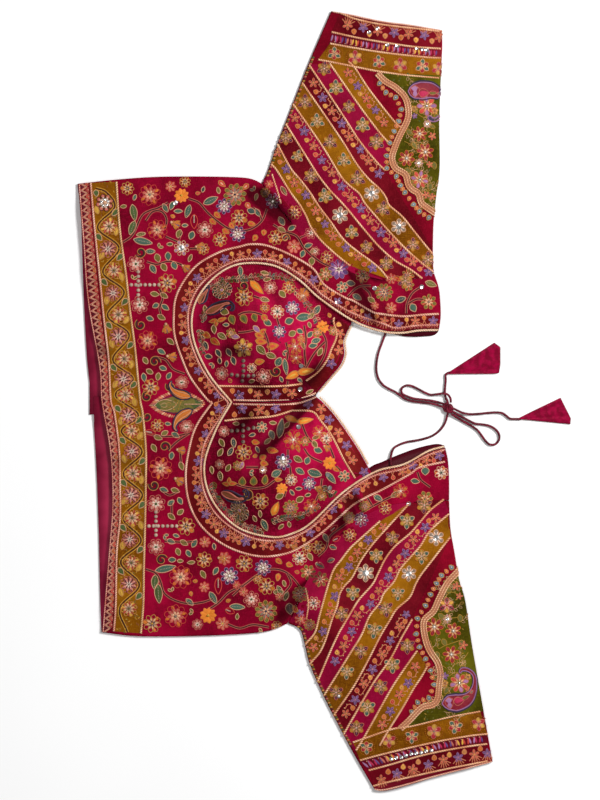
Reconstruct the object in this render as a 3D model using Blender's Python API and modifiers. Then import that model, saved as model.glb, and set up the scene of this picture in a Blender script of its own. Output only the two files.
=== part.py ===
"""Choli blouse, laid flat with its front up.

The hem points to -X and the neck to +X; the wearer's right side is at +Y.
Tables are in millimetres, the finished model is in metres, and z = 0 is the
surface that the blouse lies on.
"""

import math

import bmesh
import bpy
import numpy as np
from mathutils import Vector

MM = 0.001

# ---------------------------------------------------------------- cloth sizes
WALL = 1.2              # thickness of the lined, embroidered cloth
SEAM_GAP = 0.3          # left between two pieces that are sewn together
PLACKET_LAP = 18.0      # the back halves lap this far at the centre
PLACKET_Y = -5.0        # middle of that lap
PLACKET_RAMP = 14.0     # the upper half climbs onto the lower one over this
FRONT_MARGIN = 7.0      # first row of the front panel, from its neck edge
FRONT_ROWS = (0.14, 0.3, 0.46, 0.62, 0.78, 0.9, 1.0)    # the others, as shares of the rest
BACK_ROWS = (0.25, 0.5, 0.75, 1.0)
SLEEVE_ROWS = 13        # rings from a sleeve's head to its cuff
SLEEVE_GAP = 0.4        # left between a sleeve's head and the armhole

CUP_GAP = 0.5           # left between the two cups, whose walls lean together
CUP_TUCK = 8.0          # the cups reach this far under the front panel
CUP_TUCK_FADE = 2.5     # number of stations over which that narrows at the notch
CUP_TURN = 3.0          # narrow flat margin round a cup's free edge
CUP_CORNER = (-3.25, -1.0)      # where the cups' cloth ends, from the top of their seam
CUP_RINGS = (0.11, 0.22, 0.34, 0.47, 0.6, 0.74, 0.88)   # shares of the way to the crown
CUP_SEAM_STEPS = 9
CUP_TOP_STEPS = 11

SEAM_HEIGHT = 1.5       # underside of the front where it meets the back
LAYER_HEIGHT = 2.6      # extra height of the front away from those seams
LAYER_REACH = 30.0      # distance from a seam over which it gains that height
LOBE_LIFT = 3.0         # the front rides up round the two cups
LOBE_REACH = 45.0       # how far that lift spreads from the neckline
LOBE_START = 95.0       # x where the lift fades out on the shoulder straps
LOBE_FADE = 70.0        # length of that fade
SHOULDER_REACH = 30.0   # the panels bow out to the shoulder fold over this

CUP_DROP = 0.5          # a cup's outer face lies this far under the front panel
CUP_DIP = 3.0           # trough beside the neckline, before the cup swells
CUP_DIP_AT = 0.11       # share of the way to the crown where that trough lies
CUP_PEAK = 26.0         # height of a cup's crown above the surface
CUP_SWELL = 58.0        # distance from each edge at which a cup reaches the peak
SEAM_CROWN = 8.0        # height of the seam between the cups, half way along
TOP_EDGE_HEIGHT = 5.5   # height of a cup's free edge

SLEEVE_FOLD_HEAD = 1.35     # half the thickness of a sleeve's folded edge, at the head
SLEEVE_FOLD = 1.5           # and further down
SLEEVE_FOLD_OVER = 0.25     # share of the sleeve over which it changes

PIPING_RADIUS = 1.5
CUP_PIPING_RADIUS = 1.1
CUP_PIPING_START = 0.025                        # shares of the free edge
CUP_PIPING_END = {"right": 0.86, "left": 0.87}  # that its piping covers

# ---------------------------------------------------------------- the outlines
# Each row is a point (x, y) that a smooth curve runs through.
NECK = {
    "right": ((155.0, 69.3), (135.0, 68.7), (117.0, 66.3), (97.0, 68.2), (70.0, 78.0),
              (36.0, 100.5), (14.0, 120.0), (-12.0, 134.0), (-46.0, 134.5), (-71.0, 119.5),
              (-88.0, 94.0), (-89.0, 63.0), (-74.0, 28.0), (-50.5, -1.5)),
    "left": ((160.5, -44.8), (144.0, -49.5), (120.0, -62.5), (91.5, -70.0), (59.0, -90.5),
             (27.0, -121.0), (8.5, -131.5), (-12.0, -135.0), (-45.0, -125.5), (-70.0, -99.0),
             (-78.0, -66.0), (-67.0, -31.0), (-50.5, -1.5)),
}
SHOULDER = {
    "right": ((155.0, 69.3), (157.0, 84.0), (156.5, 101.0), (155.0, 113.0), (150.5, 127.0)),
    "left": ((160.5, -44.8), (164.0, -60.0), (165.3, -80.0), (165.5, -99.5)),
}
ARMHOLE = {
    "right": ((150.5, 127.0), (125.0, 120.5), (96.5, 120.5), (56.5, 132.5), (26.5, 155.5),
              (1.5, 185.5), (-22.0, 216.5)),
    "left": ((165.5, -99.5), (106.5, -104.5), (71.5, -121.5), (46.5, -144.5), (26.5, -174.5),
             (15.0, -200.0), (4.0, -222.5)),
}
SIDE = {
    "right": ((-22.0, 216.5), (-28.5, 220.0), (-38.0, 222.5), (-70.0, 223.7), (-125.0, 223.5),
              (-167.0, 220.7), (-205.5, 216.5)),
    "left": ((4.0, -222.5), (-5.0, -227.0), (-22.0, -231.5), (-60.0, -234.3), (-110.0, -235.7),
             (-150.0, -235.3), (-181.5, -231.5)),
}
FRONT_HEM = {
    "right": ((-205.5, 216.5), (-200.0, 157.5), (-195.5, 98.5), (-184.0, 32.5), (-182.0, 0.0)),
    "left": ((-181.5, -231.5), (-174.5, -151.5), (-171.0, -99.5), (-173.5, -50.0), (-182.0, 0.0)),
}
BACK_NECK = {
    "right": ((155.0, 69.3), (152.0, 66.0), (146.0, 64.5), (128.0, 63.6), (116.0, 65.0),
              (101.0, 69.6), (75.0, 84.0), (30.0, 106.0), (-30.0, 112.0), (-74.0, 86.0),
              (-92.0, 40.0), (-95.0, -5.0)),
    "left": ((160.5, -44.8), (152.0, -43.5), (134.5, -47.3), (116.5, -53.6), (98.5, -61.3),
             (87.0, -66.5), (70.0, -82.0), (30.0, -106.0), (-30.0, -112.0), (-72.0, -92.0),
             (-91.0, -48.0), (-95.0, -5.0)),
}
BACK_HEM = {
    "right": ((-206.0, 216.5), (-202.5, 182.5), (-200.0, 110.0), (-196.5, 42.5), (-191.0, -5.0)),
    "left": ((-182.0, -231.5), (-183.5, -190.0), (-185.0, -125.0), (-187.5, -60.0), (-191.0, -5.0)),
}
SLEEVE_INNER = {
    "right": ((-22.0, 216.5), (-15.8, 230.0), (-6.5, 256.5), (7.5, 292.5), (26.5, 340.5),
              (47.5, 389.0)),
    "left": ((4.0, -222.5), (16.0, -228.5), (20.5, -242.0), (26.0, -263.5), (42.0, -299.5),
             (67.0, -347.5), (91.0, -389.0)),
}
SLEEVE_OUTER = {
    "right": ((150.5, 127.0), (149.5, 140.0), (150.0, 175.0), (152.5, 203.0), (156.0, 232.0),
              (155.7, 280.0), (157.3, 325.0), (158.8, 355.0), (158.0, 370.0)),
    "left": ((165.5, -99.5), (166.8, -127.0), (171.0, -152.0), (175.5, -179.0), (181.5, -199.5),
             (188.0, -242.0), (196.0, -288.0), (209.0, -361.0)),
}
CUFF = {
    "right": ((47.5, 389.0), (66.5, 385.5), (98.5, 378.7), (122.5, 375.7), (158.0, 370.0)),
    "left": ((91.0, -389.0), (101.0, -390.0), (124.5, -384.0), (148.5, -376.7), (180.5, -368.3),
             (209.0, -361.0)),
}
CUP_TOP = {
    "right": ((75.0, 85.0), (70.0, 76.0), (62.5, 60.0), (63.2, 46.5), (59.0, 34.5),
              (49.0, 22.5), (35.0, 6.0)),
    "left": ((92.0, -74.0), (87.0, -66.0), (74.0, -43.5), (53.0, -13.5), (35.0, 6.0)),
}
CUP_CROWN = {"right": (-8.0, 64.0), "left": (-2.0, -64.0)}
CENTRE_SEAM = ((-50.5, -1.5), (-20.0, -1.0), (10.0, 0.5), (35.0, 6.0))

# Front, back and sleeve meet at the same stations of the armhole: shares of its
# length, closest together at its two folded ends.
ARMHOLE_SHARES = np.concatenate([(0.0, 0.022), np.linspace(0.09, 0.91, 10), (0.978, 1.0)])

# Shares of the neckline, from the shoulder to the centre, that face each seam
# of the outer edge, and the number of steps along it (the armhole has its own).
#                  seam        neck share at its end   steps
FRONT_SPANS = (("armhole",     0.47,                   None),
               ("side",        0.59,                      9),
               ("hem",         1.00,                     16))
BACK_SPANS = (("armhole",      0.42,                   None),
              ("side",         0.68,                      6),
              ("hem",          1.00,                      8))

# Largest folds of the upper layer: a ridge (+) or a trough (-) that follows the
# line from (x0, y0) to (x1, y1) and fades at both ends.
#          x0      y0      x1      y1     width   height
FOLDS = ((-36.0,  213.0,    6.0,   181.0,   7.0,  -2.2),
         (-30.0,  196.0,   22.0,   158.0,   8.0,   1.8),
         (-60.0,  205.0,  -24.0,   170.0,  10.0,   1.6),
         ( 58.0,  143.0,   84.0,   128.0,   5.0,   1.6),
         ( 78.0,  124.0,  111.0,   106.0,   5.0,  -1.5),
         ( 60.0,  112.0,   92.0,    88.0,   6.0,   1.4),
         (  6.0, -180.0,   26.0,  -238.0,   7.0,  -1.8),
         (-12.0, -172.0,    8.0,  -216.0,   9.0,   1.8),
         ( 66.0,  -84.0,   96.0,  -118.0,   7.0,   1.5),
         (-150.0, 150.0,  -96.0,   176.0,  14.0,   1.5),
         (-150.0, 60.0,  -110.0,    84.0,  12.0,   1.3),
         (-140.0, -70.0, -104.0,   -98.0,  12.0,   1.4),
         (-128.0, -190.0, -60.0,  -206.0,  14.0,   1.5),
         ( 30.0,  214.0,  100.0,   262.0,  12.0,   1.4),
         ( 40.0,  300.0,  120.0,   318.0,  16.0,   1.2),
         ( 50.0, -250.0,  120.0,  -214.0,  12.0,   1.4),
         ( 90.0, -330.0,  170.0,  -290.0,  16.0,   1.2))

# Creases and gathers of the cups, in the same form.
CUP_FOLDS = {
    "right": ((-50.0,  24.0,  -12.0,    8.0,   5.0,  -2.0),
              (-66.0,  52.0,  -28.0,   44.0,   6.0,  -1.8),
              ( 18.0,  12.0,   40.0,   38.0,   6.0,  -2.4),
              (-40.0, 100.0,   10.0,   96.0,   9.0,   2.0)),
    "left": (( 22.0,  -4.0,  -18.0,  -42.0,   5.0,  -4.5),
             ( -6.0, -10.0,  -36.0,  -36.0,   5.0,   2.6),
             (-28.0,  -8.0,  -52.0,  -34.0,   5.0,  -2.4),
             ( 34.0, -16.0,   10.0,  -60.0,   9.0,   2.2)),
}

# ---------------------------------------------------------------- the strings
DORI_DIAMETER = 2.4
DORI_SPACING = 6.0      # between the points of a string's tube
KNOT_CENTRE = (164.5, -7.5, 3.4)
KNOT_SIZE = (9.0, 10.4, 6.2)

# Route of each string: x, y and the height of its centre line.
DORI_ROUTES = {
    "dori_right_lead": ((102.2, 72.5, 2.6), (101.6, 66.5, 2.3), (98.0, 56.5, 1.4),
                        (94.8, 47.5, 1.4), (93.1, 38.5, 1.4), (92.9, 29.5, 1.4),
                        (95.0, 21.5, 1.4), (99.5, 15.5, 1.4), (105.5, 11.6, 1.4),
                        (111.5, 8.6, 1.4), (116.5, 5.2, 1.4), (122.0, 1.3, 1.4),
                        (129.5, -0.9, 1.4), (137.5, -1.9, 1.4), (146.5, -2.9, 1.5),
                        (153.5, -4.6, 2.2), (159.7, -6.5, 3.2)),
    "dori_right_tail": ((169.5, -8.1, 4.2), (174.5, -10.4, 4.3), (179.5, -12.5, 3.2),
                        (186.5, -13.7, 1.6), (195.5, -13.3, 1.4), (204.5, -12.4, 1.4),
                        (212.0, -11.9, 1.4), (218.5, -12.6, 1.4), (222.8, -15.4, 1.4),
                        (226.4, -18.2, 1.4), (232.7, -18.5, 1.4)),
    "dori_left_lead": ((107.4, -64.5, 2.6), (107.2, -56.5, 2.4), (109.6, -48.6, 1.4),
                       (114.5, -44.8, 1.4), (123.0, -41.6, 1.4), (136.5, -39.2, 1.4),
                       (148.5, -35.4, 1.4), (156.5, -29.5, 1.4), (161.5, -22.0, 1.6),
                       (164.0, -13.1, 2.8)),
    "dori_left_tail": ((164.1, -1.7, 2.8), (162.2, 2.6, 1.8), (161.3, 7.0, 1.4),
                       (161.5, 13.5, 1.4), (162.1, 20.0, 1.4), (162.2, 26.0, 1.4)),
    "bow_loop_west": ((167.1, -2.1, 4.4), (166.6, 2.2, 4.6), (164.2, 5.7, 4.5),
                      (160.0, 7.0, 4.2), (153.5, 6.3, 2.6), (147.0, 5.7, 1.4),
                      (141.5, 7.8, 1.4), (134.5, 11.5, 1.4), (128.0, 14.5, 1.4),
                      (122.3, 14.9, 1.4), (118.0, 11.8, 1.4), (118.4, 7.2, 1.4),
                      (123.3, 4.3, 1.4), (130.5, 1.9, 1.4), (138.5, 0.9, 1.4),
                      (146.5, 0.0, 1.6), (154.0, -1.6, 2.6), (160.3, -3.6, 4.0)),
    "bow_loop_east": ((168.6, -10.6, 3.1), (174.5, -14.3, 1.5), (180.5, -17.5, 1.4),
                      (186.5, -20.8, 1.4), (192.0, -23.2, 1.4), (198.5, -23.9, 1.4),
                      (205.0, -25.1, 1.4), (211.0, -28.2, 1.4), (215.1, -33.1, 1.4),
                      (215.5, -39.0, 1.4), (212.0, -43.5, 1.4), (206.5, -44.1, 1.4),
                      (202.0, -40.5, 1.4), (198.0, -35.0, 1.4), (194.0, -29.9, 1.4),
                      (188.5, -25.9, 1.4), (182.0, -22.3, 1.4), (175.5, -18.6, 1.5),
                      (167.3, -13.3, 2.9)),
}

# Flat outlines of the folded cloth triangles on the strings' ends.
TASSEL_THICKNESS = 2.4
TASSEL_LIFT = 0.2
TASSELS = {
    "tassel_left": ((162.2, 26.4), (164.0, 28.6), (212.0, 58.7), (218.3, 54.0),
                    (218.3, 36.5), (216.9, 27.5), (209.5, 26.5)),
    "tassel_right": ((233.2, -17.0), (240.0, -16.4), (251.5, -11.4), (266.0, -3.4),
                     (277.7, 4.1), (288.7, -17.9), (288.2, -23.9), (241.3, -21.9),
                     (233.2, -20.0)),
}

# ---------------------------------------------------------------- the colours
#              red    green  blue   roughness
COLOURS = {
    "silk":   (0.420, 0.015, 0.055, 0.55),
    "lining": (0.230, 0.008, 0.040, 0.60),
    "sleeve": (0.330, 0.030, 0.045, 0.55),
    "piping": (0.620, 0.420, 0.280, 0.60),
    "dori":   (0.250, 0.010, 0.040, 0.50),
}


# ---------------------------------------------------------------- plane curves
def smooth_line(points, steps=16):
    """Dense polyline on the smooth curve that runs through all the points."""
    p = np.asarray(points, float)
    if len(p) == 2:
        return p[0] + (p[1] - p[0]) * np.linspace(0.0, 1.0, steps + 1)[:, None]
    ends = np.vstack([2.0 * p[0] - p[1], p, 2.0 * p[-1] - p[-2]])
    pieces = []
    for a, b, c, d in zip(ends, ends[1:], ends[2:], ends[3:]):
        t = np.linspace(0.0, 1.0, steps, endpoint=False)[:, None]
        pieces.append(0.5 * (2.0 * b + (c - a) * t + (2.0 * a - 5.0 * b + 4.0 * c - d) * t ** 2
                             + (3.0 * b - a - 3.0 * c + d) * t ** 3))
    return np.vstack(pieces + [p[-1:]])


def at_shares(line, shares):
    """Points of a polyline at the given shares of its length."""
    steps = np.linalg.norm(np.diff(line, axis=0), axis=1)
    run = np.concatenate([[0.0], np.cumsum(steps)]) / steps.sum()
    return np.column_stack([np.interp(shares, run, line[:, k]) for k in range(line.shape[1])])


def evenly(points, count):
    """The given number of evenly spaced points on a smooth curve."""
    return at_shares(smooth_line(points), np.linspace(0.0, 1.0, count))


def unit(vectors):
    """Rows scaled to length one."""
    return vectors / np.maximum(np.linalg.norm(vectors, axis=-1, keepdims=True), 1e-9)


def left_normals(line):
    """Unit normals of a plane polyline, on the left of its direction."""
    along = unit(np.gradient(line, axis=0))
    return np.column_stack([-along[:, 1], along[:, 0]])


def offset_line(line, distance):
    """A plane polyline moved sideways to its right, with mitred corners."""
    along = unit(np.diff(line, axis=0))
    normals = np.column_stack([along[:, 1], -along[:, 0]])
    before = np.vstack([normals[:1], normals])
    after = np.vstack([normals, normals[-1:]])
    mitre = unit(before + after)
    return line + mitre * distance / (mitre * before).sum(1)[:, None]


def distance_to(points, line):
    """Shortest plane distance from each point to a polyline."""
    a = line[:-1]
    d = line[1:] - a
    length = np.maximum((d ** 2).sum(1), 1e-9)
    t = np.clip(((points[:, None] - a) * d).sum(2) / length, 0.0, 1.0)
    return np.linalg.norm(points[:, None] - (a + d * t[..., None]), axis=2).min(1)


def ease(x):
    """Smooth step from 0 to 1."""
    x = np.clip(x, 0.0, 1.0)
    return x * x * (3.0 - 2.0 * x)


# ---------------------------------------------------------------- cloth heights
CLOSED_EDGES = [np.vstack([smooth_line(SIDE[side])[::-1], smooth_line(SLEEVE_INNER[side])[1:]])
                for side in ("right", "left")]
CLOSED_EDGES += [np.vstack([smooth_line(SHOULDER[side]), smooth_line(SLEEVE_OUTER[side])[1:]])
                 for side in ("right", "left")]
NECKLINE = np.vstack([smooth_line(NECK["right"]), smooth_line(NECK["left"])[::-1][1:]])


def fold_height(points, folds):
    """Sum of the ridges and troughs of a fold table."""
    total = np.zeros(len(points))
    for x0, y0, x1, y1, width, height in folds:
        start = np.array((x0, y0))
        run = np.array((x1, y1)) - start
        t = ((points - start) @ run) / (run @ run)
        across = np.abs((points - start) @ np.array((-run[1], run[0]))) / np.linalg.norm(run)
        along = np.sin(math.pi * np.clip(t, 0.0, 1.0)) ** 0.7
        total += height * along * np.exp(-(across / width) ** 2)
    return total


def layer_height(points):
    """Underside of the upper layer, above the surface that the blouse lies on."""
    clear = ease(np.min([distance_to(points, edge) for edge in CLOSED_EDGES], axis=0) / LAYER_REACH)
    near_cup = ease(1.0 - distance_to(points, NECKLINE) / LOBE_REACH)
    near_cup = near_cup * ease((LOBE_START - points[:, 0]) / LOBE_FADE)
    return SEAM_HEIGHT + clear * (LAYER_HEIGHT + LOBE_LIFT * near_cup + fold_height(points, FOLDS))


def with_height(points, heights):
    """Plane points and their heights, as points in space."""
    return np.column_stack([points, heights])


# ---------------------------------------------------------------- making solids
def make_collection(name):
    collection = bpy.data.collections.new(name)
    bpy.context.scene.collection.children.link(collection)
    return collection


def make_material(name):
    red, green, blue, roughness = COLOURS[name]
    material = bpy.data.materials.new(name)
    material.use_nodes = True
    shader = material.node_tree.nodes["Principled BSDF"]
    shader.inputs["Base Color"].default_value = (red, green, blue, 1.0)
    shader.inputs["Roughness"].default_value = roughness
    shader.inputs["Metallic"].default_value = 0.0
    return material


def add_object(name, data, parent, colour):
    """Link a new object to the blouse and give it a material of its own."""
    blouse_part = bpy.data.objects.new(name, data)
    blouse_part.parent = parent
    parent.users_collection[0].objects.link(blouse_part)
    material = make_material(colour)
    material.name = name + "_" + colour
    data.materials.append(material)
    return blouse_part


def mesh_from(name, points, faces):
    mesh = bpy.data.meshes.new(name)
    mesh.from_pydata([tuple(point) for point in np.asarray(points) * MM], [], faces)
    mesh.validate()
    mesh.shade_smooth()
    return mesh


def grid_faces(rows, columns, around=False):
    """Quads of a grid of points, joined round its columns where asked."""
    faces = []
    for row in range(rows - 1):
        for column in range(columns if around else columns - 1):
            after = (column + 1) % columns
            faces.append((row * columns + column, (row + 1) * columns + column,
                          (row + 1) * columns + after, row * columns + after))
    return faces


def thicken(cloth, offset):
    """Give an open surface the cloth's wall, on one side of it."""
    solidify = cloth.modifiers.new("wall", "SOLIDIFY")
    solidify.thickness = WALL * MM
    solidify.offset = offset
    solidify.use_even_offset = False
    return cloth


def face_up(mesh):
    """Turn the faces of an open sheet so that they look up."""
    sheet = bmesh.new()
    sheet.from_mesh(mesh)
    bmesh.ops.recalc_face_normals(sheet, faces=sheet.faces)
    if sum(face.normal.z * face.calc_area() for face in sheet.faces) < 0.0:
        bmesh.ops.reverse_faces(sheet, faces=sheet.faces)
    sheet.to_mesh(mesh)
    sheet.free()


def add_tube(name, points, radius, parent, colour):
    """Round tube along points that are already close together."""
    curve = bpy.data.curves.new(name, "CURVE")
    curve.dimensions = "3D"
    curve.bevel_depth = radius * MM
    curve.bevel_resolution = 2
    curve.use_fill_caps = True
    spline = curve.splines.new("POLY")
    spline.points.add(len(points) - 1)
    for target, point in zip(spline.points, points):
        target.co = (*(point * MM), 1.0)
    return add_object(name, curve, parent, colour)


# ---------------------------------------------------------------- front and back
def panel_stations(side, spans, neck, seams):
    """Facing points on the neckline and on the outer edge of one half panel."""
    inner_line = smooth_line(neck[side])
    inner, outer = [], []
    share = 0.0
    for seam, share_end, count in spans:
        steps = ARMHOLE_SHARES if count is None else np.linspace(0.0, 1.0, count + 1)
        inner.append(at_shares(inner_line, share + (share_end - share) * steps)[:-1])
        outer.append(at_shares(smooth_line(seams[seam][side]), steps)[:-1])
        share = share_end
    last_seam = smooth_line(seams[spans[-1][0]][side])
    inner.append(inner_line[-1:])
    outer.append(last_seam[-1:])
    return np.vstack(inner), np.vstack(outer)


def follow_shoulder(points):
    """Move points near a shoulder fold so that the last ones lie on its curve."""
    moved = points.copy()
    for side, away in (("right", 1.0), ("left", -1.0)):
        fold = smooth_line(SHOULDER[side])
        across = fold[:, 1] * away
        chord = np.interp(points[:, 1] * away, across[[0, -1]], fold[[0, -1], 0])
        curve = np.interp(points[:, 1] * away, across, fold[:, 0])
        near = ease(1.0 - (chord - points[:, 0]) / SHOULDER_REACH)
        near = near * (points[:, 1] * away >= across[0]) * (points[:, 1] * away <= across[-1])
        moved[:, 0] += (curve - chord) * near
    return moved


def rows_between(inner, outer, first_rows, shares):
    """Rows of points: set distances from the inner edge, then shares of the rest."""
    across = outer - inner
    width = np.linalg.norm(across, axis=1, keepdims=True)
    rows = [inner + across / width * distance for distance in first_rows]
    start = rows[-1]
    rows += [start + (outer - start) * share for share in shares]
    return [follow_shoulder(row) for row in rows]


def front_stations():
    """Facing points of the whole front, from the right shoulder to the left."""
    seams = {"armhole": ARMHOLE, "side": SIDE, "hem": FRONT_HEM}
    right = panel_stations("right", FRONT_SPANS, NECK, seams)
    left = panel_stations("left", FRONT_SPANS, NECK, seams)
    inner = np.vstack([right[0], left[0][::-1][1:]])
    outer = np.vstack([right[1], left[1][::-1][1:]])
    return inner, outer


def front_panel(parent):
    """One panel from shoulder to shoulder, open at the two-lobed neckline."""
    inner, outer = front_stations()
    edge = offset_line(inner, 2.0 * PIPING_RADIUS + SEAM_GAP)
    rows = rows_between(edge, outer, (0.0, FRONT_MARGIN), FRONT_ROWS)
    points = np.vstack([with_height(row, layer_height(row)) for row in rows])
    mesh = mesh_from("front_panel", points, grid_faces(len(rows), len(inner)))
    face_up(mesh)
    return thicken(add_object("front_panel", mesh, parent, "silk"), 1.0)


def cut_before_lap(line, side):
    """The stretch of a line that runs from the shoulder or side to the centre lap."""
    away = 1.0 if side == "right" else -1.0
    limit = PLACKET_LAP / 2.0 + PLACKET_RAMP
    reach = (line[:, 1] - PLACKET_Y) * away
    last = np.nonzero(reach > limit)[0][-1]
    step = (reach[last] - limit) / (reach[last] - reach[last + 1])
    return np.vstack([line[:last + 1], line[last] + (line[last + 1] - line[last]) * step])


def back_half(side, parent):
    """Half of the back, flat on the surface; the left half laps over the right."""
    neck = {side: cut_before_lap(smooth_line(BACK_NECK[side]), side)}
    hem = {side: cut_before_lap(smooth_line(BACK_HEM[side]), side)}
    inner, outer = panel_stations(side, BACK_SPANS, neck, {"armhole": ARMHOLE, "side": SIDE, "hem": hem})
    away = 1.0 if side == "right" else -1.0
    lap_starts = PLACKET_Y + away * (PLACKET_LAP / 2.0 + SEAM_GAP)
    lap_ends = PLACKET_Y - away * PLACKET_LAP / 2.0
    for y in (lap_starts, lap_ends):
        inner = np.vstack([inner, (inner[-1][0], y)])
        outer = np.vstack([outer, (outer[-1][0], y)])
    rows = rows_between(inner, outer, (0.0,), BACK_ROWS)
    height = np.zeros(len(inner))
    if side == "left":
        height[-2:] = WALL + SEAM_GAP
    points = np.vstack([with_height(row, height) for row in rows])
    mesh = mesh_from("back_" + side, points, grid_faces(len(rows), len(inner)))
    face_up(mesh)
    return thicken(add_object("back_" + side, mesh, parent, "lining"), 1.0)


# ---------------------------------------------------------------- the cups
def cup_edges(side):
    """A cup's neckline with its tuck, its centre seam, and its free edge."""
    inner, outer = front_stations()
    half = (len(inner) + 1) // 2
    neck = inner[:half] if side == "right" else inner[half - 1:][::-1]
    edge = outer[:half] if side == "right" else outer[half - 1:][::-1]
    below = neck[:, 0] < CUP_TOP[side][1][0] - CUP_TURN
    lobe = neck[below]
    taper = np.minimum(1.0, np.arange(len(lobe))[::-1] / CUP_TUCK_FADE)
    tuck = unit(edge[below] - lobe) * (CUP_TUCK * taper)[:, None]

    inward = 1.0 if side == "right" else -1.0
    piped = 2.0 * CUP_PIPING_RADIUS + SEAM_GAP
    top = offset_line(smooth_line(CUP_TOP[side]), piped * inward)[::-1]
    top = at_shares(top, np.linspace(0.0, 1.0, CUP_TOP_STEPS + 1))
    apart = np.array((0.0, inward * CUP_GAP / 2.0))
    seam = evenly(CENTRE_SEAM, CUP_SEAM_STEPS + 1)[1:-1] + apart
    top[0] = np.add(CENTRE_SEAM[-1], CUP_CORNER) + apart
    return lobe, tuck, seam, top


def cup_edge_heights(lobe, seam, top):
    """Heights of a cup's outer face along its neckline, centre seam and free edge."""
    lobe_height = layer_height(lobe) - CUP_DROP
    along = np.linspace(0.0, 1.0, len(seam) + 2)[1:-1]
    seam_height = (lobe_height[-1] + (TOP_EDGE_HEIGHT - lobe_height[-1]) * along
                   + (SEAM_CROWN - TOP_EDGE_HEIGHT) * np.sin(math.pi * along))
    along = ease(np.linspace(0.0, 1.0, len(top)) * 2.0 - 1.0)
    last = layer_height(top[-1:])[0] - CUP_DROP - CUP_PIPING_RADIUS
    top_height = TOP_EDGE_HEIGHT + (last - TOP_EDGE_HEIGHT) * along
    return lobe_height, seam_height, top_height


def bust_cup(side, parent):
    """Domed cup: rings that shrink from its outline to its crown."""
    lobe, tuck, seam, top = cup_edges(side)
    heights = cup_edge_heights(lobe, seam, top)
    edge = np.concatenate(heights)
    outline = np.vstack([lobe, seam, top])
    crown = np.array(CUP_CROWN[side])
    on_lobe = np.arange(len(outline)) < len(lobe)
    tucked = np.vstack([lobe + tuck, seam, top])
    tucked_height = np.where(on_lobe, layer_height(tucked) - CUP_DROP, edge)
    turned = np.where(on_lobe[:, None], outline, outline + unit(crown - outline) * CUP_TURN)

    edges = (lobe, smooth_line(CENTRE_SEAM), smooth_line(CUP_TOP[side]))
    points = [with_height(tucked, tucked_height), with_height(turned, edge)]
    for share in CUP_RINGS:
        ring = turned + (crown - turned) * share
        swell = np.ones(len(ring))
        for line in edges:
            swell *= np.sin(math.pi / 2.0 * np.clip(distance_to(ring, line) / CUP_SWELL, 0.0, 1.0))
        dip = CUP_DIP * math.exp(-((share - CUP_DIP_AT) / CUP_DIP_AT) ** 2) * on_lobe
        height = edge * (1.0 - swell) + CUP_PEAK * swell - dip
        points.append(with_height(ring, height + fold_height(ring, CUP_FOLDS[side])))
    points.append(with_height(crown[None], [CUP_PEAK]))

    count = len(outline)
    rings = len(points) - 1
    faces = grid_faces(rings, count, around=True)
    last = (rings - 1) * count
    faces += [(last + k, rings * count, last + (k + 1) % count) for k in range(count)]
    mesh = mesh_from("cup_" + side, np.vstack(points), faces)
    face_up(mesh)
    return thicken(add_object("cup_" + side, mesh, parent, "silk"), -1.0)


# ---------------------------------------------------------------- the sleeves
def sleeve_plan(side, across, down):
    """Plane points of a sleeve: a patch between armhole, cuff and its two folds."""
    head = smooth_line(ARMHOLE[side])[::-1]
    head = at_shares(head, across)
    away = np.array((0.0, 1.0 if side == "right" else -1.0))
    normal = left_normals(head)
    normal *= np.sign(normal @ away)[:, None]
    head = head + normal * SLEEVE_GAP
    cuff = at_shares(smooth_line(CUFF[side]), across)
    inner = at_shares(smooth_line(SLEEVE_INNER[side]), down)
    outer = at_shares(smooth_line(SLEEVE_OUTER[side]), down)
    inner = inner + (head[0] - inner[0]) * (1.0 - down)[:, None]
    outer = outer + (head[-1] - outer[0]) * (1.0 - down)[:, None]
    s = across[None, :, None]
    t = down[:, None, None]
    patch = (1.0 - t) * head[None] + t * cuff[None] + (1.0 - s) * inner[:, None] + s * outer[:, None]
    corners = ((1.0 - s) * (1.0 - t) * head[0] + s * (1.0 - t) * head[-1]
               + (1.0 - s) * t * cuff[0] + s * t * cuff[-1])
    return patch - corners


def sleeve_ring(row, fold):
    """Flattened ring: under layer, inner fold, upper layer, outer fold."""
    inner, outer = row[0], row[-1]
    toward = unit((outer - inner)[None])[0]
    turns = np.radians((-45.0, 0.0, 45.0))
    lower = row[1:-1][::-1]
    upper = row[1:-1]
    inner_fold = [(*(inner + toward * fold * (1.0 - math.cos(turn))), fold * (1.0 + math.sin(turn)))
                  for turn in turns]
    outer_fold = [(*(outer - toward * fold * (1.0 - math.cos(turn))), fold * (1.0 + math.sin(turn)))
                  for turn in turns[::-1]]
    top = layer_height(upper) + WALL
    seam_top = SEAM_HEIGHT + WALL
    top = top - seam_top + 2.0 * fold
    return np.vstack([with_height(lower, np.zeros(len(lower))), inner_fold,
                      with_height(upper, top), outer_fold])


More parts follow.
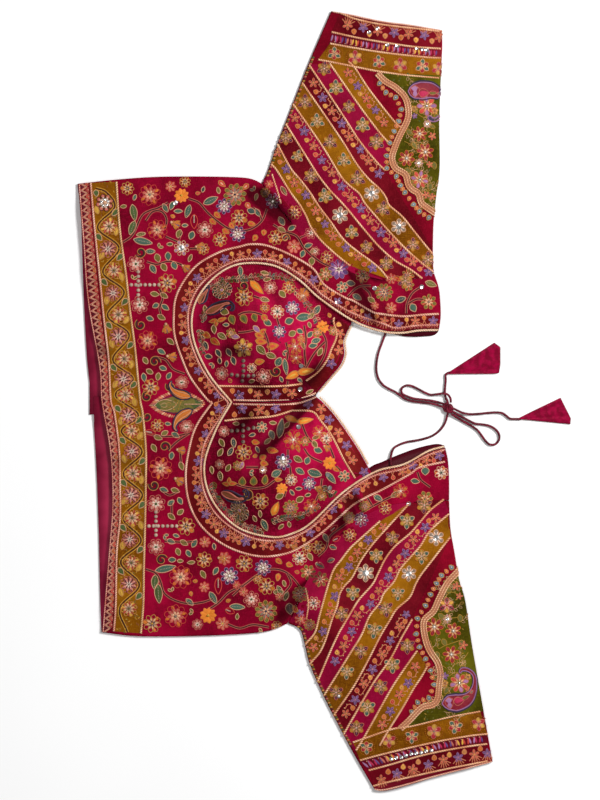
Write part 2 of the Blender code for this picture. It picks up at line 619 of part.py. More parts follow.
def sleeve(side, parent):
    """Short sleeve, a tube pressed flat and open at the head and at the cuff."""
    down = np.linspace(0.0, 1.0, SLEEVE_ROWS)
    plan = sleeve_plan(side, ARMHOLE_SHARES, down)
    rings = []
    for share, row in zip(down, plan):
        change = float(ease(share / SLEEVE_FOLD_OVER))
        fold = SLEEVE_FOLD_HEAD + (SLEEVE_FOLD - SLEEVE_FOLD_HEAD) * change
        rings.append(sleeve_ring(row, fold))
    faces = grid_faces(len(rings), len(rings[0]), around=True)
    mesh = mesh_from("sleeve_" + side, np.vstack(rings), faces)
    outward = bmesh.new()
    outward.from_mesh(mesh)
    bmesh.ops.recalc_face_normals(outward, faces=outward.faces)
    lowest = min(outward.faces, key=lambda face: face.calc_center_median().z)
    if lowest.normal.z > 0.0:
        bmesh.ops.reverse_faces(outward, faces=outward.faces)
    outward.to_mesh(mesh)
    outward.free()
    return thicken(add_object("sleeve_" + side, mesh, parent, "sleeve"), -1.0)


# ---------------------------------------------------------------- piping
def neck_piping(parent):
    """Corded piping on the edge of the front neckline."""
    line = offset_line(front_stations()[0], PIPING_RADIUS)
    height = layer_height(line) + PIPING_RADIUS
    return add_tube("neck_piping", with_height(line, height), PIPING_RADIUS, parent, "piping")


def cup_piping(side, parent):
    """Thin corded piping on the free edge of a cup, from the centre to the strap."""
    lobe, _, seam, top = cup_edges(side)
    height = cup_edge_heights(lobe, seam, top)[2]
    inward = 1.0 if side == "right" else -1.0
    line = offset_line(smooth_line(CUP_TOP[side]), CUP_PIPING_RADIUS * inward)[::-1]
    line = at_shares(line, np.linspace(CUP_PIPING_START, CUP_PIPING_END[side], CUP_TOP_STEPS + 1))
    run = np.linspace(0.0, 1.0, len(top))
    level = np.interp(np.linspace(CUP_PIPING_START, CUP_PIPING_END[side], len(line)), run, height)
    level = level - WALL / 2.0
    return add_tube("cup_piping_" + side, with_height(line, level), CUP_PIPING_RADIUS, parent, "piping")


# ---------------------------------------------------------------- strings
def dori(name, parent):
    """One stretch of the tie strings."""
    line = smooth_line(DORI_ROUTES[name])
    length = np.linalg.norm(np.diff(line, axis=0), axis=1).sum()
    count = max(3, round(length / DORI_SPACING) + 1)
    points = at_shares(line, np.linspace(0.0, 1.0, count))
    return add_tube(name, points, DORI_DIAMETER / 2.0, parent, "dori")


def dori_knot(parent):
    """Small knot that the bow's strands run into."""
    mesh = bpy.data.meshes.new("dori_knot")
    ball = bmesh.new()
    bmesh.ops.create_uvsphere(ball, u_segments=16, v_segments=10, radius=0.5)
    bmesh.ops.scale(ball, vec=Vector(KNOT_SIZE) * MM, verts=ball.verts)
    ball.to_mesh(mesh)
    ball.free()
    mesh.shade_smooth()
    knot = add_object("dori_knot", mesh, parent, "dori")
    knot.location = Vector(KNOT_CENTRE) * MM
    return knot


def tassel(name, parent):
    """Folded triangle of cloth on the end of a string."""
    curve = bpy.data.curves.new(name, "CURVE")
    curve.dimensions = "2D"
    curve.fill_mode = "BOTH"
    curve.extrude = TASSEL_THICKNESS / 2.0 * MM
    spline = curve.splines.new("POLY")
    outline = TASSELS[name]
    spline.points.add(len(outline) - 1)
    for target, (x, y) in zip(spline.points, outline):
        target.co = (x * MM, y * MM, 0.0, 1.0)
    spline.use_cyclic_u = True
    folded = add_object(name, curve, parent, "dori")
    folded.location.z = (TASSEL_LIFT + TASSEL_THICKNESS / 2.0) * MM
    return folded


# ---------------------------------------------------------------- the blouse
def build():
    for old in list(bpy.data.objects):
        bpy.data.objects.remove(old, do_unlink=True)
    collection = make_collection("choli_blouse")
    root = bpy.data.objects.new("choli_blouse", None)
    collection.objects.link(root)

    front_panel(root)
    neck_piping(root)
    for side in ("right", "left"):
        back_half(side, root)
        bust_cup(side, root)
        cup_piping(side, root)
        sleeve(side, root)
    for name in DORI_ROUTES:
        dori(name, root)
    dori_knot(root)
    for name in TASSELS:
        tassel(name, root)
    bpy.context.view_layer.update()


build()
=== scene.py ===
"""Choli blouse, dressed: cloth, embroidery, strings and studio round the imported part.

Lengths are millimetres until a mesh is made. Outlines use the part's own x and y.
Embroidery tables use pattern coordinates: u runs from the hem to the neck and v
from the tip of the right sleeve to the tip of the left one, both in millimetres.
"""

import math

import bmesh
import bpy
import numpy as np
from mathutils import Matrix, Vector
from mathutils.bvhtree import BVHTree


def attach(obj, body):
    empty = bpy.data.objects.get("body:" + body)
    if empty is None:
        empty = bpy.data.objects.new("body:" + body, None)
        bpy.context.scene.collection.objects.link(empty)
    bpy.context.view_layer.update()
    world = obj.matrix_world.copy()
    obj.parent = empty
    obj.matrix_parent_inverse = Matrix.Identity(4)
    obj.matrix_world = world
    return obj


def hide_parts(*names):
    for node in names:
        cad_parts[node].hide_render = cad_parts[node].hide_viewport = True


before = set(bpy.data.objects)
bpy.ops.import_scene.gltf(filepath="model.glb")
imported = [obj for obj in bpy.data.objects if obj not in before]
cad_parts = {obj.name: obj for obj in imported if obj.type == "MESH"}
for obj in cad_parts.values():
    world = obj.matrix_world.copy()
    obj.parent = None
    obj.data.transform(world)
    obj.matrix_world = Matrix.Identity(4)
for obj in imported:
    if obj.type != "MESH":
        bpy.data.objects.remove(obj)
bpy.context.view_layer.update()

MM = 0.001
SIDES = ("right", "left")
OUTWARD = {"right": 1.0, "left": -1.0}         # sign of y on each side
PATTERN_ORIGIN = np.array((-283.5, 400.5))     # part coordinates of u = 0, v = 0

# ---------------------------------------------------------------- cloth sizes
WALL = 1.2              # thickness of the lined, embroidered cloth
SEAM_GAP = 0.3          # left between two pieces that are sewn together
PLACKET_LAP = 18.0      # the back halves lap this far at the centre
PLACKET_Y = -5.0        # middle of that lap
PLACKET_RAMP = 14.0     # the upper half climbs onto the lower one over this
FRONT_MARGIN = 7.0      # first row of the front panel, from its neck edge
FRONT_ROWS = (0.14, 0.3, 0.46, 0.62, 0.78, 0.9, 1.0)    # the others, as shares of the rest
BACK_ROWS = (0.25, 0.5, 0.75, 1.0)
SLEEVE_ROWS = 13        # rings from a sleeve's head to its cuff
SLEEVE_GAP = 0.4        # left between a sleeve's head and the armhole
CUP_GAP = 0.5           # left between the two cups
CUP_TUCK = 8.0          # the cups reach this far under the front panel
CUP_TUCK_FADE = 2.5     # number of stations over which that narrows at the notch
CUP_TURN = 3.0          # narrow flat margin round a cup's free edge
CUP_CORNER = (-3.25, -1.0)      # where the cups' cloth ends, from the top of their seam
CUP_RINGS = (0.11, 0.22, 0.34, 0.47, 0.6, 0.74, 0.88)   # shares of the way to the crown
CUP_SEAM_STEPS = 9
CUP_TOP_STEPS = 11
FINER = 4               # mesh steps here for each step of the part's own cloth

SEAM_HEIGHT = 1.5       # underside of the front where it meets the back
LAYER_HEIGHT = 2.6      # extra height of the front away from those seams
DARKEST_AT = 1.5        # a crease of this depth gets the full painted shade
WAVE_HEIGHT = 0.45      # unevenness of the upper layer, in broad waves
WAVE_SIZE = 34.0
RIPPLE_HEIGHT = 0.25    # and in smaller ones
RIPPLE_SIZE = 13.0
FOLD_REACH = 9.0        # the small creases fade this close to a closed edge
LAYER_REACH = 30.0      # distance from a seam over which it gains that height
LOBE_LIFT = 3.0         # the front rides up round the two cups
LOBE_REACH = 45.0       # how far that lift spreads from the neckline
LOBE_START = 95.0       # x where the lift fades out on the shoulder straps
LOBE_FADE = 70.0        # length of that fade
SHOULDER_REACH = 30.0   # the panels bow out to the shoulder fold over this
CUP_DROP = 0.5          # a cup's outer face lies this far under the front panel
CUP_DIP = 3.0           # trough beside the neckline, before the cup swells
CUP_DIP_AT = 0.11       # share of the way to the crown where that trough lies
CUP_PEAK = 26.0         # height of a cup's crown above the surface
CUP_SWELL = 58.0        # distance from each edge at which a cup reaches the peak
SEAM_CROWN = 8.0        # height of the seam between the cups, half way along
TOP_EDGE_HEIGHT = 5.5   # height of a cup's free edge
SLEEVE_FOLD_HEAD = 1.35     # half the thickness of a sleeve's folded edge, at the head
SLEEVE_FOLD = 1.5           # and further down
SLEEVE_FOLD_OVER = 0.25     # share of the sleeve over which it changes
PIPING_RADIUS = 1.15    # slimmer than the part's own solid
CUP_PIPING_RADIUS = 1.0
CUP_PIPING_START = 0.025                        # shares of the free edge
CUP_PIPING_END = {"right": 0.86, "left": 0.87}  # that its piping covers

# ---------------------------------------------------------------- the outlines
NECK = {
    "right": ((155.0, 69.3), (135.0, 68.7), (117.0, 66.3), (97.0, 68.2), (70.0, 78.0),
              (36.0, 100.5), (14.0, 120.0), (-12.0, 134.0), (-46.0, 134.5), (-71.0, 119.5),
              (-88.0, 94.0), (-89.0, 63.0), (-74.0, 28.0), (-50.5, -1.5)),
    "left": ((160.5, -44.8), (144.0, -49.5), (120.0, -62.5), (91.5, -70.0), (59.0, -90.5),
             (27.0, -121.0), (8.5, -131.5), (-12.0, -135.0), (-45.0, -125.5), (-70.0, -99.0),
             (-78.0, -66.0), (-67.0, -31.0), (-50.5, -1.5)),
}
SHOULDER = {
    "right": ((155.0, 69.3), (157.0, 84.0), (156.5, 101.0), (155.0, 113.0), (150.5, 127.0)),
    "left": ((160.5, -44.8), (164.0, -60.0), (165.3, -80.0), (165.5, -99.5)),
}
ARMHOLE = {
    "right": ((150.5, 127.0), (125.0, 120.5), (96.5, 120.5), (56.5, 132.5), (26.5, 155.5),
              (1.5, 185.5), (-22.0, 216.5)),
    "left": ((165.5, -99.5), (106.5, -104.5), (71.5, -121.5), (46.5, -144.5), (26.5, -174.5),
             (15.0, -200.0), (4.0, -222.5)),
}
SIDE = {
    "right": ((-22.0, 216.5), (-28.5, 220.0), (-38.0, 222.5), (-70.0, 223.7), (-125.0, 223.5),
              (-167.0, 220.7), (-205.5, 216.5)),
    "left": ((4.0, -222.5), (-5.0, -227.0), (-22.0, -231.5), (-60.0, -234.3), (-110.0, -235.7),
             (-150.0, -235.3), (-181.5, -231.5)),
}
FRONT_HEM = {
    "right": ((-205.5, 216.5), (-200.0, 157.5), (-195.5, 98.5), (-184.0, 32.5), (-182.0, 0.0)),
    "left": ((-181.5, -231.5), (-174.5, -151.5), (-171.0, -99.5), (-173.5, -50.0), (-182.0, 0.0)),
}
BACK_NECK = {
    "right": ((155.0, 69.3), (152.0, 66.0), (146.0, 64.5), (128.0, 63.6), (116.0, 65.0),
              (101.0, 69.6), (75.0, 84.0), (30.0, 106.0), (-30.0, 112.0), (-74.0, 86.0),
              (-92.0, 40.0), (-95.0, -5.0)),
    "left": ((160.5, -44.8), (152.0, -43.5), (134.5, -47.3), (116.5, -53.6), (98.5, -61.3),
             (87.0, -66.5), (70.0, -82.0), (30.0, -106.0), (-30.0, -112.0), (-72.0, -92.0),
             (-91.0, -48.0), (-95.0, -5.0)),
}
BACK_HEM = {
    "right": ((-206.0, 216.5), (-202.5, 182.5), (-200.0, 110.0), (-196.5, 42.5), (-191.0, -5.0)),
    "left": ((-182.0, -231.5), (-183.5, -190.0), (-185.0, -125.0), (-187.5, -60.0), (-191.0, -5.0)),
}
SLEEVE_INNER = {
    "right": ((-22.0, 216.5), (-15.8, 230.0), (-6.5, 256.5), (7.5, 292.5), (26.5, 340.5),
              (47.5, 389.0)),
    "left": ((4.0, -222.5), (16.0, -228.5), (20.5, -242.0), (26.0, -263.5), (42.0, -299.5),
             (67.0, -347.5), (91.0, -389.0)),
}
SLEEVE_OUTER = {
    "right": ((150.5, 127.0), (149.5, 140.0), (150.0, 175.0), (152.5, 203.0), (156.0, 232.0),
              (155.7, 280.0), (157.3, 325.0), (158.8, 355.0), (158.0, 370.0)),
    "left": ((165.5, -99.5), (166.8, -127.0), (171.0, -152.0), (175.5, -179.0), (181.5, -199.5),
             (188.0, -242.0), (196.0, -288.0), (209.0, -361.0)),
}
CUFF = {
    "right": ((47.5, 389.0), (66.5, 385.5), (98.5, 378.7), (122.5, 375.7), (158.0, 370.0)),
    "left": ((91.0, -389.0), (101.0, -390.0), (124.5, -384.0), (148.5, -376.7), (180.5, -368.3),
             (209.0, -361.0)),
}
CUP_TOP = {
    "right": ((75.0, 85.0), (70.0, 76.0), (62.5, 60.0), (63.2, 46.5), (59.0, 34.5),
              (49.0, 22.5), (35.0, 6.0)),
    "left": ((92.0, -74.0), (87.0, -66.0), (74.0, -43.5), (53.0, -13.5), (35.0, 6.0)),
}
CUP_CROWN = {"right": (-8.0, 64.0), "left": (-2.0, -64.0)}
CENTRE_SEAM = ((-50.5, -1.5), (-20.0, -1.0), (10.0, 0.5), (35.0, 6.0))
ARMHOLE_SHARES = np.concatenate([(0.0, 0.022), np.linspace(0.09, 0.91, 10), (0.978, 1.0)])

#                  seam        neck share at its end   steps
FRONT_SPANS = (("armhole",     0.47,                   None),
               ("side",        0.59,                      9),
               ("hem",         1.00,                     16))
BACK_SPANS = (("armhole",      0.42,                   None),
              ("side",         0.68,                      6),
              ("hem",          1.00,                      8))

# Folds of the upper layer: ridges (+) and troughs (-) along a line that fade at its ends.
#          x0      y0      x1      y1     width   height
FOLDS = ((-36.0,  213.0,    6.0,   181.0,   7.0,  -2.2),
         (-30.0,  196.0,   22.0,   158.0,   8.0,   1.8),
         (-60.0,  205.0,  -24.0,   170.0,  10.0,   1.6),
         ( 58.0,  143.0,   84.0,   128.0,   5.0,   1.6),
         ( 78.0,  124.0,  111.0,   106.0,   5.0,  -1.5),
         ( 60.0,  112.0,   92.0,    88.0,   6.0,   1.4),
         (  6.0, -180.0,   26.0,  -238.0,   7.0,  -1.8),
         (-12.0, -172.0,    8.0,  -216.0,   9.0,   1.8),
         ( 66.0,  -84.0,   96.0,  -118.0,   7.0,   1.5),
         (-150.0, 150.0,  -96.0,   176.0,  14.0,   1.5),
         (-150.0, 60.0,  -110.0,    84.0,  12.0,   1.3),
         (-140.0, -70.0, -104.0,   -98.0,  12.0,   1.4),
         (-128.0, -190.0, -60.0,  -206.0,  14.0,   1.5),
         ( 30.0,  214.0,  100.0,   262.0,  12.0,   1.4),
         ( 40.0,  300.0,  120.0,   318.0,  16.0,   1.2),
         ( 50.0, -250.0,  120.0,  -214.0,  12.0,   1.4),
         ( 90.0, -330.0,  170.0,  -290.0,  16.0,   1.2))
CUP_FOLDS = {
    "right": ((-50.0,  24.0,  -12.0,    8.0,   5.0,  -2.0),
              (-66.0,  52.0,  -28.0,   44.0,   6.0,  -1.8),
              ( 18.0,  12.0,   40.0,   38.0,   6.0,  -2.4),
              (-40.0, 100.0,   10.0,   96.0,   9.0,   2.0)),
    "left": (( 32.0,   8.0,  -28.0,  -58.0,   5.0,  -5.0),
             ( -6.0, -10.0,  -36.0,  -36.0,   5.0,   2.6),
             (-28.0,  -8.0,  -52.0,  -34.0,   5.0,  -2.4),
             ( 34.0, -16.0,   10.0,  -60.0,   9.0,   2.2)),
}
# Creases and ridges narrower than the part's own mesh follows, in the same form.
FINE_FOLDS = ((-24.0, 214.0,   10.0,  172.0,   3.5,  -1.6),
              ( -4.0, 196.0,   24.0,  168.0,   3.0,   1.2),
              ( 64.0, 136.0,   90.0,  112.0,   3.0,  -1.4),
              ( 72.0, 142.0,  100.0,  126.0,   3.0,   1.2),
              ( 90.0, 120.0,  122.0,  100.0,   4.0,   1.0),
              ( 98.0, 100.0,  104.0,   80.0,   4.0,  -0.8),
              ( 20.0, -212.0,  36.0, -252.0,   3.5,  -1.2),
              ( -6.0, -196.0,   6.0, -222.0,   3.0,   1.0),
              ( 60.0, -100.0,  84.0, -130.0,   3.5,  -1.2),
              ( 84.0,  -92.0, 104.0, -106.0,   3.5,   1.0),
              (-196.0, 60.0, -168.0,   40.0,   7.0,  -1.0),
              (-184.0, -10.0, -150.0, -26.0,   7.0,   1.0),
              (-176.0, -60.0, -146.0, -64.0,   8.0,  -0.8),
              (-190.0, 150.0, -150.0, 140.0,   9.0,   0.8),
              (-30.0, 221.0,   18.0, 183.0,   5.0,   8.0),
              (-38.0, 211.0,   12.0, 175.0,   6.5,  -3.4),
              (  2.0, 176.0,   30.0, 150.0,   4.0,   2.0),
              ( 60.0, 136.0,   80.0, 112.0,   3.5,   2.4),
              ( 78.0, 134.0,  100.0, 118.0,   4.0,   3.6),
              ( 60.0, 132.0,   92.0, 104.0,   3.0,  -2.0),
              (-24.0, -196.0,  38.0, -168.0,   4.5,   2.6),
              (-14.0, -206.0,  30.0, -178.0,   3.5,  -1.6),
              ( -6.0, -218.0,  12.0, -190.0,   4.0,   5.0),
              ( 12.0, -190.0,  22.0, -240.0,   3.5,   2.4),
              ( 54.0,  -92.0,  68.0, -142.0,   4.5,   5.5),
              ( 72.0,  -82.0,  84.0, -116.0,   4.0,   4.0),
              ( 40.0,  -92.0,  84.0, -104.0,   4.0,  -1.4),
              ( 46.0,  148.0, 106.0,  116.0,   4.5,  -2.6),
              ( 66.0,  124.0,  94.0,   72.0,   5.5,  -2.6),
              (-10.0, -226.0,  26.0, -184.0,   5.5,  -3.0),
              ( 18.0, -192.0,  48.0, -154.0,   5.0,  -2.6),
              ( 28.0, -154.0,  74.0, -104.0,   5.0,  -2.6))

FRONT_CREASES = FINE_FOLDS + FOLDS[:1]          # those whose troughs get painted shade

# ---------------------------------------------------------------- routes of the strings
DORI_DIAMETER = 2.4
KNOT_CENTRE = (164.5, -7.5, 3.4)

# Route of each string: x, y and the height of its centre line.
DORI_ROUTES = {
    "dori_right_lead": ((102.2, 72.5, 2.6), (101.6, 66.5, 2.3), (98.0, 56.5, 1.4),
                        (94.8, 47.5, 1.4), (93.1, 38.5, 1.4), (92.9, 29.5, 1.4),
                        (95.0, 21.5, 1.4), (99.5, 15.5, 1.4), (105.5, 11.6, 1.4),
                        (111.5, 8.6, 1.4), (116.5, 5.2, 1.4), (122.0, 1.3, 1.4),
                        (129.5, -0.9, 1.4), (137.5, -1.9, 1.4), (146.5, -2.9, 1.5),
                        (153.5, -4.6, 2.2), (159.7, -6.5, 3.2)),
    "dori_right_tail": ((169.5, -8.1, 4.2), (174.5, -10.4, 4.3), (179.5, -12.5, 3.2),
                        (186.5, -13.7, 1.6), (195.5, -13.3, 1.4), (204.5, -12.4, 1.4),
                        (212.0, -11.9, 1.4), (218.5, -12.6, 1.4), (222.8, -15.4, 1.4),
                        (226.4, -18.2, 1.4), (232.7, -18.5, 1.4)),
    "dori_left_lead": ((107.4, -64.5, 2.6), (107.2, -56.5, 2.4), (109.6, -48.6, 1.4),
                       (114.5, -44.8, 1.4), (123.0, -41.6, 1.4), (136.5, -39.2, 1.4),
                       (148.5, -35.4, 1.4), (156.5, -29.5, 1.4), (161.5, -22.0, 1.6),
                       (164.0, -13.1, 2.8)),
    "dori_left_tail": ((164.1, -1.7, 2.8), (162.2, 2.6, 1.8), (161.3, 7.0, 1.4),
                       (161.5, 13.5, 1.4), (162.1, 20.0, 1.4), (162.2, 26.0, 1.4)),
    "bow_loop_west": ((167.1, -2.1, 4.4), (166.6, 2.2, 4.6), (164.2, 5.7, 4.5),
                      (160.0, 7.0, 4.2), (153.5, 6.3, 2.6), (147.0, 5.7, 1.4),
                      (141.5, 7.8, 1.4), (134.5, 11.5, 1.4), (128.0, 14.5, 1.4),
                      (122.3, 14.9, 1.4), (118.0, 11.8, 1.4), (118.4, 7.2, 1.4),
                      (123.3, 4.3, 1.4), (130.5, 1.9, 1.4), (138.5, 0.9, 1.4),
                      (146.5, 0.0, 1.6), (154.0, -1.6, 2.6), (160.3, -3.6, 4.0)),
    "bow_loop_east": ((168.6, -10.6, 3.1), (174.5, -14.3, 1.5), (180.5, -17.5, 1.4),
                      (186.5, -20.8, 1.4), (192.0, -23.2, 1.4), (198.5, -23.9, 1.4),
                      (205.0, -25.1, 1.4), (211.0, -28.2, 1.4), (215.1, -33.1, 1.4),
                      (215.5, -39.0, 1.4), (212.0, -43.5, 1.4), (206.5, -44.1, 1.4),
                      (202.0, -40.5, 1.4), (198.0, -35.0, 1.4), (194.0, -29.9, 1.4),
                      (188.5, -25.9, 1.4), (182.0, -22.3, 1.4), (175.5, -18.6, 1.5),
                      (167.3, -13.3, 2.9)),
}

# Flat outlines of the folded cloth triangles on the strings' ends.
TASSEL_THICKNESS = 2.4
TASSEL_LIFT = 0.2
TASSELS = {
    "tassel_left": ((162.2, 26.4), (164.0, 28.6), (212.0, 58.7), (218.3, 54.0),
                    (218.3, 36.5), (216.9, 27.5), (209.5, 26.5)),
    "tassel_right": ((233.2, -17.0), (240.0, -16.4), (251.5, -11.4), (266.0, -3.4),
                     (277.7, 4.1), (288.7, -17.9), (288.2, -23.9), (241.3, -21.9),
                     (233.2, -20.0)),
}


# ---------------------------------------------------------------- plane curves
def plan(points):
    """Pattern points (u, v) as points (x, y) of the part."""
    points = np.atleast_2d(np.asarray(points, float))
    return np.column_stack([points[:, 0] + PATTERN_ORIGIN[0], PATTERN_ORIGIN[1] - points[:, 1]])


def pattern_of(line):
    """Points (x, y) of the part as pattern points (u, v)."""
    return np.column_stack([line[:, 0] - PATTERN_ORIGIN[0], PATTERN_ORIGIN[1] - line[:, 1]])


def smooth_line(points, steps=16):
    """Dense polyline on the smooth curve that runs through all the points."""
    p = np.asarray(points, float)
    if len(p) == 2:
        return p[0] + (p[1] - p[0]) * np.linspace(0.0, 1.0, steps + 1)[:, None]
    ends = np.vstack([2.0 * p[0] - p[1], p, 2.0 * p[-1] - p[-2]])
    parts = []
    for a, b, c, d in zip(ends, ends[1:], ends[2:], ends[3:]):
        t = np.linspace(0.0, 1.0, steps, endpoint=False)[:, None]
        parts.append(0.5 * (2.0 * b + (c - a) * t + (2.0 * a - 5.0 * b + 4.0 * c - d) * t ** 2
                            + (3.0 * b - a - 3.0 * c + d) * t ** 3))
    return np.vstack(parts + [p[-1:]])


def run_of(line):
    """Distance along a polyline at each of its points."""
    return np.concatenate([[0.0], np.cumsum(np.linalg.norm(np.diff(line, axis=0), axis=1))])


def at_shares(line, shares):
    """Points of a polyline at the given shares of its length."""
    run = run_of(line)
    return np.column_stack([np.interp(np.asarray(shares) * run[-1], run, line[:, k])
                            for k in range(line.shape[1])])


def spaced(line, step):
    """Points of a polyline about one step apart."""
    count = max(2, int(round(run_of(line)[-1] / step)) + 1)
    return at_shares(line, np.linspace(0.0, 1.0, count))


def denser(shares, times):
    """The same run of shares with steps in between."""
    shares = np.asarray(shares, float)
    where = np.linspace(0.0, len(shares) - 1.0, (len(shares) - 1) * times + 1)
    return np.interp(where, np.arange(len(shares)), shares)


def denser_line(line, times):
    """The same line with more points on its straight pieces."""
    return np.column_stack([denser(line[:, k], times) for k in range(line.shape[1])])


def unit(vectors):
    return vectors / np.maximum(np.linalg.norm(vectors, axis=-1, keepdims=True), 1e-9)


def left_normals(line):
    along = unit(np.gradient(line, axis=0))
    return np.column_stack([-along[:, 1], along[:, 0]])


def offset_line(line, distance):
    """A plane polyline moved sideways to its right, with mitred corners."""
    along = unit(np.diff(line, axis=0))
    normals = np.column_stack([along[:, 1], -along[:, 0]])
    before = np.vstack([normals[:1], normals])
    after = np.vstack([normals, normals[-1:]])
    mitre = unit(before + after)
    return line + mitre * distance / np.maximum((mitre * before).sum(1), 0.4)[:, None]


def distance_to(points, line):
    """Shortest plane distance from each point to a polyline."""
    a = line[:-1]
    d = line[1:] - a
    length = np.maximum((d ** 2).sum(1), 1e-9)
    nearest = np.empty(len(points))
    for first in range(0, len(points), 4000):
        some = points[first:first + 4000, None]
        t = np.clip(((some - a) * d).sum(2) / length, 0.0, 1.0)
        nearest[first:first + 4000] = np.linalg.norm(some - (a + d * t[..., None]), axis=2).min(1)
    return nearest


def closed_run(outline):
    return np.vstack([outline, outline[:1]])


def inside(point, hull):
    """True if a plane point lies within a closed outline."""
    x, y = point
    crossed = False
    for (x0, y0), (x1, y1) in zip(hull[:-1], hull[1:]):
        if (y0 > y) != (y1 > y) and x < (x1 - x0) * (y - y0) / (y1 - y0) + x0:
            crossed = not crossed
    return crossed


def ease(x):
    x = np.clip(x, 0.0, 1.0)
    return x * x * (3.0 - 2.0 * x)


def soft_noise(points, size, seed):
    """Smooth random field between -1 and 1 whose lumps are about one size wide."""
    cells = points / size
    low = np.floor(cells).astype(int)
    share = ease(cells - low)
    total = np.zeros(len(points))
    for dx in (0, 1):
        for dy in (0, 1):
            mixed = (low[:, 0] + dx) * 374761393 + (low[:, 1] + dy) * 668265263 + seed * 974711
            mixed = (mixed ^ (mixed >> 13)) * 1274126177
            value = ((mixed ^ (mixed >> 16)) & 0xFFFF) / 32767.5 - 1.0
            weight_x = share[:, 0] if dx else 1.0 - share[:, 0]
            weight_y = share[:, 1] if dy else 1.0 - share[:, 1]
            total += value * weight_x * weight_y
    return total


# ---------------------------------------------------------------- cloth heights
CLOSED_EDGES = [np.vstack([smooth_line(SIDE[side])[::-1], smooth_line(SLEEVE_INNER[side])[1:]])
                for side in SIDES]
CLOSED_EDGES += [np.vstack([smooth_line(SHOULDER[side]), smooth_line(SLEEVE_OUTER[side])[1:]])
                 for side in SIDES]
NECKLINE = np.vstack([smooth_line(NECK["right"]), smooth_line(NECK["left"])[::-1][1:]])


def fold_height(points, folds):
    """Sum of the ridges and troughs of a fold table."""
    total = np.zeros(len(points))
    for x0, y0, x1, y1, width, height in folds:
        start = np.array((x0, y0))
        run = np.array((x1, y1)) - start
        t = ((points - start) @ run) / (run @ run)
        across = np.abs((points - start) @ np.array((-run[1], run[0]))) / np.linalg.norm(run)
        along = np.sin(math.pi * np.clip(t, 0.0, 1.0)) ** 0.7
        total += height * along * np.exp(-(across / width) ** 2)
    return total


def crease_depth(points, folds):
    """How deep in a crease each point lies, from 0 to 1: the share of painted shade it gets."""
    troughs = [fold for fold in folds if fold[5] < 0.0]
    return np.clip(-fold_height(np.asarray(points, float)[:, :2], troughs) / DARKEST_AT, 0.0, 1.0)


def paint_crease_shade(mesh, folds):
    """Store on the cloth how deep in a crease each point lies, for the painted shade that darkens its colour
    there.
    """
    places = np.empty(len(mesh.vertices) * 3)
    mesh.vertices.foreach_get("co", places)
    depths = crease_depth(places.reshape(-1, 3) / MM, folds)
    made = mesh.attributes.new("crease", "FLOAT", "POINT")
    made.data.foreach_set("value", depths.astype(np.float32))


def layer_height(points):
    """Underside of the upper layer, with its folds, creases and slight unevenness."""
    away = np.min([distance_to(points, edge) for edge in CLOSED_EDGES], axis=0)
    clear = ease(away / LAYER_REACH)
    near_cup = ease(1.0 - distance_to(points, NECKLINE) / LOBE_REACH)
    near_cup = near_cup * ease((LOBE_START - points[:, 0]) / LOBE_FADE)
    uneven = (WAVE_HEIGHT * soft_noise(points, WAVE_SIZE, 1)
              + RIPPLE_HEIGHT * soft_noise(points, RIPPLE_SIZE, 2))
    height = SEAM_HEIGHT + clear * (LAYER_HEIGHT + LOBE_LIFT * near_cup + fold_height(points, FOLDS)
                                    + uneven)
    creased = height + ease(away / FOLD_REACH) * fold_height(points, FINE_FOLDS)
    return np.maximum(creased, SEAM_HEIGHT)


def with_height(points, heights):
    return np.column_stack([points, heights])


# ---------------------------------------------------------------- making pieces
def new_piece(name, data, material, node=None):
    """An object on the blouse's body that stands for a CAD node where one is named."""
    made = bpy.data.objects.new(name, data)
    bpy.context.scene.collection.objects.link(made)
    for each in material if isinstance(material, (list, tuple)) else [material]:
        data.materials.append(each)
    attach(made, "root")
    if node:
        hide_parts(*((node,) if isinstance(node, str) else node))
    return made


def mesh_from(name, points, faces):
    mesh = bpy.data.meshes.new(name)
    mesh.from_pydata((np.asarray(points) * MM).tolist(), [], faces)
    mesh.validate()
    mesh.shade_smooth()
    return mesh


def grid_faces(rows, columns, around=False):
    faces = []
    for row in range(rows - 1):
        for column in range(columns if around else columns - 1):
            after = (column + 1) % columns
            faces.append((row * columns + column, (row + 1) * columns + column,
                          (row + 1) * columns + after, row * columns + after))
    return faces


def agree_faces(mesh, wrong=None):
    """Make all faces look the same way, and turn them over where that way is wrong."""
    shape = bmesh.new()
    shape.from_mesh(mesh)
    bmesh.ops.recalc_face_normals(shape, faces=shape.faces)
    if wrong and wrong(shape.faces):
        bmesh.ops.reverse_faces(shape, faces=shape.faces)
    shape.to_mesh(mesh)
    shape.free()


def looks_down(faces):
    return sum(face.normal.z * face.calc_area() for face in faces) < 0.0


def bottom_looks_up(faces):
    return min(faces, key=lambda face: face.calc_center_median().z).normal.z > 0.0


def write_uvs(mesh, coords):
    """Give each corner of a mesh the stitch coordinates of its vertex."""
    corners = np.empty(len(mesh.loops), np.int32)
    mesh.loops.foreach_get("vertex_index", corners)
    layer = mesh.uv_layers.new(name="UVMap")
    layer.data.foreach_set("uv", np.asarray(coords)[corners].astype(np.float32).ravel())


def thicken(cloth, offset, lining):
    """Give an open surface its wall, with another cloth on the side it faces away from."""
    cloth.data.materials.append(lining)
    solidify = cloth.modifiers.new("wall", "SOLIDIFY")
    solidify.thickness = WALL * MM
    solidify.offset = offset
    solidify.use_even_offset = False
    solidify.material_offset = 1
    solidify.material_offset_rim = 0
    bpy.context.view_layer.objects.active = cloth
    with bpy.context.temp_override(object=cloth, active_object=cloth):
        bpy.ops.object.modifier_apply(modifier=solidify.name)
    return cloth


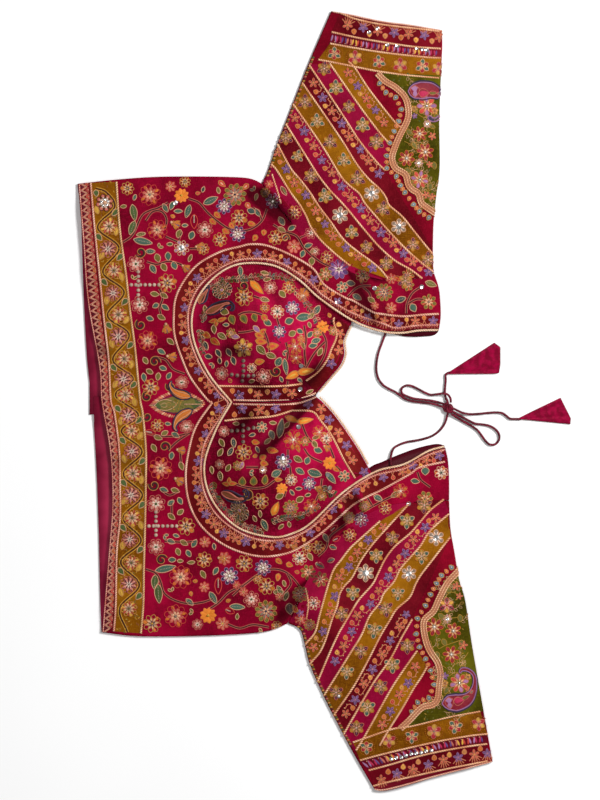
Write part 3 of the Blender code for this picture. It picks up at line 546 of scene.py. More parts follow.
def surface_of(*cloths):
    """Search tree of one or more finished cloths, in metres."""
    points, faces = [], []
    for cloth in cloths:
        first = len(points)
        points += [vertex.co[:] for vertex in cloth.data.vertices]
        faces += [tuple(first + k for k in face.vertices) for face in cloth.data.polygons]
    return BVHTree.FromPolygons(points, faces)


# ---------------------------------------------------------------- cloth pieces
def panel_stations(side, spans, neck, seams):
    """Facing points on the neckline and on the outer edge of one half panel."""
    inner_line = smooth_line(neck[side])
    inner, outer = [], []
    share = 0.0
    for seam, share_end, count in spans:
        steps = ARMHOLE_SHARES if count is None else np.linspace(0.0, 1.0, count + 1)
        steps = denser(steps, FINER)
        inner.append(at_shares(inner_line, share + (share_end - share) * steps)[:-1])
        outer.append(at_shares(smooth_line(seams[seam][side]), steps)[:-1])
        share = share_end
    last_seam = smooth_line(seams[spans[-1][0]][side])
    return np.vstack(inner + [inner_line[-1:]]), np.vstack(outer + [last_seam[-1:]])


def follow_shoulder(points):
    """Move points near a shoulder fold so that the last ones lie on its curve."""
    moved = points.copy()
    for side, away in OUTWARD.items():
        fold = smooth_line(SHOULDER[side])
        across = fold[:, 1] * away
        chord = np.interp(points[:, 1] * away, across[[0, -1]], fold[[0, -1], 0])
        curve = np.interp(points[:, 1] * away, across, fold[:, 0])
        near = ease(1.0 - (chord - points[:, 0]) / SHOULDER_REACH)
        near = near * (points[:, 1] * away >= across[0]) * (points[:, 1] * away <= across[-1])
        moved[:, 0] += (curve - chord) * near
    return moved


def rows_between(inner, outer, first_rows, shares):
    """Rows of points: set distances from the inner edge, then shares of the rest."""
    across = outer - inner
    width = np.linalg.norm(across, axis=1, keepdims=True)
    rows = [inner + across / width * distance for distance in first_rows]
    start = rows[-1]
    rows += [start + (outer - start) * share for share in shares]
    return [follow_shoulder(row) for row in rows]


def front_stations():
    """Facing points of the whole front, from the right shoulder to the left."""
    seams = {"armhole": ARMHOLE, "side": SIDE, "hem": FRONT_HEM}
    right = panel_stations("right", FRONT_SPANS, NECK, seams)
    left = panel_stations("left", FRONT_SPANS, NECK, seams)
    inner = np.vstack([right[0], left[0][::-1][1:]])
    outer = np.vstack([right[1], left[1][::-1][1:]])
    return inner, outer


def front_cloth(materials):
    inner, outer = front_stations()
    edge = offset_line(inner, 2.0 * PIPING_RADIUS + SEAM_GAP)
    inner, edge, outer = (denser_line(line, 3) for line in (inner, edge, outer))
    rows = rows_between(edge, outer, denser((0.0, FRONT_MARGIN), FINER),
                        denser((0.0,) + FRONT_ROWS, FINER)[1:])
    points = np.vstack([with_height(row, layer_height(row)) for row in rows])
    mesh = mesh_from("front_cloth", points, grid_faces(len(rows), len(inner)))
    agree_faces(mesh, looks_down)
    paint_crease_shade(mesh, FRONT_CREASES)
    cloth = new_piece("front_cloth", mesh, materials["silk"], "front_panel")
    return thicken(cloth, 1.0, materials["lining"])


def cut_before_lap(line, side):
    """The stretch of a line that runs from the shoulder or side to the centre lap."""
    away = OUTWARD[side]
    limit = PLACKET_LAP / 2.0 + PLACKET_RAMP
    reach = (line[:, 1] - PLACKET_Y) * away
    last = np.nonzero(reach > limit)[0][-1]
    step = (reach[last] - limit) / (reach[last] - reach[last + 1])
    return np.vstack([line[:last + 1], line[last] + (line[last + 1] - line[last]) * step])


def back_cloth(side, materials):
    """Half of the back, flat on the floor; the left half laps over the right."""
    neck = {side: cut_before_lap(smooth_line(BACK_NECK[side]), side)}
    hem = {side: cut_before_lap(smooth_line(BACK_HEM[side]), side)}
    inner, outer = panel_stations(side, BACK_SPANS, neck, {"armhole": ARMHOLE, "side": SIDE, "hem": hem})
    away = OUTWARD[side]
    lap_starts = PLACKET_Y + away * (PLACKET_LAP / 2.0 + SEAM_GAP)
    lap_ends = PLACKET_Y - away * PLACKET_LAP / 2.0
    for y in (lap_starts, lap_ends):
        inner = np.vstack([inner, (inner[-1][0], y)])
        outer = np.vstack([outer, (outer[-1][0], y)])
    rows = rows_between(inner, outer, (0.0,), denser((0.0,) + BACK_ROWS, 2)[1:])
    height = np.zeros(len(inner))
    if side == "left":
        height[-2:] = WALL + SEAM_GAP
    points = np.vstack([with_height(row, height) for row in rows])
    name = "back_cloth_" + side
    mesh = mesh_from(name, points, grid_faces(len(rows), len(inner)))
    agree_faces(mesh, looks_down)
    cloth = new_piece(name, mesh, materials["lining"], "back_" + side)
    return thicken(cloth, 1.0, materials["silk"])


def cup_edges(side):
    """A cup's neckline with its tuck, its centre seam, and its free edge."""
    inner, outer = front_stations()
    half = (len(inner) + 1) // 2
    neck = inner[:half] if side == "right" else inner[half - 1:][::-1]
    edge = outer[:half] if side == "right" else outer[half - 1:][::-1]
    below = neck[:, 0] < CUP_TOP[side][1][0] - CUP_TURN
    lobe = neck[below]
    taper = np.minimum(1.0, np.arange(len(lobe))[::-1] / (CUP_TUCK_FADE * FINER))
    tuck = unit(edge[below] - lobe) * (CUP_TUCK * taper)[:, None]
    inward = OUTWARD[side]
    piped = 2.0 * CUP_PIPING_RADIUS + SEAM_GAP
    top = offset_line(smooth_line(CUP_TOP[side]), piped * inward)[::-1]
    top = at_shares(top, np.linspace(0.0, 1.0, CUP_TOP_STEPS * FINER + 1))
    apart = np.array((0.0, inward * CUP_GAP / 2.0))
    seam = at_shares(smooth_line(CENTRE_SEAM), np.linspace(0.0, 1.0, CUP_SEAM_STEPS * FINER + 1))
    seam = seam[1:-1] + apart
    corner = np.add(CENTRE_SEAM[-1], CUP_CORNER) + apart
    near_corner = ease(1.0 - np.linalg.norm(top - top[0], axis=1) / 7.0)[:, None]
    top = top + (corner - top[0]) * near_corner
    return lobe, tuck, seam, top


def cup_edge_heights(lobe, seam, top):
    """Heights of a cup's outer face along its neckline, centre seam and free edge."""
    lobe_height = layer_height(lobe) - CUP_DROP
    along = np.linspace(0.0, 1.0, len(seam) + 2)[1:-1]
    seam_height = (lobe_height[-1] + (TOP_EDGE_HEIGHT - lobe_height[-1]) * along
                   + (SEAM_CROWN - TOP_EDGE_HEIGHT) * np.sin(math.pi * along))
    along = ease(np.linspace(0.0, 1.0, len(top)) * 2.0 - 1.0)
    last = layer_height(top[-1:])[0] - CUP_DROP - CUP_PIPING_RADIUS
    top_height = TOP_EDGE_HEIGHT + (last - TOP_EDGE_HEIGHT) * along
    return lobe_height, seam_height, top_height


def cup_relief(ring, side, edges):
    """Gathers along the neckline and the seam, and a slightly uneven swell."""
    from_lobe = distance_to(ring, edges[0])
    from_seam = distance_to(ring, edges[1])
    crown = np.array(CUP_CROWN[side])
    turn = np.arctan2(*(ring - crown).T[::-1])
    gathers = (np.sin(turn * 23.0 + 1.5 * np.sin(turn * 5.0)) * np.exp(-from_lobe / 13.0) * 0.8
               * ease(from_lobe / 5.0))
    puckers = np.sin(ring[:, 0] / 3.1 + np.sin(ring[:, 0] / 9.0) * 1.6)
    gathers += puckers * 0.55 * np.exp(-((from_seam - 12.0) / 11.0) ** 2)
    uneven = 1.1 * soft_noise(ring, 17.0, 7) * ease(from_lobe / 18.0) * ease(from_seam / 14.0)
    return gathers + uneven + fold_height(ring, CUP_FOLDS[side])


def cup_cloth(side, materials):
    """Domed cup: rings that shrink from its outline to its crown."""
    lobe, tuck, seam, top = cup_edges(side)
    edge = np.concatenate(cup_edge_heights(lobe, seam, top))
    outline = np.vstack([lobe, seam, top])
    crown = np.array(CUP_CROWN[side])
    on_lobe = np.arange(len(outline)) < len(lobe)
    tucked = np.vstack([lobe + tuck, seam, top])
    tucked_height = np.where(on_lobe, layer_height(tucked) - CUP_DROP, edge)
    turned = np.where(on_lobe[:, None], outline, outline + unit(crown - outline) * CUP_TURN)
    edges = (lobe, smooth_line(CENTRE_SEAM), smooth_line(CUP_TOP[side]))
    points = [with_height(tucked, tucked_height), with_height(turned, edge)]
    for share in denser((0.0,) + CUP_RINGS + (1.0,), FINER)[1:-1]:
        ring = turned + (crown - turned) * share
        swell = np.ones(len(ring))
        for line in edges:
            swell *= np.sin(math.pi / 2.0 * np.clip(distance_to(ring, line) / CUP_SWELL, 0.0, 1.0))
        dip = CUP_DIP * math.exp(-((share - CUP_DIP_AT) / CUP_DIP_AT) ** 2) * on_lobe
        height = edge * (1.0 - swell) + CUP_PEAK * swell - dip * ease(share / 0.04)
        settle = ease(share / 0.1) * ease((1.0 - share) / 0.12)
        points.append(with_height(ring, height + cup_relief(ring, side, edges) * settle))
    points.append(with_height(crown[None], [CUP_PEAK]))
    count = len(outline)
    rings = len(points) - 1
    faces = grid_faces(rings, count, around=True)
    last = (rings - 1) * count
    faces += [(last + k, rings * count, last + (k + 1) % count) for k in range(count)]
    name = "cup_cloth_" + side
    mesh = mesh_from(name, np.vstack(points), faces)
    agree_faces(mesh, looks_down)
    paint_crease_shade(mesh, CUP_FOLDS[side])
    cloth = new_piece(name, mesh, materials["cup_silk"], "cup_" + side)
    return thicken(cloth, -1.0, materials["lining"])


def sleeve_plan(side, across, down):
    """Plane points of a sleeve: a patch between armhole, cuff and its two folds."""
    head = at_shares(smooth_line(ARMHOLE[side])[::-1], across)
    away = np.array((0.0, OUTWARD[side]))
    normal = left_normals(head)
    normal *= np.sign(normal @ away)[:, None]
    head = head + normal * SLEEVE_GAP
    cuff = at_shares(smooth_line(CUFF[side]), across)
    inner = at_shares(smooth_line(SLEEVE_INNER[side]), down)
    outer = at_shares(smooth_line(SLEEVE_OUTER[side]), down)
    inner = inner + (head[0] - inner[0]) * (1.0 - down)[:, None]
    outer = outer + (head[-1] - outer[0]) * (1.0 - down)[:, None]
    s = across[None, :, None]
    t = down[:, None, None]
    patch = (1.0 - t) * head[None] + t * cuff[None] + (1.0 - s) * inner[:, None] + s * outer[:, None]
    corners = ((1.0 - s) * (1.0 - t) * head[0] + s * (1.0 - t) * head[-1]
               + (1.0 - s) * t * cuff[0] + s * t * cuff[-1])
    return patch - corners


def sleeve_ring(row, fold):
    """Flattened ring: under layer, inner fold, upper layer, outer fold."""
    inner, outer = row[0], row[-1]
    toward = unit(outer - inner)
    turns = np.radians((-60.0, -30.0, 0.0, 30.0, 60.0))
    lower = row[1:-1][::-1]
    upper = row[1:-1]
    inner_fold = [(*(inner + toward * fold * (1.0 - math.cos(turn))), fold * (1.0 + math.sin(turn)))
                  for turn in turns]
    outer_fold = [(*(outer - toward * fold * (1.0 - math.cos(turn))), fold * (1.0 + math.sin(turn)))
                  for turn in turns[::-1]]
    top = layer_height(upper) - SEAM_HEIGHT + 2.0 * fold
    return np.vstack([with_height(lower, np.zeros(len(lower))), inner_fold,
                      with_height(upper, top), outer_fold])


def sleeve_cloth(side, materials):
    """Short sleeve, a tube pressed flat and open at the head and at the cuff."""
    down = np.linspace(0.0, 1.0, (SLEEVE_ROWS - 1) * FINER + 1)
    across = denser(ARMHOLE_SHARES, FINER)
    rings = []
    for share, row in zip(down, sleeve_plan(side, across, down)):
        change = float(ease(share / SLEEVE_FOLD_OVER))
        rings.append(sleeve_ring(row, SLEEVE_FOLD_HEAD + (SLEEVE_FOLD - SLEEVE_FOLD_HEAD) * change))
    name = "sleeve_cloth_" + side
    faces = grid_faces(len(rings), len(rings[0]), around=True)
    mesh = mesh_from(name, np.vstack(rings), faces)
    agree_faces(mesh, bottom_looks_up)
    cloth = new_piece(name, mesh, materials["sleeve_silk"], "sleeve_" + side)
    return thicken(cloth, -1.0, materials["lining"])


# ---------------------------------------------------------------- materials
THREAD_CREASE_SHADE = (0.030, 0.004, 0.004)      # painted shade of threads down in a crease
CORD_CREASE_SHADE = (0.060, 0.010, 0.008)        # and of cords there
NECK_SHADE = (0.060, 0.001, 0.006)          # painted shade on the lining inside the neck
NECK_SHADE_FADE = 0.05                      # metres of x over which the lining turns to it


class Recipe:
    """One procedural material, built node by node."""

    def __init__(self, name, roughness=0.6, **sockets):
        self.material = bpy.data.materials.new(name)
        self.material.use_nodes = True
        self.tree = self.material.node_tree
        self.shader = self.tree.nodes["Principled BSDF"]
        self.shader.inputs["Roughness"].default_value = roughness
        for socket, value in sockets.items():
            self.shader.inputs[socket.replace("_", " ")].default_value = value
        self.place = None

    def wire(self, target, value):
        if hasattr(value, "is_linked"):
            self.tree.links.new(value, target)
        elif hasattr(value, "__len__") and len(value) == 3 and target.type == "RGBA":
            target.default_value = (*value, 1.0)
        else:
            target.default_value = value

    def node(self, kind, inputs=None, **settings):
        made = self.tree.nodes.new(kind)
        for setting, value in settings.items():
            setattr(made, setting, value)
        for socket, value in (inputs or {}).items():
            self.wire(made.inputs[socket], value)
        return made

    def where(self, stretch=(1.0, 1.0, 1.0), turn=0.0, uv=False):
        """Coordinates in metres, or the stitch coordinates of a UV map in millimetres."""
        if self.place is None:
            self.place = self.node("ShaderNodeTexCoord")
        start = self.place.outputs["UV" if uv else "Object"]
        turned = {"Vector": start, "Scale": stretch, "Rotation": (0.0, 0.0, turn)}
        return self.node("ShaderNodeMapping", turned).outputs[0]

    def along(self, axis):
        """One coordinate of the blouse's space, in metres."""
        return self.node("ShaderNodeSeparateXYZ", {0: self.where()}).outputs[axis]

    def noise(self, scale, detail, **place):
        return self.node("ShaderNodeTexNoise", {"Vector": self.where(**place), "Scale": scale,
                                                "Detail": detail, "Roughness": 0.5}).outputs[0]

    def wave(self, scale, distortion=0.0, direction="X", **place):
        return self.node("ShaderNodeTexWave", {"Vector": self.where(**place), "Scale": scale,
                                               "Distortion": distortion, "Detail": 2.0,
                                               "Detail Scale": 1.5},
                         bands_direction=direction, wave_profile="SIN").outputs["Fac"]

    def remap(self, value, low, high, to_low=0.0, to_high=1.0):
        return self.node("ShaderNodeMapRange", {"Value": value, "From Min": low, "From Max": high,
                                                "To Min": to_low, "To Max": to_high}).outputs[0]

    def maths(self, operation, a, b=0.0):
        return self.node("ShaderNodeMath", {0: a, 1: b}, operation=operation).outputs[0]

    def mix(self, share, a, b):
        return self.node("ShaderNodeMix", {0: share, 6: a, 7: b}, data_type="RGBA").outputs[2]

    def attribute(self, name):
        return self.node("ShaderNodeAttribute", attribute_name=name).outputs["Fac"]

    def finish(self, colour, height=None, depth=0.0002, strength=0.6, roughness=None):
        self.wire(self.shader.inputs["Base Color"], colour)
        if roughness is not None:
            self.wire(self.shader.inputs["Roughness"], roughness)
        if height is not None:
            bump = self.node("ShaderNodeBump", {"Height": height, "Strength": strength,
                                                "Distance": depth})
            self.wire(self.shader.inputs["Normal"], bump.outputs[0])
        return self.material


def silk(name, deep, plain, bright, slub=1.0, sheen_paint=0.6):
    """Raw silk: a slubbed plain weave whose colour drifts over the cloth, with painted sheen in broad
    patches and painted shade in its creases.
    """
    made = Recipe(name, Specular_IOR_Level=0.02, Sheen_Weight=0.02, Sheen_Roughness=0.4,
                  Sheen_Tint=(1.0, 0.0, 0.08, 1.0))
    crease_shade = tuple(0.3 * part for part in deep)
    drift = made.remap(made.noise(22.0, 3.0), 0.36, 0.66)
    warp = made.noise(260.0, 2.0, stretch=(1.0, 9.0, 1.0))
    weft = made.noise(260.0, 2.0, stretch=(9.0, 1.0, 1.0))
    slubs = made.maths("MAXIMUM", warp, weft)
    weave = made.maths("MULTIPLY", made.wave(900.0, 1.2), made.wave(900.0, 1.2, direction="Y"))
    # painted sheen: broad random patches lightened towards the bright colour stand in for highlights off the
    # silk
    painted_sheen = made.remap(made.noise(13.0, 2.0, stretch=(1.6, 1.0, 1.0)), 0.48, 0.72, 0.0, sheen_paint)
    colour = made.mix(drift, deep, plain)
    colour = made.mix(painted_sheen, colour, bright)
    colour = made.mix(made.remap(slubs, 0.54, 0.8, 0.0, 0.7), colour, bright)
    colour = made.mix(made.remap(made.noise(120.0, 2.0), 0.5, 0.8, 0.0, 0.4), colour, deep)
    # painted shade: the cloth darkens towards a near-black copy of its deep colour down in its creases
    colour = made.mix(made.remap(made.attribute("crease"), 0.1, 1.0, 0.0, 0.8), colour, crease_shade)
    height = made.maths("ADD", made.maths("MULTIPLY", slubs, slub), made.maths("MULTIPLY", weave, 0.5))
    return made.finish(colour, height, 0.0003, 0.55, made.remap(slubs, 0.4, 0.75, 0.62, 0.46))


def lining_silk(name, deep, plain):
    """Smooth lining satin with a fine diagonal grain, painted darker at the neck end as shade inside the
    neck.
    """
    made = Recipe(name, Specular_IOR_Level=0.12, Sheen_Weight=0.04, Sheen_Roughness=0.35)
    drift = made.remap(made.noise(30.0, 3.0), 0.35, 0.65)
    grain = made.wave(1100.0, 1.0, direction="DIAGONAL")
    colour = made.mix(drift, deep, plain)
    colour = made.mix(made.remap(grain, 0.0, 1.0, 0.0, 0.2), colour, deep)
    # painted shade: the lining darkens where x is above nought, the neck end, standing in for the shade
    # inside the neck
    colour = made.mix(made.remap(made.along(0), 0.0, NECK_SHADE_FADE), colour, NECK_SHADE)
    return made.finish(colour, grain, 0.00008, 0.4, made.remap(drift, 0.0, 1.0, 0.5, 0.4))


THREAD_GLOSS = 0.45     # roughness of satin stitches
THREAD_CONTRAST = 0.5   # how far their tone runs to dark and to light


def thread(name, colour):
    """Satin stitches: threads side by side, each petal or leaf a little different."""
    dark = tuple(c * (1.0 - 0.62 * THREAD_CONTRAST) for c in colour)
    light = tuple(min(1.0, c * (1.0 + 0.4 * THREAD_CONTRAST) + 0.03 * THREAD_CONTRAST)
                  for c in colour)
    made = Recipe(name, THREAD_GLOSS, Specular_IOR_Level=0.15)
    stitches = made.wave(0.32, 1.6, uv=True)
    drift = made.remap(made.noise(170.0, 2.0), 0.36, 0.66)
    shade = made.attribute("shade")
    tone = made.mix(shade, dark, light)
    tone = made.mix(made.remap(drift, 0.0, 1.0, 0.0, 0.35), tone, dark)
    glint = made.noise(620.0, 1.0)
    tone = made.mix(made.remap(glint, 0.55, 0.72, 0.0, THREAD_CONTRAST), tone, light)
    tone = made.mix(made.remap(glint, 0.45, 0.28, 0.0, 1.2 * THREAD_CONTRAST), tone, dark)
    tone = made.mix(made.remap(stitches, 0.0, 0.55, 0.5 * THREAD_CONTRAST, 0.0), tone, dark)
    # painted shade: threads darken down in the cloth's creases
    tone = made.mix(made.remap(made.attribute("crease"), 0.1, 1.0, 0.0, 0.72), tone, THREAD_CREASE_SHADE)
    rough = made.remap(stitches, 0.0, 1.0, THREAD_GLOSS + 0.15, THREAD_GLOSS)
    return made.finish(tone, stitches, 0.00018, 0.6, rough)


def twist(name, dark, plain, bright):
    """Couched two-ply cord: slanting strands, with painted shade in the gaps between them."""
    made = Recipe(name, 0.42, Specular_IOR_Level=0.2)
    strands = made.wave(0.17, 0.35, turn=math.radians(38.0), uv=True)
    drift = made.remap(made.noise(90.0, 2.0), 0.35, 0.65)
    colour = made.mix(drift, plain, bright)
    # painted shade in the gaps between the strands
    colour = made.mix(made.remap(strands, 0.0, 0.5, 0.85, 0.0), colour, dark)
    # painted shade: cords darken down in the cloth's creases
    colour = made.mix(made.remap(made.attribute("crease"), 0.1, 1.0, 0.0, 0.5), colour, CORD_CREASE_SHADE)
    return made.finish(colour, strands, 0.0005, 0.8, made.remap(strands, 0.0, 1.0, 0.6, 0.38))


def sparkle(name, colour, roughness, metal=1.0):
    """Sequin foil or glass bead."""
    made = Recipe(name, roughness, Metallic=metal, Specular_IOR_Level=0.6)
    dull = tuple(c * 0.75 for c in colour)
    cloud = made.remap(made.noise(420.0, 2.0), 0.4, 0.7)
    return made.finish(made.mix(cloud, colour, dull), cloud, 0.00005, 0.2,
                       made.remap(cloud, 0.0, 1.0, roughness, roughness + 0.12))


def string_satin(name, dark, plain, specular=0.2):
    """Rolled satin string: a fine slanting grain and soft wrinkles."""
    made = Recipe(name, 0.42, Specular_IOR_Level=specular, Sheen_Weight=0.03, Sheen_Roughness=0.35)
    grain = made.wave(0.9, 0.8, turn=math.radians(30.0), uv=True)
    wrinkles = made.noise(240.0, 2.0)
    colour = made.mix(made.remap(wrinkles, 0.38, 0.66), dark, plain)
    colour = made.mix(made.remap(grain, 0.0, 0.6, 0.35, 0.0), colour, dark)
    height = made.maths("ADD", made.maths("MULTIPLY", grain, 0.4), wrinkles)
    return made.finish(colour, height, 0.0004, 0.5, made.remap(wrinkles, 0.3, 0.7, 0.5, 0.36))


def make_materials():
    return {
        "silk": silk("maroon_silk", (0.110, 0.0005, 0.008), (0.235, 0.0006, 0.018),
                     (0.430, 0.003, 0.040)),
        "sleeve_silk": silk("sleeve_silk", (0.090, 0.0005, 0.005), (0.190, 0.001, 0.011),
                            (0.340, 0.003, 0.024)),
        "cup_silk": silk("cup_silk", (0.075, 0.0005, 0.006), (0.205, 0.001, 0.016),
                         (0.540, 0.005, 0.062), sheen_paint=0.9),
        "lining": lining_silk("lining_satin", (0.200, 0.005, 0.026), (0.400, 0.020, 0.068)),
        "dori": string_satin("dori_satin", (0.070, 0.001, 0.008), (0.190, 0.003, 0.022)),
        "tassel_silk": string_satin("tassel_silk", (0.170, 0.001, 0.018), (0.320, 0.002, 0.040), 0.05),
        "piping_gold": twist("piping_cord", (0.420, 0.160, 0.080), (0.760, 0.480, 0.290),
                             (0.900, 0.680, 0.470)),
        "floor": floor_paint(),
    }


def floor_paint():
    made = Recipe("studio_white", 0.85, Specular_IOR_Level=0.1)
    faint = made.remap(made.noise(3.0, 2.0), 0.3, 0.7)
    return made.finish(made.mix(faint, (0.90, 0.90, 0.90), (0.93, 0.93, 0.93)))


# ---------------------------------------------------------------- ropes
ROPE_SIDES = 10         # mesh points round a rope


def rope_rings(path, radius, lobes, pitch, bulge):
    """Rings of a tube along a path, whose outline is that of turning strands."""
    path = np.asarray(path, float)
    along = unit(np.gradient(path, axis=0))
    side = np.zeros_like(along)
    first = np.cross(along[0], (0.0, 0.0, 1.0))
    side[0] = unit(first)
    for k in range(1, len(path)):
        carried = side[k - 1] - along[k] * (side[k - 1] @ along[k])
        side[k] = carried / max(np.linalg.norm(carried), 1e-9)
    other = np.cross(along, side)
    run = run_of(path)
    turns = np.linspace(0.0, 2.0 * math.pi, ROPE_SIDES, endpoint=False)
    wound = turns[None] - run[:, None] * 2.0 * math.pi / pitch
    radii = radius * (1.0 - bulge * (1.0 - np.abs(np.cos(wound * lobes / 2.0))))
    points = (path[:, None] + side[:, None] * (np.cos(turns) * radii)[..., None]
              + other[:, None] * (np.sin(turns) * radii)[..., None])
    return points.reshape(-1, 3), run


def tube_faces(count, first=0):
    """Faces of a closed tube of so many rings, whose points start at a given number."""
    faces = [face[::-1] for face in grid_faces(count, ROPE_SIDES, around=True)]
    faces.append(tuple(range(ROPE_SIDES)))
    faces.append(tuple(range((count - 1) * ROPE_SIDES, count * ROPE_SIDES))[::-1])
    return [tuple(first + k for k in face) for face in faces]


def rope_coords(run, girth):
    """Stitch coordinates of a tube: how far along it, and how far round it."""
    return np.column_stack([np.repeat(run, ROPE_SIDES),
                            np.tile(np.arange(ROPE_SIDES) * girth, len(run))])


def rope(name, path, radius, material, **twisting):
    """Closed tube mesh along a path, with its length and turn as UVs in millimetres."""
    points, run = rope_rings(path, radius, **twisting)
    mesh = mesh_from(name, points, tube_faces(len(path)))
    girth = 2.0 * math.pi * radius / ROPE_SIDES
    write_uvs(mesh, rope_coords(run, girth))
    return new_piece(name, mesh, material)


# ---------------------------------------------------------------- needlework
SUNK = 0.06             # how far a stitch's edge is sunk into the cloth
ROUND = ((-1.0, -SUNK), (-0.62, 0.72), (0.0, 1.0), (0.62, 0.72), (1.0, -SUNK))
BAND_LIFT = 0.25        # thickness of the filling under a band's motifs
GROUND_STEP = 2.6       # between the mesh points of that filling
SATIN_SPREAD = 0.3      # how far the lightness of satin stitches varies
CORD_SPREAD = 0.15      # and of cords
BEAD_SPREAD = 0.35      # and of beads
PETAL_FULLNESS = 1.3    # over 1, a petal is widest towards its tip
CURL_WIDTH = 1.0        # half the width of its cord
RIDGE = ((-1.0, -SUNK), (0.0, 1.0), (1.0, -SUNK))
ABOVE = 0.2             # metres over the floor from which stitches are dropped on the cloth
BESIDE = 0.004          # height in metres from which a stitch past an edge seeks the cloth
STEEPEST = 0.25         # stitches over a cut edge, steeper than this, stand straight up


def turned(points, angle):
    """Plane points turned about the origin by an angle in degrees."""
    turn = math.radians(angle)
    return np.asarray(points, float) @ np.array(((math.cos(turn), math.sin(turn)),
                                                 (-math.sin(turn), math.cos(turn))))


def spoke(length, angle):
    """Step of a given length in the direction of an angle in degrees."""
    return turned([(length, 0.0)], angle)[0]


def ends_of(u, v, length, angle):
    """Base and tip of a shape that lies round its middle."""
    return turned([(-length / 2.0, 0.0), (length / 2.0, 0.0)], angle) + (u, v)


def heading(step):
    """Direction of a plane step, in degrees."""
    return math.degrees(math.atan2(step[1], step[0]))


def nearest_on(line, place):
    """The point of a dense line that lies nearest to a place."""
    return line[np.argmin(np.linalg.norm(line - place, axis=1))]


def blade(base, tip, width, fullness=1.0, steps=6):
    """Left side, middle and right side of a petal, a leaf or a drop."""
    base, tip = np.asarray(base, float), np.asarray(tip, float)
    along = tip - base
    aside = np.array((-along[1], along[0])) / max(np.linalg.norm(along), 1e-6)
    shares = np.linspace(0.0, 1.0, steps + 1)
    half = width / 2.0 * np.sin(math.pi * shares ** fullness) ** 0.8
    middle = base + along * shares[:, None]
    return middle - aside * half[:, None], middle, middle + aside * half[:, None]


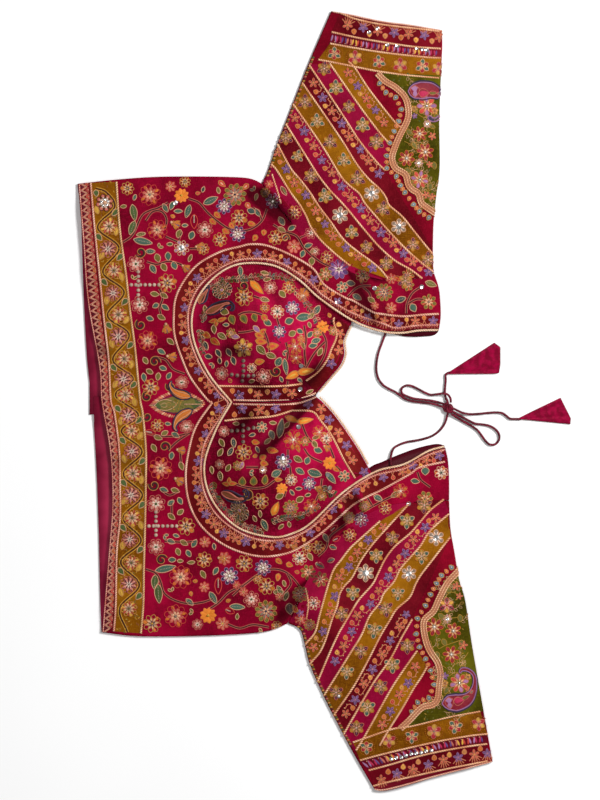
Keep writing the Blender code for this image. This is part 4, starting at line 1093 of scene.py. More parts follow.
class Needlework:
    """The embroidery on one piece of cloth, in pattern coordinates until it is draped."""

    def __init__(self, name, cloths, threads, seed, folds=()):
        self.name = name
        self.folds = folds
        self.surface = surface_of(*cloths)
        self.threads = threads
        self.random = np.random.default_rng(seed)
        self.count = 0
        self.base = 0.0         # height of the band that is stitched on, above the cloth
        self.parts = []
        self.used = []

    def add(self, points, lifts, faces, thread_name, shades, uvs):
        if thread_name not in self.used:
            self.used.append(thread_name)
        faces = [tuple(self.count + k for k in face) for face in faces]
        self.parts.append((np.asarray(points, float), np.asarray(lifts, float) + self.base, faces,
                           self.used.index(thread_name), np.asarray(shades, float),
                           np.asarray(uvs, float)))
        self.count += len(points)

    def over(self, points):
        """True for each pattern point that lies above the cloth."""
        hits = []
        for x, y in plan(points) * MM:
            hits.append(self.surface.ray_cast((x, y, ABOVE), (0.0, 0.0, -1.0))[0] is not None)
        return np.array(hits)

    def tone(self, spread):
        """Random lightness round the middle, one for each stitch."""
        return 0.5 + spread * (self.random.random() * 2.0 - 1.0)

    # ------------------------------------------------------------ basic stitches
    def satin(self, sides, height, thread_name, across=False):
        """Raised satin stitch between the two sides of a shape, highest in its middle."""
        left, middle, right = sides
        count = len(middle)
        points = np.vstack([left, middle, right])
        lifts = np.concatenate([np.full(count, -SUNK), np.full(count, height),
                                np.full(count, -SUNK)])
        lifts[count] = lifts[2 * count - 1] = height * 0.3
        faces = grid_faces(3, count)
        run = run_of(middle)
        half = np.linalg.norm(left - middle, axis=1)
        if across:
            uvs = np.column_stack([np.tile(run, 3), np.concatenate([-half, 0.0 * half, half])])
        else:
            uvs = np.column_stack([np.concatenate([-half, 0.0 * half, half]), np.tile(run, 3)])
        tone = self.tone(SATIN_SPREAD)
        shades = np.concatenate([np.full(count, tone - 0.12), np.full(count, tone + 0.16),
                                 np.full(count, tone - 0.05)])
        self.add(points, lifts, faces, thread_name, np.clip(shades, 0.0, 1.0), uvs)

    def cord(self, line, radius, thread_name, height=None, step=1.4, section=ROUND, smooth=True):
        """Cord couched along a line."""
        line = smooth_line(line, 8) if smooth else np.asarray(line, float)
        line = spaced(line, step)
        height = radius if height is None else height
        normals = left_normals(line)
        across = np.array([a for a, _ in section]) * radius
        rise = np.array([b for _, b in section]) * height
        points = (line[:, None] + normals[:, None] * across[None, :, None]).reshape(-1, 2)
        lifts = np.tile(rise, len(line))
        run = np.repeat(run_of(line), len(across))
        uvs = np.column_stack([run, np.tile(across, len(line))])
        shades = np.full(len(points), self.tone(CORD_SPREAD))
        self.add(points, lifts, grid_faces(len(line), len(across)), thread_name, shades, uvs)

    def rim(self, sides, radius, thread_name, height, step):
        """Fine cord round a shape that blade() gives."""
        self.cord(np.vstack([sides[0], sides[2][::-1]]), radius, thread_name, height, step, RIDGE,
                  smooth=False)

    def couched(self, line, radius, thread_name):
        """Cord along those parts of a line that lie on the cloth."""
        line = spaced(smooth_line(line, 8), 1.4)
        keep = self.over(line)
        runs = np.split(line, np.nonzero(np.diff(keep.astype(int)))[0] + 1)
        on = keep[0]
        for run in runs:
            if on and len(run) > 3:
                self.cord(run, radius, thread_name, smooth=False)
            on = not on

    def ground(self, one, other, thread_name, lift=BAND_LIFT, smooth=True):
        """Cloth or close filling between two lines that run side by side."""
        lines = [smooth_line(line, 8) if smooth else np.asarray(line, float) for line in (one, other)]
        along = max(3, int(max(run_of(line)[-1] for line in lines) / GROUND_STEP) + 1)
        shares = np.linspace(0.0, 1.0, along)
        a, b = at_shares(lines[0], shares), at_shares(lines[1], shares)
        across = max(2, int(np.linalg.norm(a - b, axis=1).max() / GROUND_STEP) + 2)
        mixed = np.linspace(0.0, 1.0, across)[None, :, None]
        grid = (a[:, None] * (1.0 - mixed) + b[:, None] * mixed).reshape(-1, 2)
        keep = self.over(grid)
        faces = [face for face in grid_faces(along, across) if all(keep[k] for k in face)]
        self.add(grid, np.full(len(grid), lift), faces, thread_name, np.full(len(grid), 0.5), grid)

    def bead(self, u, v, radius, thread_name, height=None, around=7):
        """Round bead or knot stitch."""
        turns = np.linspace(0.0, 2.0 * math.pi, around, endpoint=False)
        ring = np.column_stack([np.cos(turns), np.sin(turns)])
        points = np.vstack([ring * radius, ring * radius * 0.72, [(0.0, 0.0)]]) + (u, v)
        height = radius * 1.1 if height is None else height
        lifts = np.concatenate([np.full(around, -SUNK), np.full(around, height * 0.75), [height]])
        faces = grid_faces(2, around, around=True)
        faces += [(around + k, 2 * around, around + (k + 1) % around) for k in range(around)]
        shades = np.full(len(points), self.tone(BEAD_SPREAD))
        self.add(points, lifts, faces, thread_name, shades, points)

    def sequin(self, u, v, radius):
        """Small foil cup held down by a bead."""
        around = 10
        turns = np.linspace(0.0, 2.0 * math.pi, around, endpoint=False)
        ring = np.column_stack([np.cos(turns), np.sin(turns)])
        tip = self.random.random(2) * 0.5 - 0.25
        points = np.vstack([ring * radius, ring * radius * 0.45, [(0.0, 0.0)]]) + (u, v)
        lean = ring @ tip
        lifts = np.concatenate([0.9 + lean, 0.55 + lean * 0.5, [0.5]])
        faces = grid_faces(2, around, around=True)
        faces += [(around + k, 2 * around, around + (k + 1) % around) for k in range(around)]
        self.add(points, lifts, faces, "sequin", np.full(len(points), 0.5), points)

    # ------------------------------------------------------------ motifs
    def petals(self, u, v, inner, outer, width, count, fill, outline, height, turn):
        """Ring of petals: filled, drawn as loops, or both."""
        for k in range(count):
            angle = turn + 360.0 * k / count
            base, tip = turned([(inner, 0.0), (outer, 0.0)], angle) + (u, v)
            sides = blade(base, tip, width, PETAL_FULLNESS)
            if fill:
                self.satin(sides, height, fill)
            if outline:
                self.rim(sides, 0.38, outline, 0.8, 1.3)

    def leaf(self, u, v, length, width, angle, fill, outline="cream", rib=None, fullness=0.85):
        """Leaf round its middle: satin filling, an edge of cord and a midrib."""
        base, tip = ends_of(u, v, length, angle)
        sides = blade(base, tip, width, fullness, 7)
        self.satin(sides, 0.55, fill, across=True)
        if outline:
            self.rim(sides, 0.4, outline, 0.75, 1.5)
        if rib and length > 9.0:
            middle = base + (tip - base) * np.linspace(0.18, 0.82, max(3, int(length / 2.2)))[:, None]
            for x, y in middle:
                self.bead(x, y, 0.55, rib, 0.95, 5)

    def drop(self, u, v, length, width, angle, fill, outline=None):
        """Small drop that points the way of its angle."""
        base, tip = ends_of(u, v, length, angle)
        sides = blade(base, tip, width, 0.7, 5)
        self.satin(sides, 0.55, fill)
        if outline:
            self.rim(sides, 0.4, outline, 0.7, 1.3)

    def bud(self, u, v, angle, colour, size=4.8):
        """Round outlined bud with a light heart, on a short base."""
        self.drop(u, v, size * 1.15, size, angle, colour, "peach")
        self.bead(u, v, size * 0.16, "rose", 1.1, 6)

    def open_leaf(self, u, v, length, width, angle):
        """Leaf drawn as an outline with a beaded midrib."""
        base, tip = ends_of(u, v, length, angle)
        sides = blade(base, tip, width, 0.85, 7)
        self.rim(sides, 0.5, "coral", 0.75, 1.5)
        for share in np.arange(0.1, 0.6, 1.3 / length):
            x, y = base + (tip - base) * share
            self.bead(x, y, 0.8, "cream_bead", 0.9, 6)

    def body(self, spine, halves, fill, line, share=1.0):
        """Filled shape along a bent line, with its half widths at shares of the length, and its edge."""
        spine = spaced(smooth_line(spine, 6), 1.6)
        at, half = zip(*halves)
        half = share * np.interp(run_of(spine) / run_of(spine)[-1], at, half)
        normals = left_normals(spine)
        left, right = spine - normals * half[:, None], spine + normals * half[:, None]
        self.satin((left, spine, right), 0.6, fill, across=True)
        self.cord(np.vstack([left, right[::-1]]), 0.7, line, 0.95, 1.3, smooth=False)

    def paisley(self, u, v, length, width, angle, fill, line, hand=1.0):
        """Drop whose thin end bends round, filled, outlined and lined with beads."""
        spine = np.array([(-0.5, 0.0), (-0.25, -0.02), (0.05, -0.05), (0.3, -0.16), (0.47, -0.36),
                          (0.44, -0.56)]) * (length, length * hand)
        spine = turned(smooth_line(spine, 6), angle) + (u, v)
        shares = np.linspace(0.0, 1.0, len(spine))
        half = width / 2.0 * np.interp(shares, (0.0, 0.08, 0.28, 0.5, 0.75, 1.0),
                                       (0.0, 0.62, 1.0, 0.8, 0.34, 0.1))
        normals = left_normals(spine)
        left, right = spine - normals * half[:, None], spine + normals * half[:, None]
        self.satin((left, spine, right), 0.6, fill, across=True)
        self.cord(np.vstack([left, right[::-1]]), 0.75, line, 0.95, 1.3, smooth=False)
        inner = np.vstack([spine - normals * half[:, None] * 0.5,
                           (spine + normals * half[:, None] * 0.5)[::-1]])
        self.cord(inner, 0.4, "cream", 0.95, 1.3, RIDGE, smooth=False)

    def curl(self, u, v, radius, turn):
        """Brown spiral of cord with a fine gold line on its outer side."""
        turns = np.radians(np.linspace(0.0, 430.0, 26))
        reach = np.linspace(0.15, 1.0, 26) * radius
        spiral = np.column_stack([np.cos(turns), np.sin(turns)])
        line = turned(spiral * reach[:, None], turn) + (u, v)
        self.cord(line, CURL_WIDTH, "brown", 0.8, 1.2, RIDGE, smooth=False)
        line = turned(spiral * (reach + CURL_WIDTH + 0.3)[:, None], turn) + (u, v)
        self.cord(line, 0.38, "gold", 0.7, 1.2, RIDGE, smooth=False)

    def stem(self, *points, colour="brown", edge="rose", gap=0.95, radius=0.6):
        """Dark stem between two fine lines."""
        line = spaced(smooth_line(points, 8), 1.6)
        side = left_normals(line) * gap
        self.cord(line, radius, colour, 0.5, 1.6, RIDGE, smooth=False)
        for sign in (-1.0, 1.0):
            self.cord(line + side * sign, 0.32, edge, 0.6, 1.6, RIDGE, smooth=False)

    def tulip(self, u, v, radius, angle):
        """Side view of a bloom: three petals and a base."""
        for offset in (-50.0, 50.0, -22.0, 22.0, 0.0):
            base, tip = turned([(-radius * 0.4, 0.0), (radius * 0.8, 0.0)], angle + offset) + (u, v)
            sides = blade(base, tip, radius * 0.42, 1.1, 5)
            self.satin(sides, 0.7, "purple" if offset == 0.0 else "orange")
            self.rim(sides, 0.32, "gold", 0.8, 1.3)
        self.bead(*(spoke(-radius * 0.4, angle) + (u, v)), radius * 0.2, "cream")

    def flower(self, u, v, radius, style, turn=None):
        """Round bloom, built up from the layers of its style."""
        turn = self.random.random() * 360.0 if turn is None else turn + self.random.normal() * 5.0
        radius = radius * (1.0 + 0.05 * self.random.normal())
        for kind, *sizes in FLOWER_STYLES[style]:
            if kind == "petals":
                inner, outer, width, count, fill, outline, shift = sizes
                self.petals(u, v, radius * inner, radius * outer, radius * width, count, fill,
                            outline, 0.5 + 0.5 * (1.0 - outer), turn + shift)
            elif kind == "bead":
                self.bead(u, v, max(0.8, radius * sizes[0]), sizes[1])
            elif kind == "ring":
                at, count, size, colour = sizes
                for k in range(count):
                    x, y = spoke(radius * at, 360.0 * k / count + turn) + (u, v)
                    self.bead(x, y, radius * size, colour, 1.1, 5)
            elif kind == "sequin":
                self.sequin(u, v, radius * sizes[0])

    # ------------------------------------------------------------ draping
    def drape(self):
        """Lay the stitches on the cloth and make them one mesh."""
        flat = plan(np.vstack([part[0] for part in self.parts])) * MM
        lifts = np.concatenate([part[1] for part in self.parts]) * MM
        placed = np.empty((len(flat), 3))
        down = Vector((0.0, 0.0, -1.0))
        for k, (x, y) in enumerate(flat):
            hit, normal, _, _ = self.surface.ray_cast(Vector((x, y, ABOVE)), down)
            if hit is None:
                hit, normal, _, _ = self.surface.find_nearest(Vector((x, y, BESIDE)))
            if normal.z < STEEPEST:
                normal = -down
            placed[k] = hit + normal * lifts[k]
        faces, slots = [], []
        for _, _, part_faces, slot, _, _ in self.parts:
            faces += part_faces
            slots += [slot] * len(part_faces)
        mesh = bpy.data.meshes.new(self.name)
        mesh.from_pydata(placed.tolist(), [], upward(faces, flat))
        mesh.polygons.foreach_set("material_index", np.array(slots, np.int32))
        shades = np.concatenate([part[4] for part in self.parts])
        # painted shade: how deep each stitch lies in a crease of its cloth, which darkens its colour
        depths = crease_depth(flat / MM, self.folds)
        for label, values in (("shade", shades), ("crease", depths)):
            made = mesh.attributes.new(label, "FLOAT", "POINT")
            made.data.foreach_set("value", values.astype(np.float32))
        write_uvs(mesh, np.vstack([part[5] for part in self.parts]))
        mesh.shade_smooth()
        return new_piece(self.name, mesh, [self.threads[each] for each in self.used])


FILL_CLEAR = 3.9        # a filler needs this much bare cloth round its middle
FILL_WIDE = 5.6         # with more than this it may be a bloom, of at most this radius


def fill_gaps(work, candidates, others=()):
    """Small leaves, buds and blooms wherever the larger motifs leave the cloth bare."""
    taken = np.vstack([part[0][::3] for each in (work, *others) for part in each.parts])
    for place in candidates:
        gap = np.linalg.norm(taken - place, axis=1).min()
        if gap < FILL_CLEAR:
            continue
        first = len(work.parts)
        angle = work.random.random() * 360.0
        kind = work.random.integers(8)
        if gap > FILL_WIDE and kind < 4:
            work.flower(*place, min(FILL_WIDE, gap * 0.8), ("olive", "small_coral", "pale", "gold")[kind])
        elif kind < 4:
            colour = ("teal", "olive", "green", "deep_teal")[kind]
            work.leaf(*place, max(6.2, 1.5 * gap), 3.6, angle, colour, "cream")
        elif kind < 6:
            for lean in (-38.0, 38.0):
                u, v = spoke(2.6, angle + lean) + place
                work.leaf(u, v, 4.6, 2.7, angle + lean, ("olive", "teal")[kind - 4], "cream")
            work.bead(*place, 0.8, "gold", 0.9, 5)
        else:
            work.drop(*place, 4.8, 3.5, angle, ("orange", "coral")[kind - 6], "gold")
            work.bead(*place, 0.7, "rose", 1.0, 5)
        taken = np.vstack([taken] + [part[0] for part in work.parts[first:]])


def upward(faces, flat):
    """The same faces, each turned so that it looks up."""
    facing = []
    for face in faces:
        x, y = flat[list(face)].T
        area = np.dot(x, np.roll(y, -1)) - np.dot(y, np.roll(x, -1))
        facing.append(face if area >= 0.0 else face[::-1])
    return facing


# Layers of each bloom. Petals: where they start and end and how wide they are, as shares
# of the radius, their number, filling, outline and turn. Ring: where, number, size, colour.
FLOWER_STYLES = {
    "gold": (
        ("petals", 0.38, 1.0, 0.5, 8, None, "gold", 0), ("petals", 0.45, 0.98, 0.42, 3, "orange", None, 0),
        ("petals", 0.12, 0.7, 0.32, 8, "cream", None, 22), ("petals", 0.05, 0.45, 0.2, 6, "grey", None, 0),
        ("ring", 0.26, 5, 0.09, "dark_bead"), ("bead", 0.12, "yellow"),
    ),
    "coral": (
        ("petals", 0.42, 1.0, 0.52, 9, None, "coral", 0),
        ("petals", 0.45, 0.95, 0.3, 4, "orange", None, 10),
        ("petals", 0.2, 0.74, 0.34, 9, "rose", None, 20), ("petals", 0.05, 0.45, 0.24, 7, "cream", None, 0),
        ("bead", 0.14, "grey"),
    ),
    "small_coral": (
        ("petals", 0.25, 1.0, 0.56, 7, "rose", "coral", 0),
        ("petals", 0.05, 0.55, 0.3, 6, "cream", None, 0), ("bead", 0.16, "yellow"),
    ),
    "star": (
        ("petals", 0.4, 1.0, 0.44, 8, "navy", "lilac", 0), ("petals", 0.1, 0.78, 0.34, 8, "white", None, 0),
        ("petals", 0.05, 0.45, 0.2, 6, "grey", None, 20), ("bead", 0.16, "white_bead"),
    ),
    "rose": (
        ("petals", 0.42, 1.0, 0.56, 7, None, "rose", 0), ("petals", 0.12, 0.8, 0.42, 7, "blush", None, 0),
        ("petals", 0.02, 0.46, 0.28, 6, "white", None, 25), ("bead", 0.16, "green"),
    ),
    "violet": (
        ("petals", 0.3, 1.0, 0.46, 9, "purple", "lilac", 0),
        ("petals", 0.12, 0.74, 0.32, 8, "lilac", None, 20),
        ("petals", 0.02, 0.5, 0.24, 6, "white", None, 0), ("bead", 0.14, "grey"),
    ),
    "blossom": (("petals", 0.02, 1.0, 0.6, 9, "bright_orange", None, 0), ("bead", 0.2, "yellow")),
    "lacy": (
        ("petals", 0.4, 1.0, 0.46, 9, None, "coral", 0),
        ("petals", 0.35, 0.9, 0.3, 5, "orange", "gold", 15), ("petals", 0.1, 0.6, 0.26, 7, "rose", None, 0),
        ("petals", 0.02, 0.36, 0.2, 5, "cream", None, 20), ("bead", 0.14, "white_bead"),
    ),
    "dense": (
        ("petals", 0.5, 1.0, 0.4, 10, "olive", "gold", 0), ("petals", 0.25, 0.8, 0.34, 5, "rose", None, 9),
        ("petals", 0.15, 0.66, 0.3, 8, "grey", None, 0), ("petals", 0.02, 0.36, 0.2, 6, "cream", None, 0),
        ("bead", 0.12, "navy"),
    ),
    "olive": (
        ("petals", 0.35, 1.0, 0.48, 7, "olive", "gold", 0),
        ("petals", 0.45, 1.0, 0.44, 3, "coral", None, 26), ("petals", 0.08, 0.6, 0.3, 7, "cream", None, 0),
        ("bead", 0.16, "grey"),
    ),
    "pale": (
        ("petals", 0.4, 1.0, 0.46, 8, None, "cream", 0), ("petals", 0.42, 0.96, 0.4, 3, "orange", None, 0),
        ("petals", 0.08, 0.74, 0.36, 7, "white", None, 10), ("petals", 0.05, 0.42, 0.2, 6, "grey", None, 0),
        ("bead", 0.16, "teal"),
    ),
    "teal": (
        ("petals", 0.25, 1.0, 0.5, 7, "teal", "cream", 0), ("petals", 0.05, 0.55, 0.3, 6, "cream", None, 0),
        ("bead", 0.2, "coral"),
    ),
    "mirror": (
        ("petals", 0.45, 1.0, 0.46, 8, None, "cream", 0), ("petals", 0.45, 0.98, 0.42, 4, "lilac", None, 0),
        ("petals", 0.1, 0.66, 0.34, 8, "white", None, 0), ("sequin", 0.34),
    ),
    "yellow": (
        ("petals", 0.3, 1.0, 0.44, 5, "yellow", "gold", 18), ("petals", 0.4, 0.9, 0.3, 5, None, "gold", 54),
        ("petals", 0.1, 0.6, 0.28, 8, "cream", None, 0), ("ring", 0.26, 6, 0.1, "dark_bead"),
        ("bead", 0.12, "orange"),
    ),
    "hem_pink": (
        ("petals", 0.5, 1.0, 0.46, 9, None, "rose", 0), ("petals", 0.45, 0.92, 0.3, 9, "maroon", None, 20),
        ("petals", 0.15, 0.84, 0.34, 8, "blush", None, 0), ("petals", 0.1, 0.6, 0.2, 8, "maroon", None, 22),
        ("petals", 0.02, 0.4, 0.22, 6, "white", None, 0), ("bead", 0.12, "grey"),
    ),
    "hem_gold": (
        ("petals", 0.5, 1.0, 0.48, 8, None, "gold", 0), ("petals", 0.45, 1.0, 0.42, 3, "yellow", None, 10),
        ("petals", 0.45, 0.92, 0.3, 8, "red", None, 22), ("petals", 0.12, 0.72, 0.3, 8, "cream", None, 0),
        ("petals", 0.05, 0.45, 0.2, 7, "grey", None, 20), ("bead", 0.12, "olive"),
    ),
    "hem_mirror": (
        ("petals", 0.45, 1.0, 0.52, 8, "rose", "maroon", 0),
        ("petals", 0.1, 0.76, 0.36, 8, "white", None, 0), ("ring", 0.36, 5, 0.2, "sequin"),
        ("bead", 0.2, "cream"),
    ),
    "stripe_teal": (
        ("petals", 0.0, 0.84, 0.5, 6, "olive", None, 30),
        ("petals", 0.25, 0.98, 0.52, 3, "mustard_yellow", "orange", 60),
        ("petals", 0.25, 1.08, 0.54, 3, "teal", "cream", 0),
        ("petals", 0.6, 0.95, 0.24, 3, "navy", None, 0), ("petals", 0.1, 0.66, 0.28, 6, None, "cream", 30),
        ("petals", 0.05, 0.72, 0.16, 6, "cream", None, 0),
        ("petals", 0.02, 0.36, 0.16, 5, "green", None, 10), ("bead", 0.12, "white"),
    ),
    "stripe_lilac": (
        ("petals", 0.0, 0.82, 0.5, 6, "olive", None, 30),
        ("petals", 0.25, 0.98, 0.52, 3, "mustard_yellow", "orange", 60),
        ("petals", 0.25, 1.08, 0.52, 3, "maroon", "rose", 0),
        ("petals", 0.55, 0.92, 0.24, 3, "lilac", None, 0),
        ("petals", 0.1, 0.66, 0.28, 6, None, "blush", 30),
        ("petals", 0.05, 0.72, 0.16, 6, "cream", None, 0),
        ("petals", 0.02, 0.36, 0.16, 5, "green", None, 10), ("bead", 0.12, "white"),
    ),
    "stripe_mirror": (
        ("petals", 0.2, 1.06, 0.6, 6, "grey", "cream", 0),
        ("petals", 0.05, 0.8, 0.24, 12, "white", None, 15), ("sequin", 0.36),
    ),
    "ring_teal": (
        ("petals", 0.1, 0.8, 0.54, 3, "red", "gold", 60), ("petals", 0.1, 0.86, 0.5, 3, "teal", "cream", 0),
        ("petals", 0.02, 0.5, 0.2, 9, "cream", None, 30), ("bead", 0.12, "grey"),
        ("ring", 0.98, 26, 0.055, "orange"),
    ),
    "ring_maroon": (
        ("petals", 0.1, 0.8, 0.54, 3, "bright_mustard", "gold", 60),
        ("petals", 0.1, 0.86, 0.5, 3, "red", "rose", 0), ("petals", 0.02, 0.5, 0.2, 9, "blush", None, 30),
        ("bead", 0.12, "grey"), ("ring", 0.98, 26, 0.055, "orange"),
    ),
    "field_coral": (
        ("petals", 0.3, 1.0, 0.44, 7, "deep_red", "orange", 0),
        ("petals", 0.45, 0.94, 0.26, 7, "coral", None, 0),
        ("petals", 0.05, 0.62, 0.24, 7, "cream", None, 25),
        ("petals", 0.02, 0.38, 0.18, 6, "grey", None, 0), ("bead", 0.14, "white_bead"),
    ),
    "field_mixed": (
        ("petals", 0.3, 1.0, 0.44, 4, "coral", "gold", 0),
        ("petals", 0.3, 1.0, 0.44, 4, "lilac", "rose", 45),
        ("petals", 0.05, 0.62, 0.24, 8, "cream", None, 20),
        ("petals", 0.02, 0.38, 0.18, 6, "olive", None, 0), ("bead", 0.16, "sequin"),
    ),
    "field_pale": (
        ("petals", 0.25, 1.0, 0.46, 3, "maroon", "pink", 0),
        ("petals", 0.25, 0.98, 0.46, 3, "yellow", "gold", 60),
        ("petals", 0.05, 0.62, 0.28, 6, "blush", None, 30), ("bead", 0.16, "coral"),
    ),
    "border_purple": (
        ("petals", 0.05, 1.0, 0.4, 5, "purple", "lilac", 0),
        ("petals", 0.15, 0.66, 0.18, 5, "lilac", None, 0), ("petals", 0.15, 0.8, 0.16, 5, "navy", None, 36),
        ("bead", 0.17, "blush"),
    ),
    "border_coral": (
        ("petals", 0.05, 1.0, 0.4, 5, "coral", "peach", 0),
        ("petals", 0.15, 0.66, 0.18, 5, "blush", None, 0),
        ("petals", 0.1, 0.8, 0.18, 5, "maroon", None, 36), ("bead", 0.17, "yellow"),
    ),
}


def make_threads():
    """Every thread, cord, bead and band colour of the embroidery."""
    colours = {
        "cream": (0.660, 0.350, 0.200), "white": (0.700, 0.530, 0.420), "rose": (0.480, 0.120, 0.080),
        "coral": (0.500, 0.042, 0.024), "orange": (0.520, 0.135, 0.010),
        "bright_orange": (0.720, 0.200, 0.015), "yellow": (0.640, 0.330, 0.040),
        "gold": (0.480, 0.200, 0.045), "olive": (0.130, 0.105, 0.012), "green": (0.055, 0.085, 0.016),
        "teal": (0.045, 0.100, 0.065), "navy": (0.026, 0.018, 0.050), "deep_teal": (0.030, 0.050, 0.040),
        "purple": (0.105, 0.040, 0.160), "lilac": (0.320, 0.140, 0.280), "maroon": (0.070, 0.002, 0.008),
        "red": (0.330, 0.010, 0.020), "brown": (0.036, 0.006, 0.004), "rust": (0.240, 0.070, 0.020),
        "deep_red": (0.200, 0.001, 0.014), "grey": (0.220, 0.150, 0.110), "blush": (0.540, 0.210, 0.160),
        "mustard_yellow": (0.360, 0.190, 0.018), "bright_mustard": (0.500, 0.270, 0.030),
        "peach": (0.600, 0.190, 0.085), "pink": (0.420, 0.010, 0.060), "cream_bead": (0.480, 0.340, 0.260),
        "blue_grey": (0.120, 0.180, 0.210),
    }
    threads = {name: thread("thread_" + name, colour) for name, colour in colours.items()}
    threads["cream_cord"] = twist("cream_cord", (0.280, 0.050, 0.035), (0.700, 0.310, 0.210),
                                  (0.900, 0.560, 0.410))
    threads["pink_cord"] = twist("pink_cord", (0.220, 0.016, 0.014), (0.600, 0.190, 0.135),
                                 (0.860, 0.440, 0.340))
    threads["peach_cord"] = twist("peach_cord", (0.320, 0.070, 0.025), (0.700, 0.310, 0.150),
                                  (0.900, 0.560, 0.330))
    threads["gold_cord"] = twist("gold_cord", (0.200, 0.060, 0.016), (0.640, 0.340, 0.150),
                                 (0.860, 0.560, 0.300))
    threads["ribbon"] = thread("peach_ribbon", (0.420, 0.160, 0.080))
    threads["sequin"] = sparkle("silver_sequin", (0.900, 0.880, 0.860), 0.16)
    threads["dark_bead"] = sparkle("dark_bead", (0.030, 0.016, 0.020), 0.25, metal=0.0)
    threads["white_bead"] = sparkle("white_bead", (0.820, 0.740, 0.660), 0.2, metal=0.0)
    grounds = {
        "mustard_ground": ((0.120, 0.034, 0.001), (0.235, 0.078, 0.002), (0.420, 0.170, 0.006)),
        "dark_ground": ((0.070, 0.001, 0.004), (0.140, 0.002, 0.008), (0.240, 0.008, 0.018)),
        "magenta_ground": ((0.150, 0.001, 0.016), (0.260, 0.002, 0.030), (0.380, 0.008, 0.052)),
        "olive_ground": ((0.030, 0.024, 0.001), (0.074, 0.062, 0.002), (0.150, 0.140, 0.006)),
        "braid_ground": ((0.080, 0.002, 0.008), (0.150, 0.004, 0.014), (0.240, 0.015, 0.025)),
        "band_ground": ((0.070, 0.001, 0.003), (0.130, 0.003, 0.006), (0.230, 0.018, 0.014)),
    }
    threads.update({name: silk(name, *colours) for name, colours in grounds.items()})
    return threads


# ---------------------------------------------------------------- front tables
# Blooms: pattern u, v and radius.
FRONT_BLOOMS = {
    "gold": (
        (127.5, 188.7, 7.5), (239.2, 218.3, 8), (220, 240, 8), (203.3, 249.2, 6), (167.5, 283.3, 9),
        (150.8, 387.5, 9), (186.3, 526.3, 9), (204.2, 559.5, 8), (244.2, 563.3, 9), (266.5, 586, 8),
        (152.2, 623.3, 9), (275.5, 238, 8), (185, 182, 6), (307, 547, 6), (294.6, 213, 7.5),
        (362.5, 275.8, 7), (385, 508, 7), (349.6, 535, 7), (258, 579, 5), (327, 257.5, 7),
        (157.5, 425.4, 6), (318, 547, 7),
    ),
    "coral": (
        (150, 195, 11), (157.5, 230, 11), (147.8, 340.8, 11), (160.8, 468.3, 12), (180.8, 576.7, 11),
        (175.8, 615.8, 11),
    ),
    "small_coral": (
        (170.8, 186.7, 6), (293.8, 247, 7), (391, 279, 6), (390.8, 308, 6), (374.6, 306, 4.5),
        (279.6, 596.5, 5), (243.5, 591.5, 5), (236.5, 584.6, 4), (205, 541.7, 6), (222.5, 623.3, 7),
        (300.4, 619, 6.5), (224.5, 558.3, 7), (269.2, 184.5, 5),
    ),
    "rose": (
        (205, 230, 8), (136.2, 264.2, 9), (140, 305, 9), (181.2, 382.5, 6), (310.8, 233.3, 6),
        (315, 251.7, 5), (185.8, 426.7, 7), (156.2, 503.7, 9), (156.2, 546.7, 9), (251.5, 599, 8.5),
        (197.5, 624.2, 6), (182.5, 382.3, 6.5), (187.5, 426.6, 6),
    ),
    "star": (
        (224.2, 206.7, 8), (237.8, 234.2, 8), (229.5, 575.5, 9), (263, 567.5, 8), (273, 201.4, 7.5),
        (361, 519.6, 7.5),
    ),
    "violet": ((338.5, 269.5, 10),),
    "lacy": ((400.4, 491, 8),),
    "mirror": ((181.7, 248.3, 8),),
    "blossom": ((181.7, 195.8, 7.5), (208.3, 615, 8)),
    "dense": (
        (235, 195, 12), (266, 611, 10.5), (383.8, 292.5, 9.5), (300.4, 594, 8), (348.8, 517.3, 6),
        (364.5, 505.8, 5.5), (265.4, 193, 5), (309.6, 624.6, 6),
    ),
    "olive": (
        (325.4, 274.5, 7), (407.7, 275.5, 6), (407.5, 285, 6.5), (428.5, 302, 8), (308, 572, 7.5),
        (320.4, 579, 8), (424.8, 498.8, 8),
    ),
    "pale": ((299.6, 557.7, 8), (313.5, 603, 7.5), (441, 472.7, 7)),
    "teal": ((342, 287.5, 6),),
    "border_purple": ((300.4, 613, 4),),
}
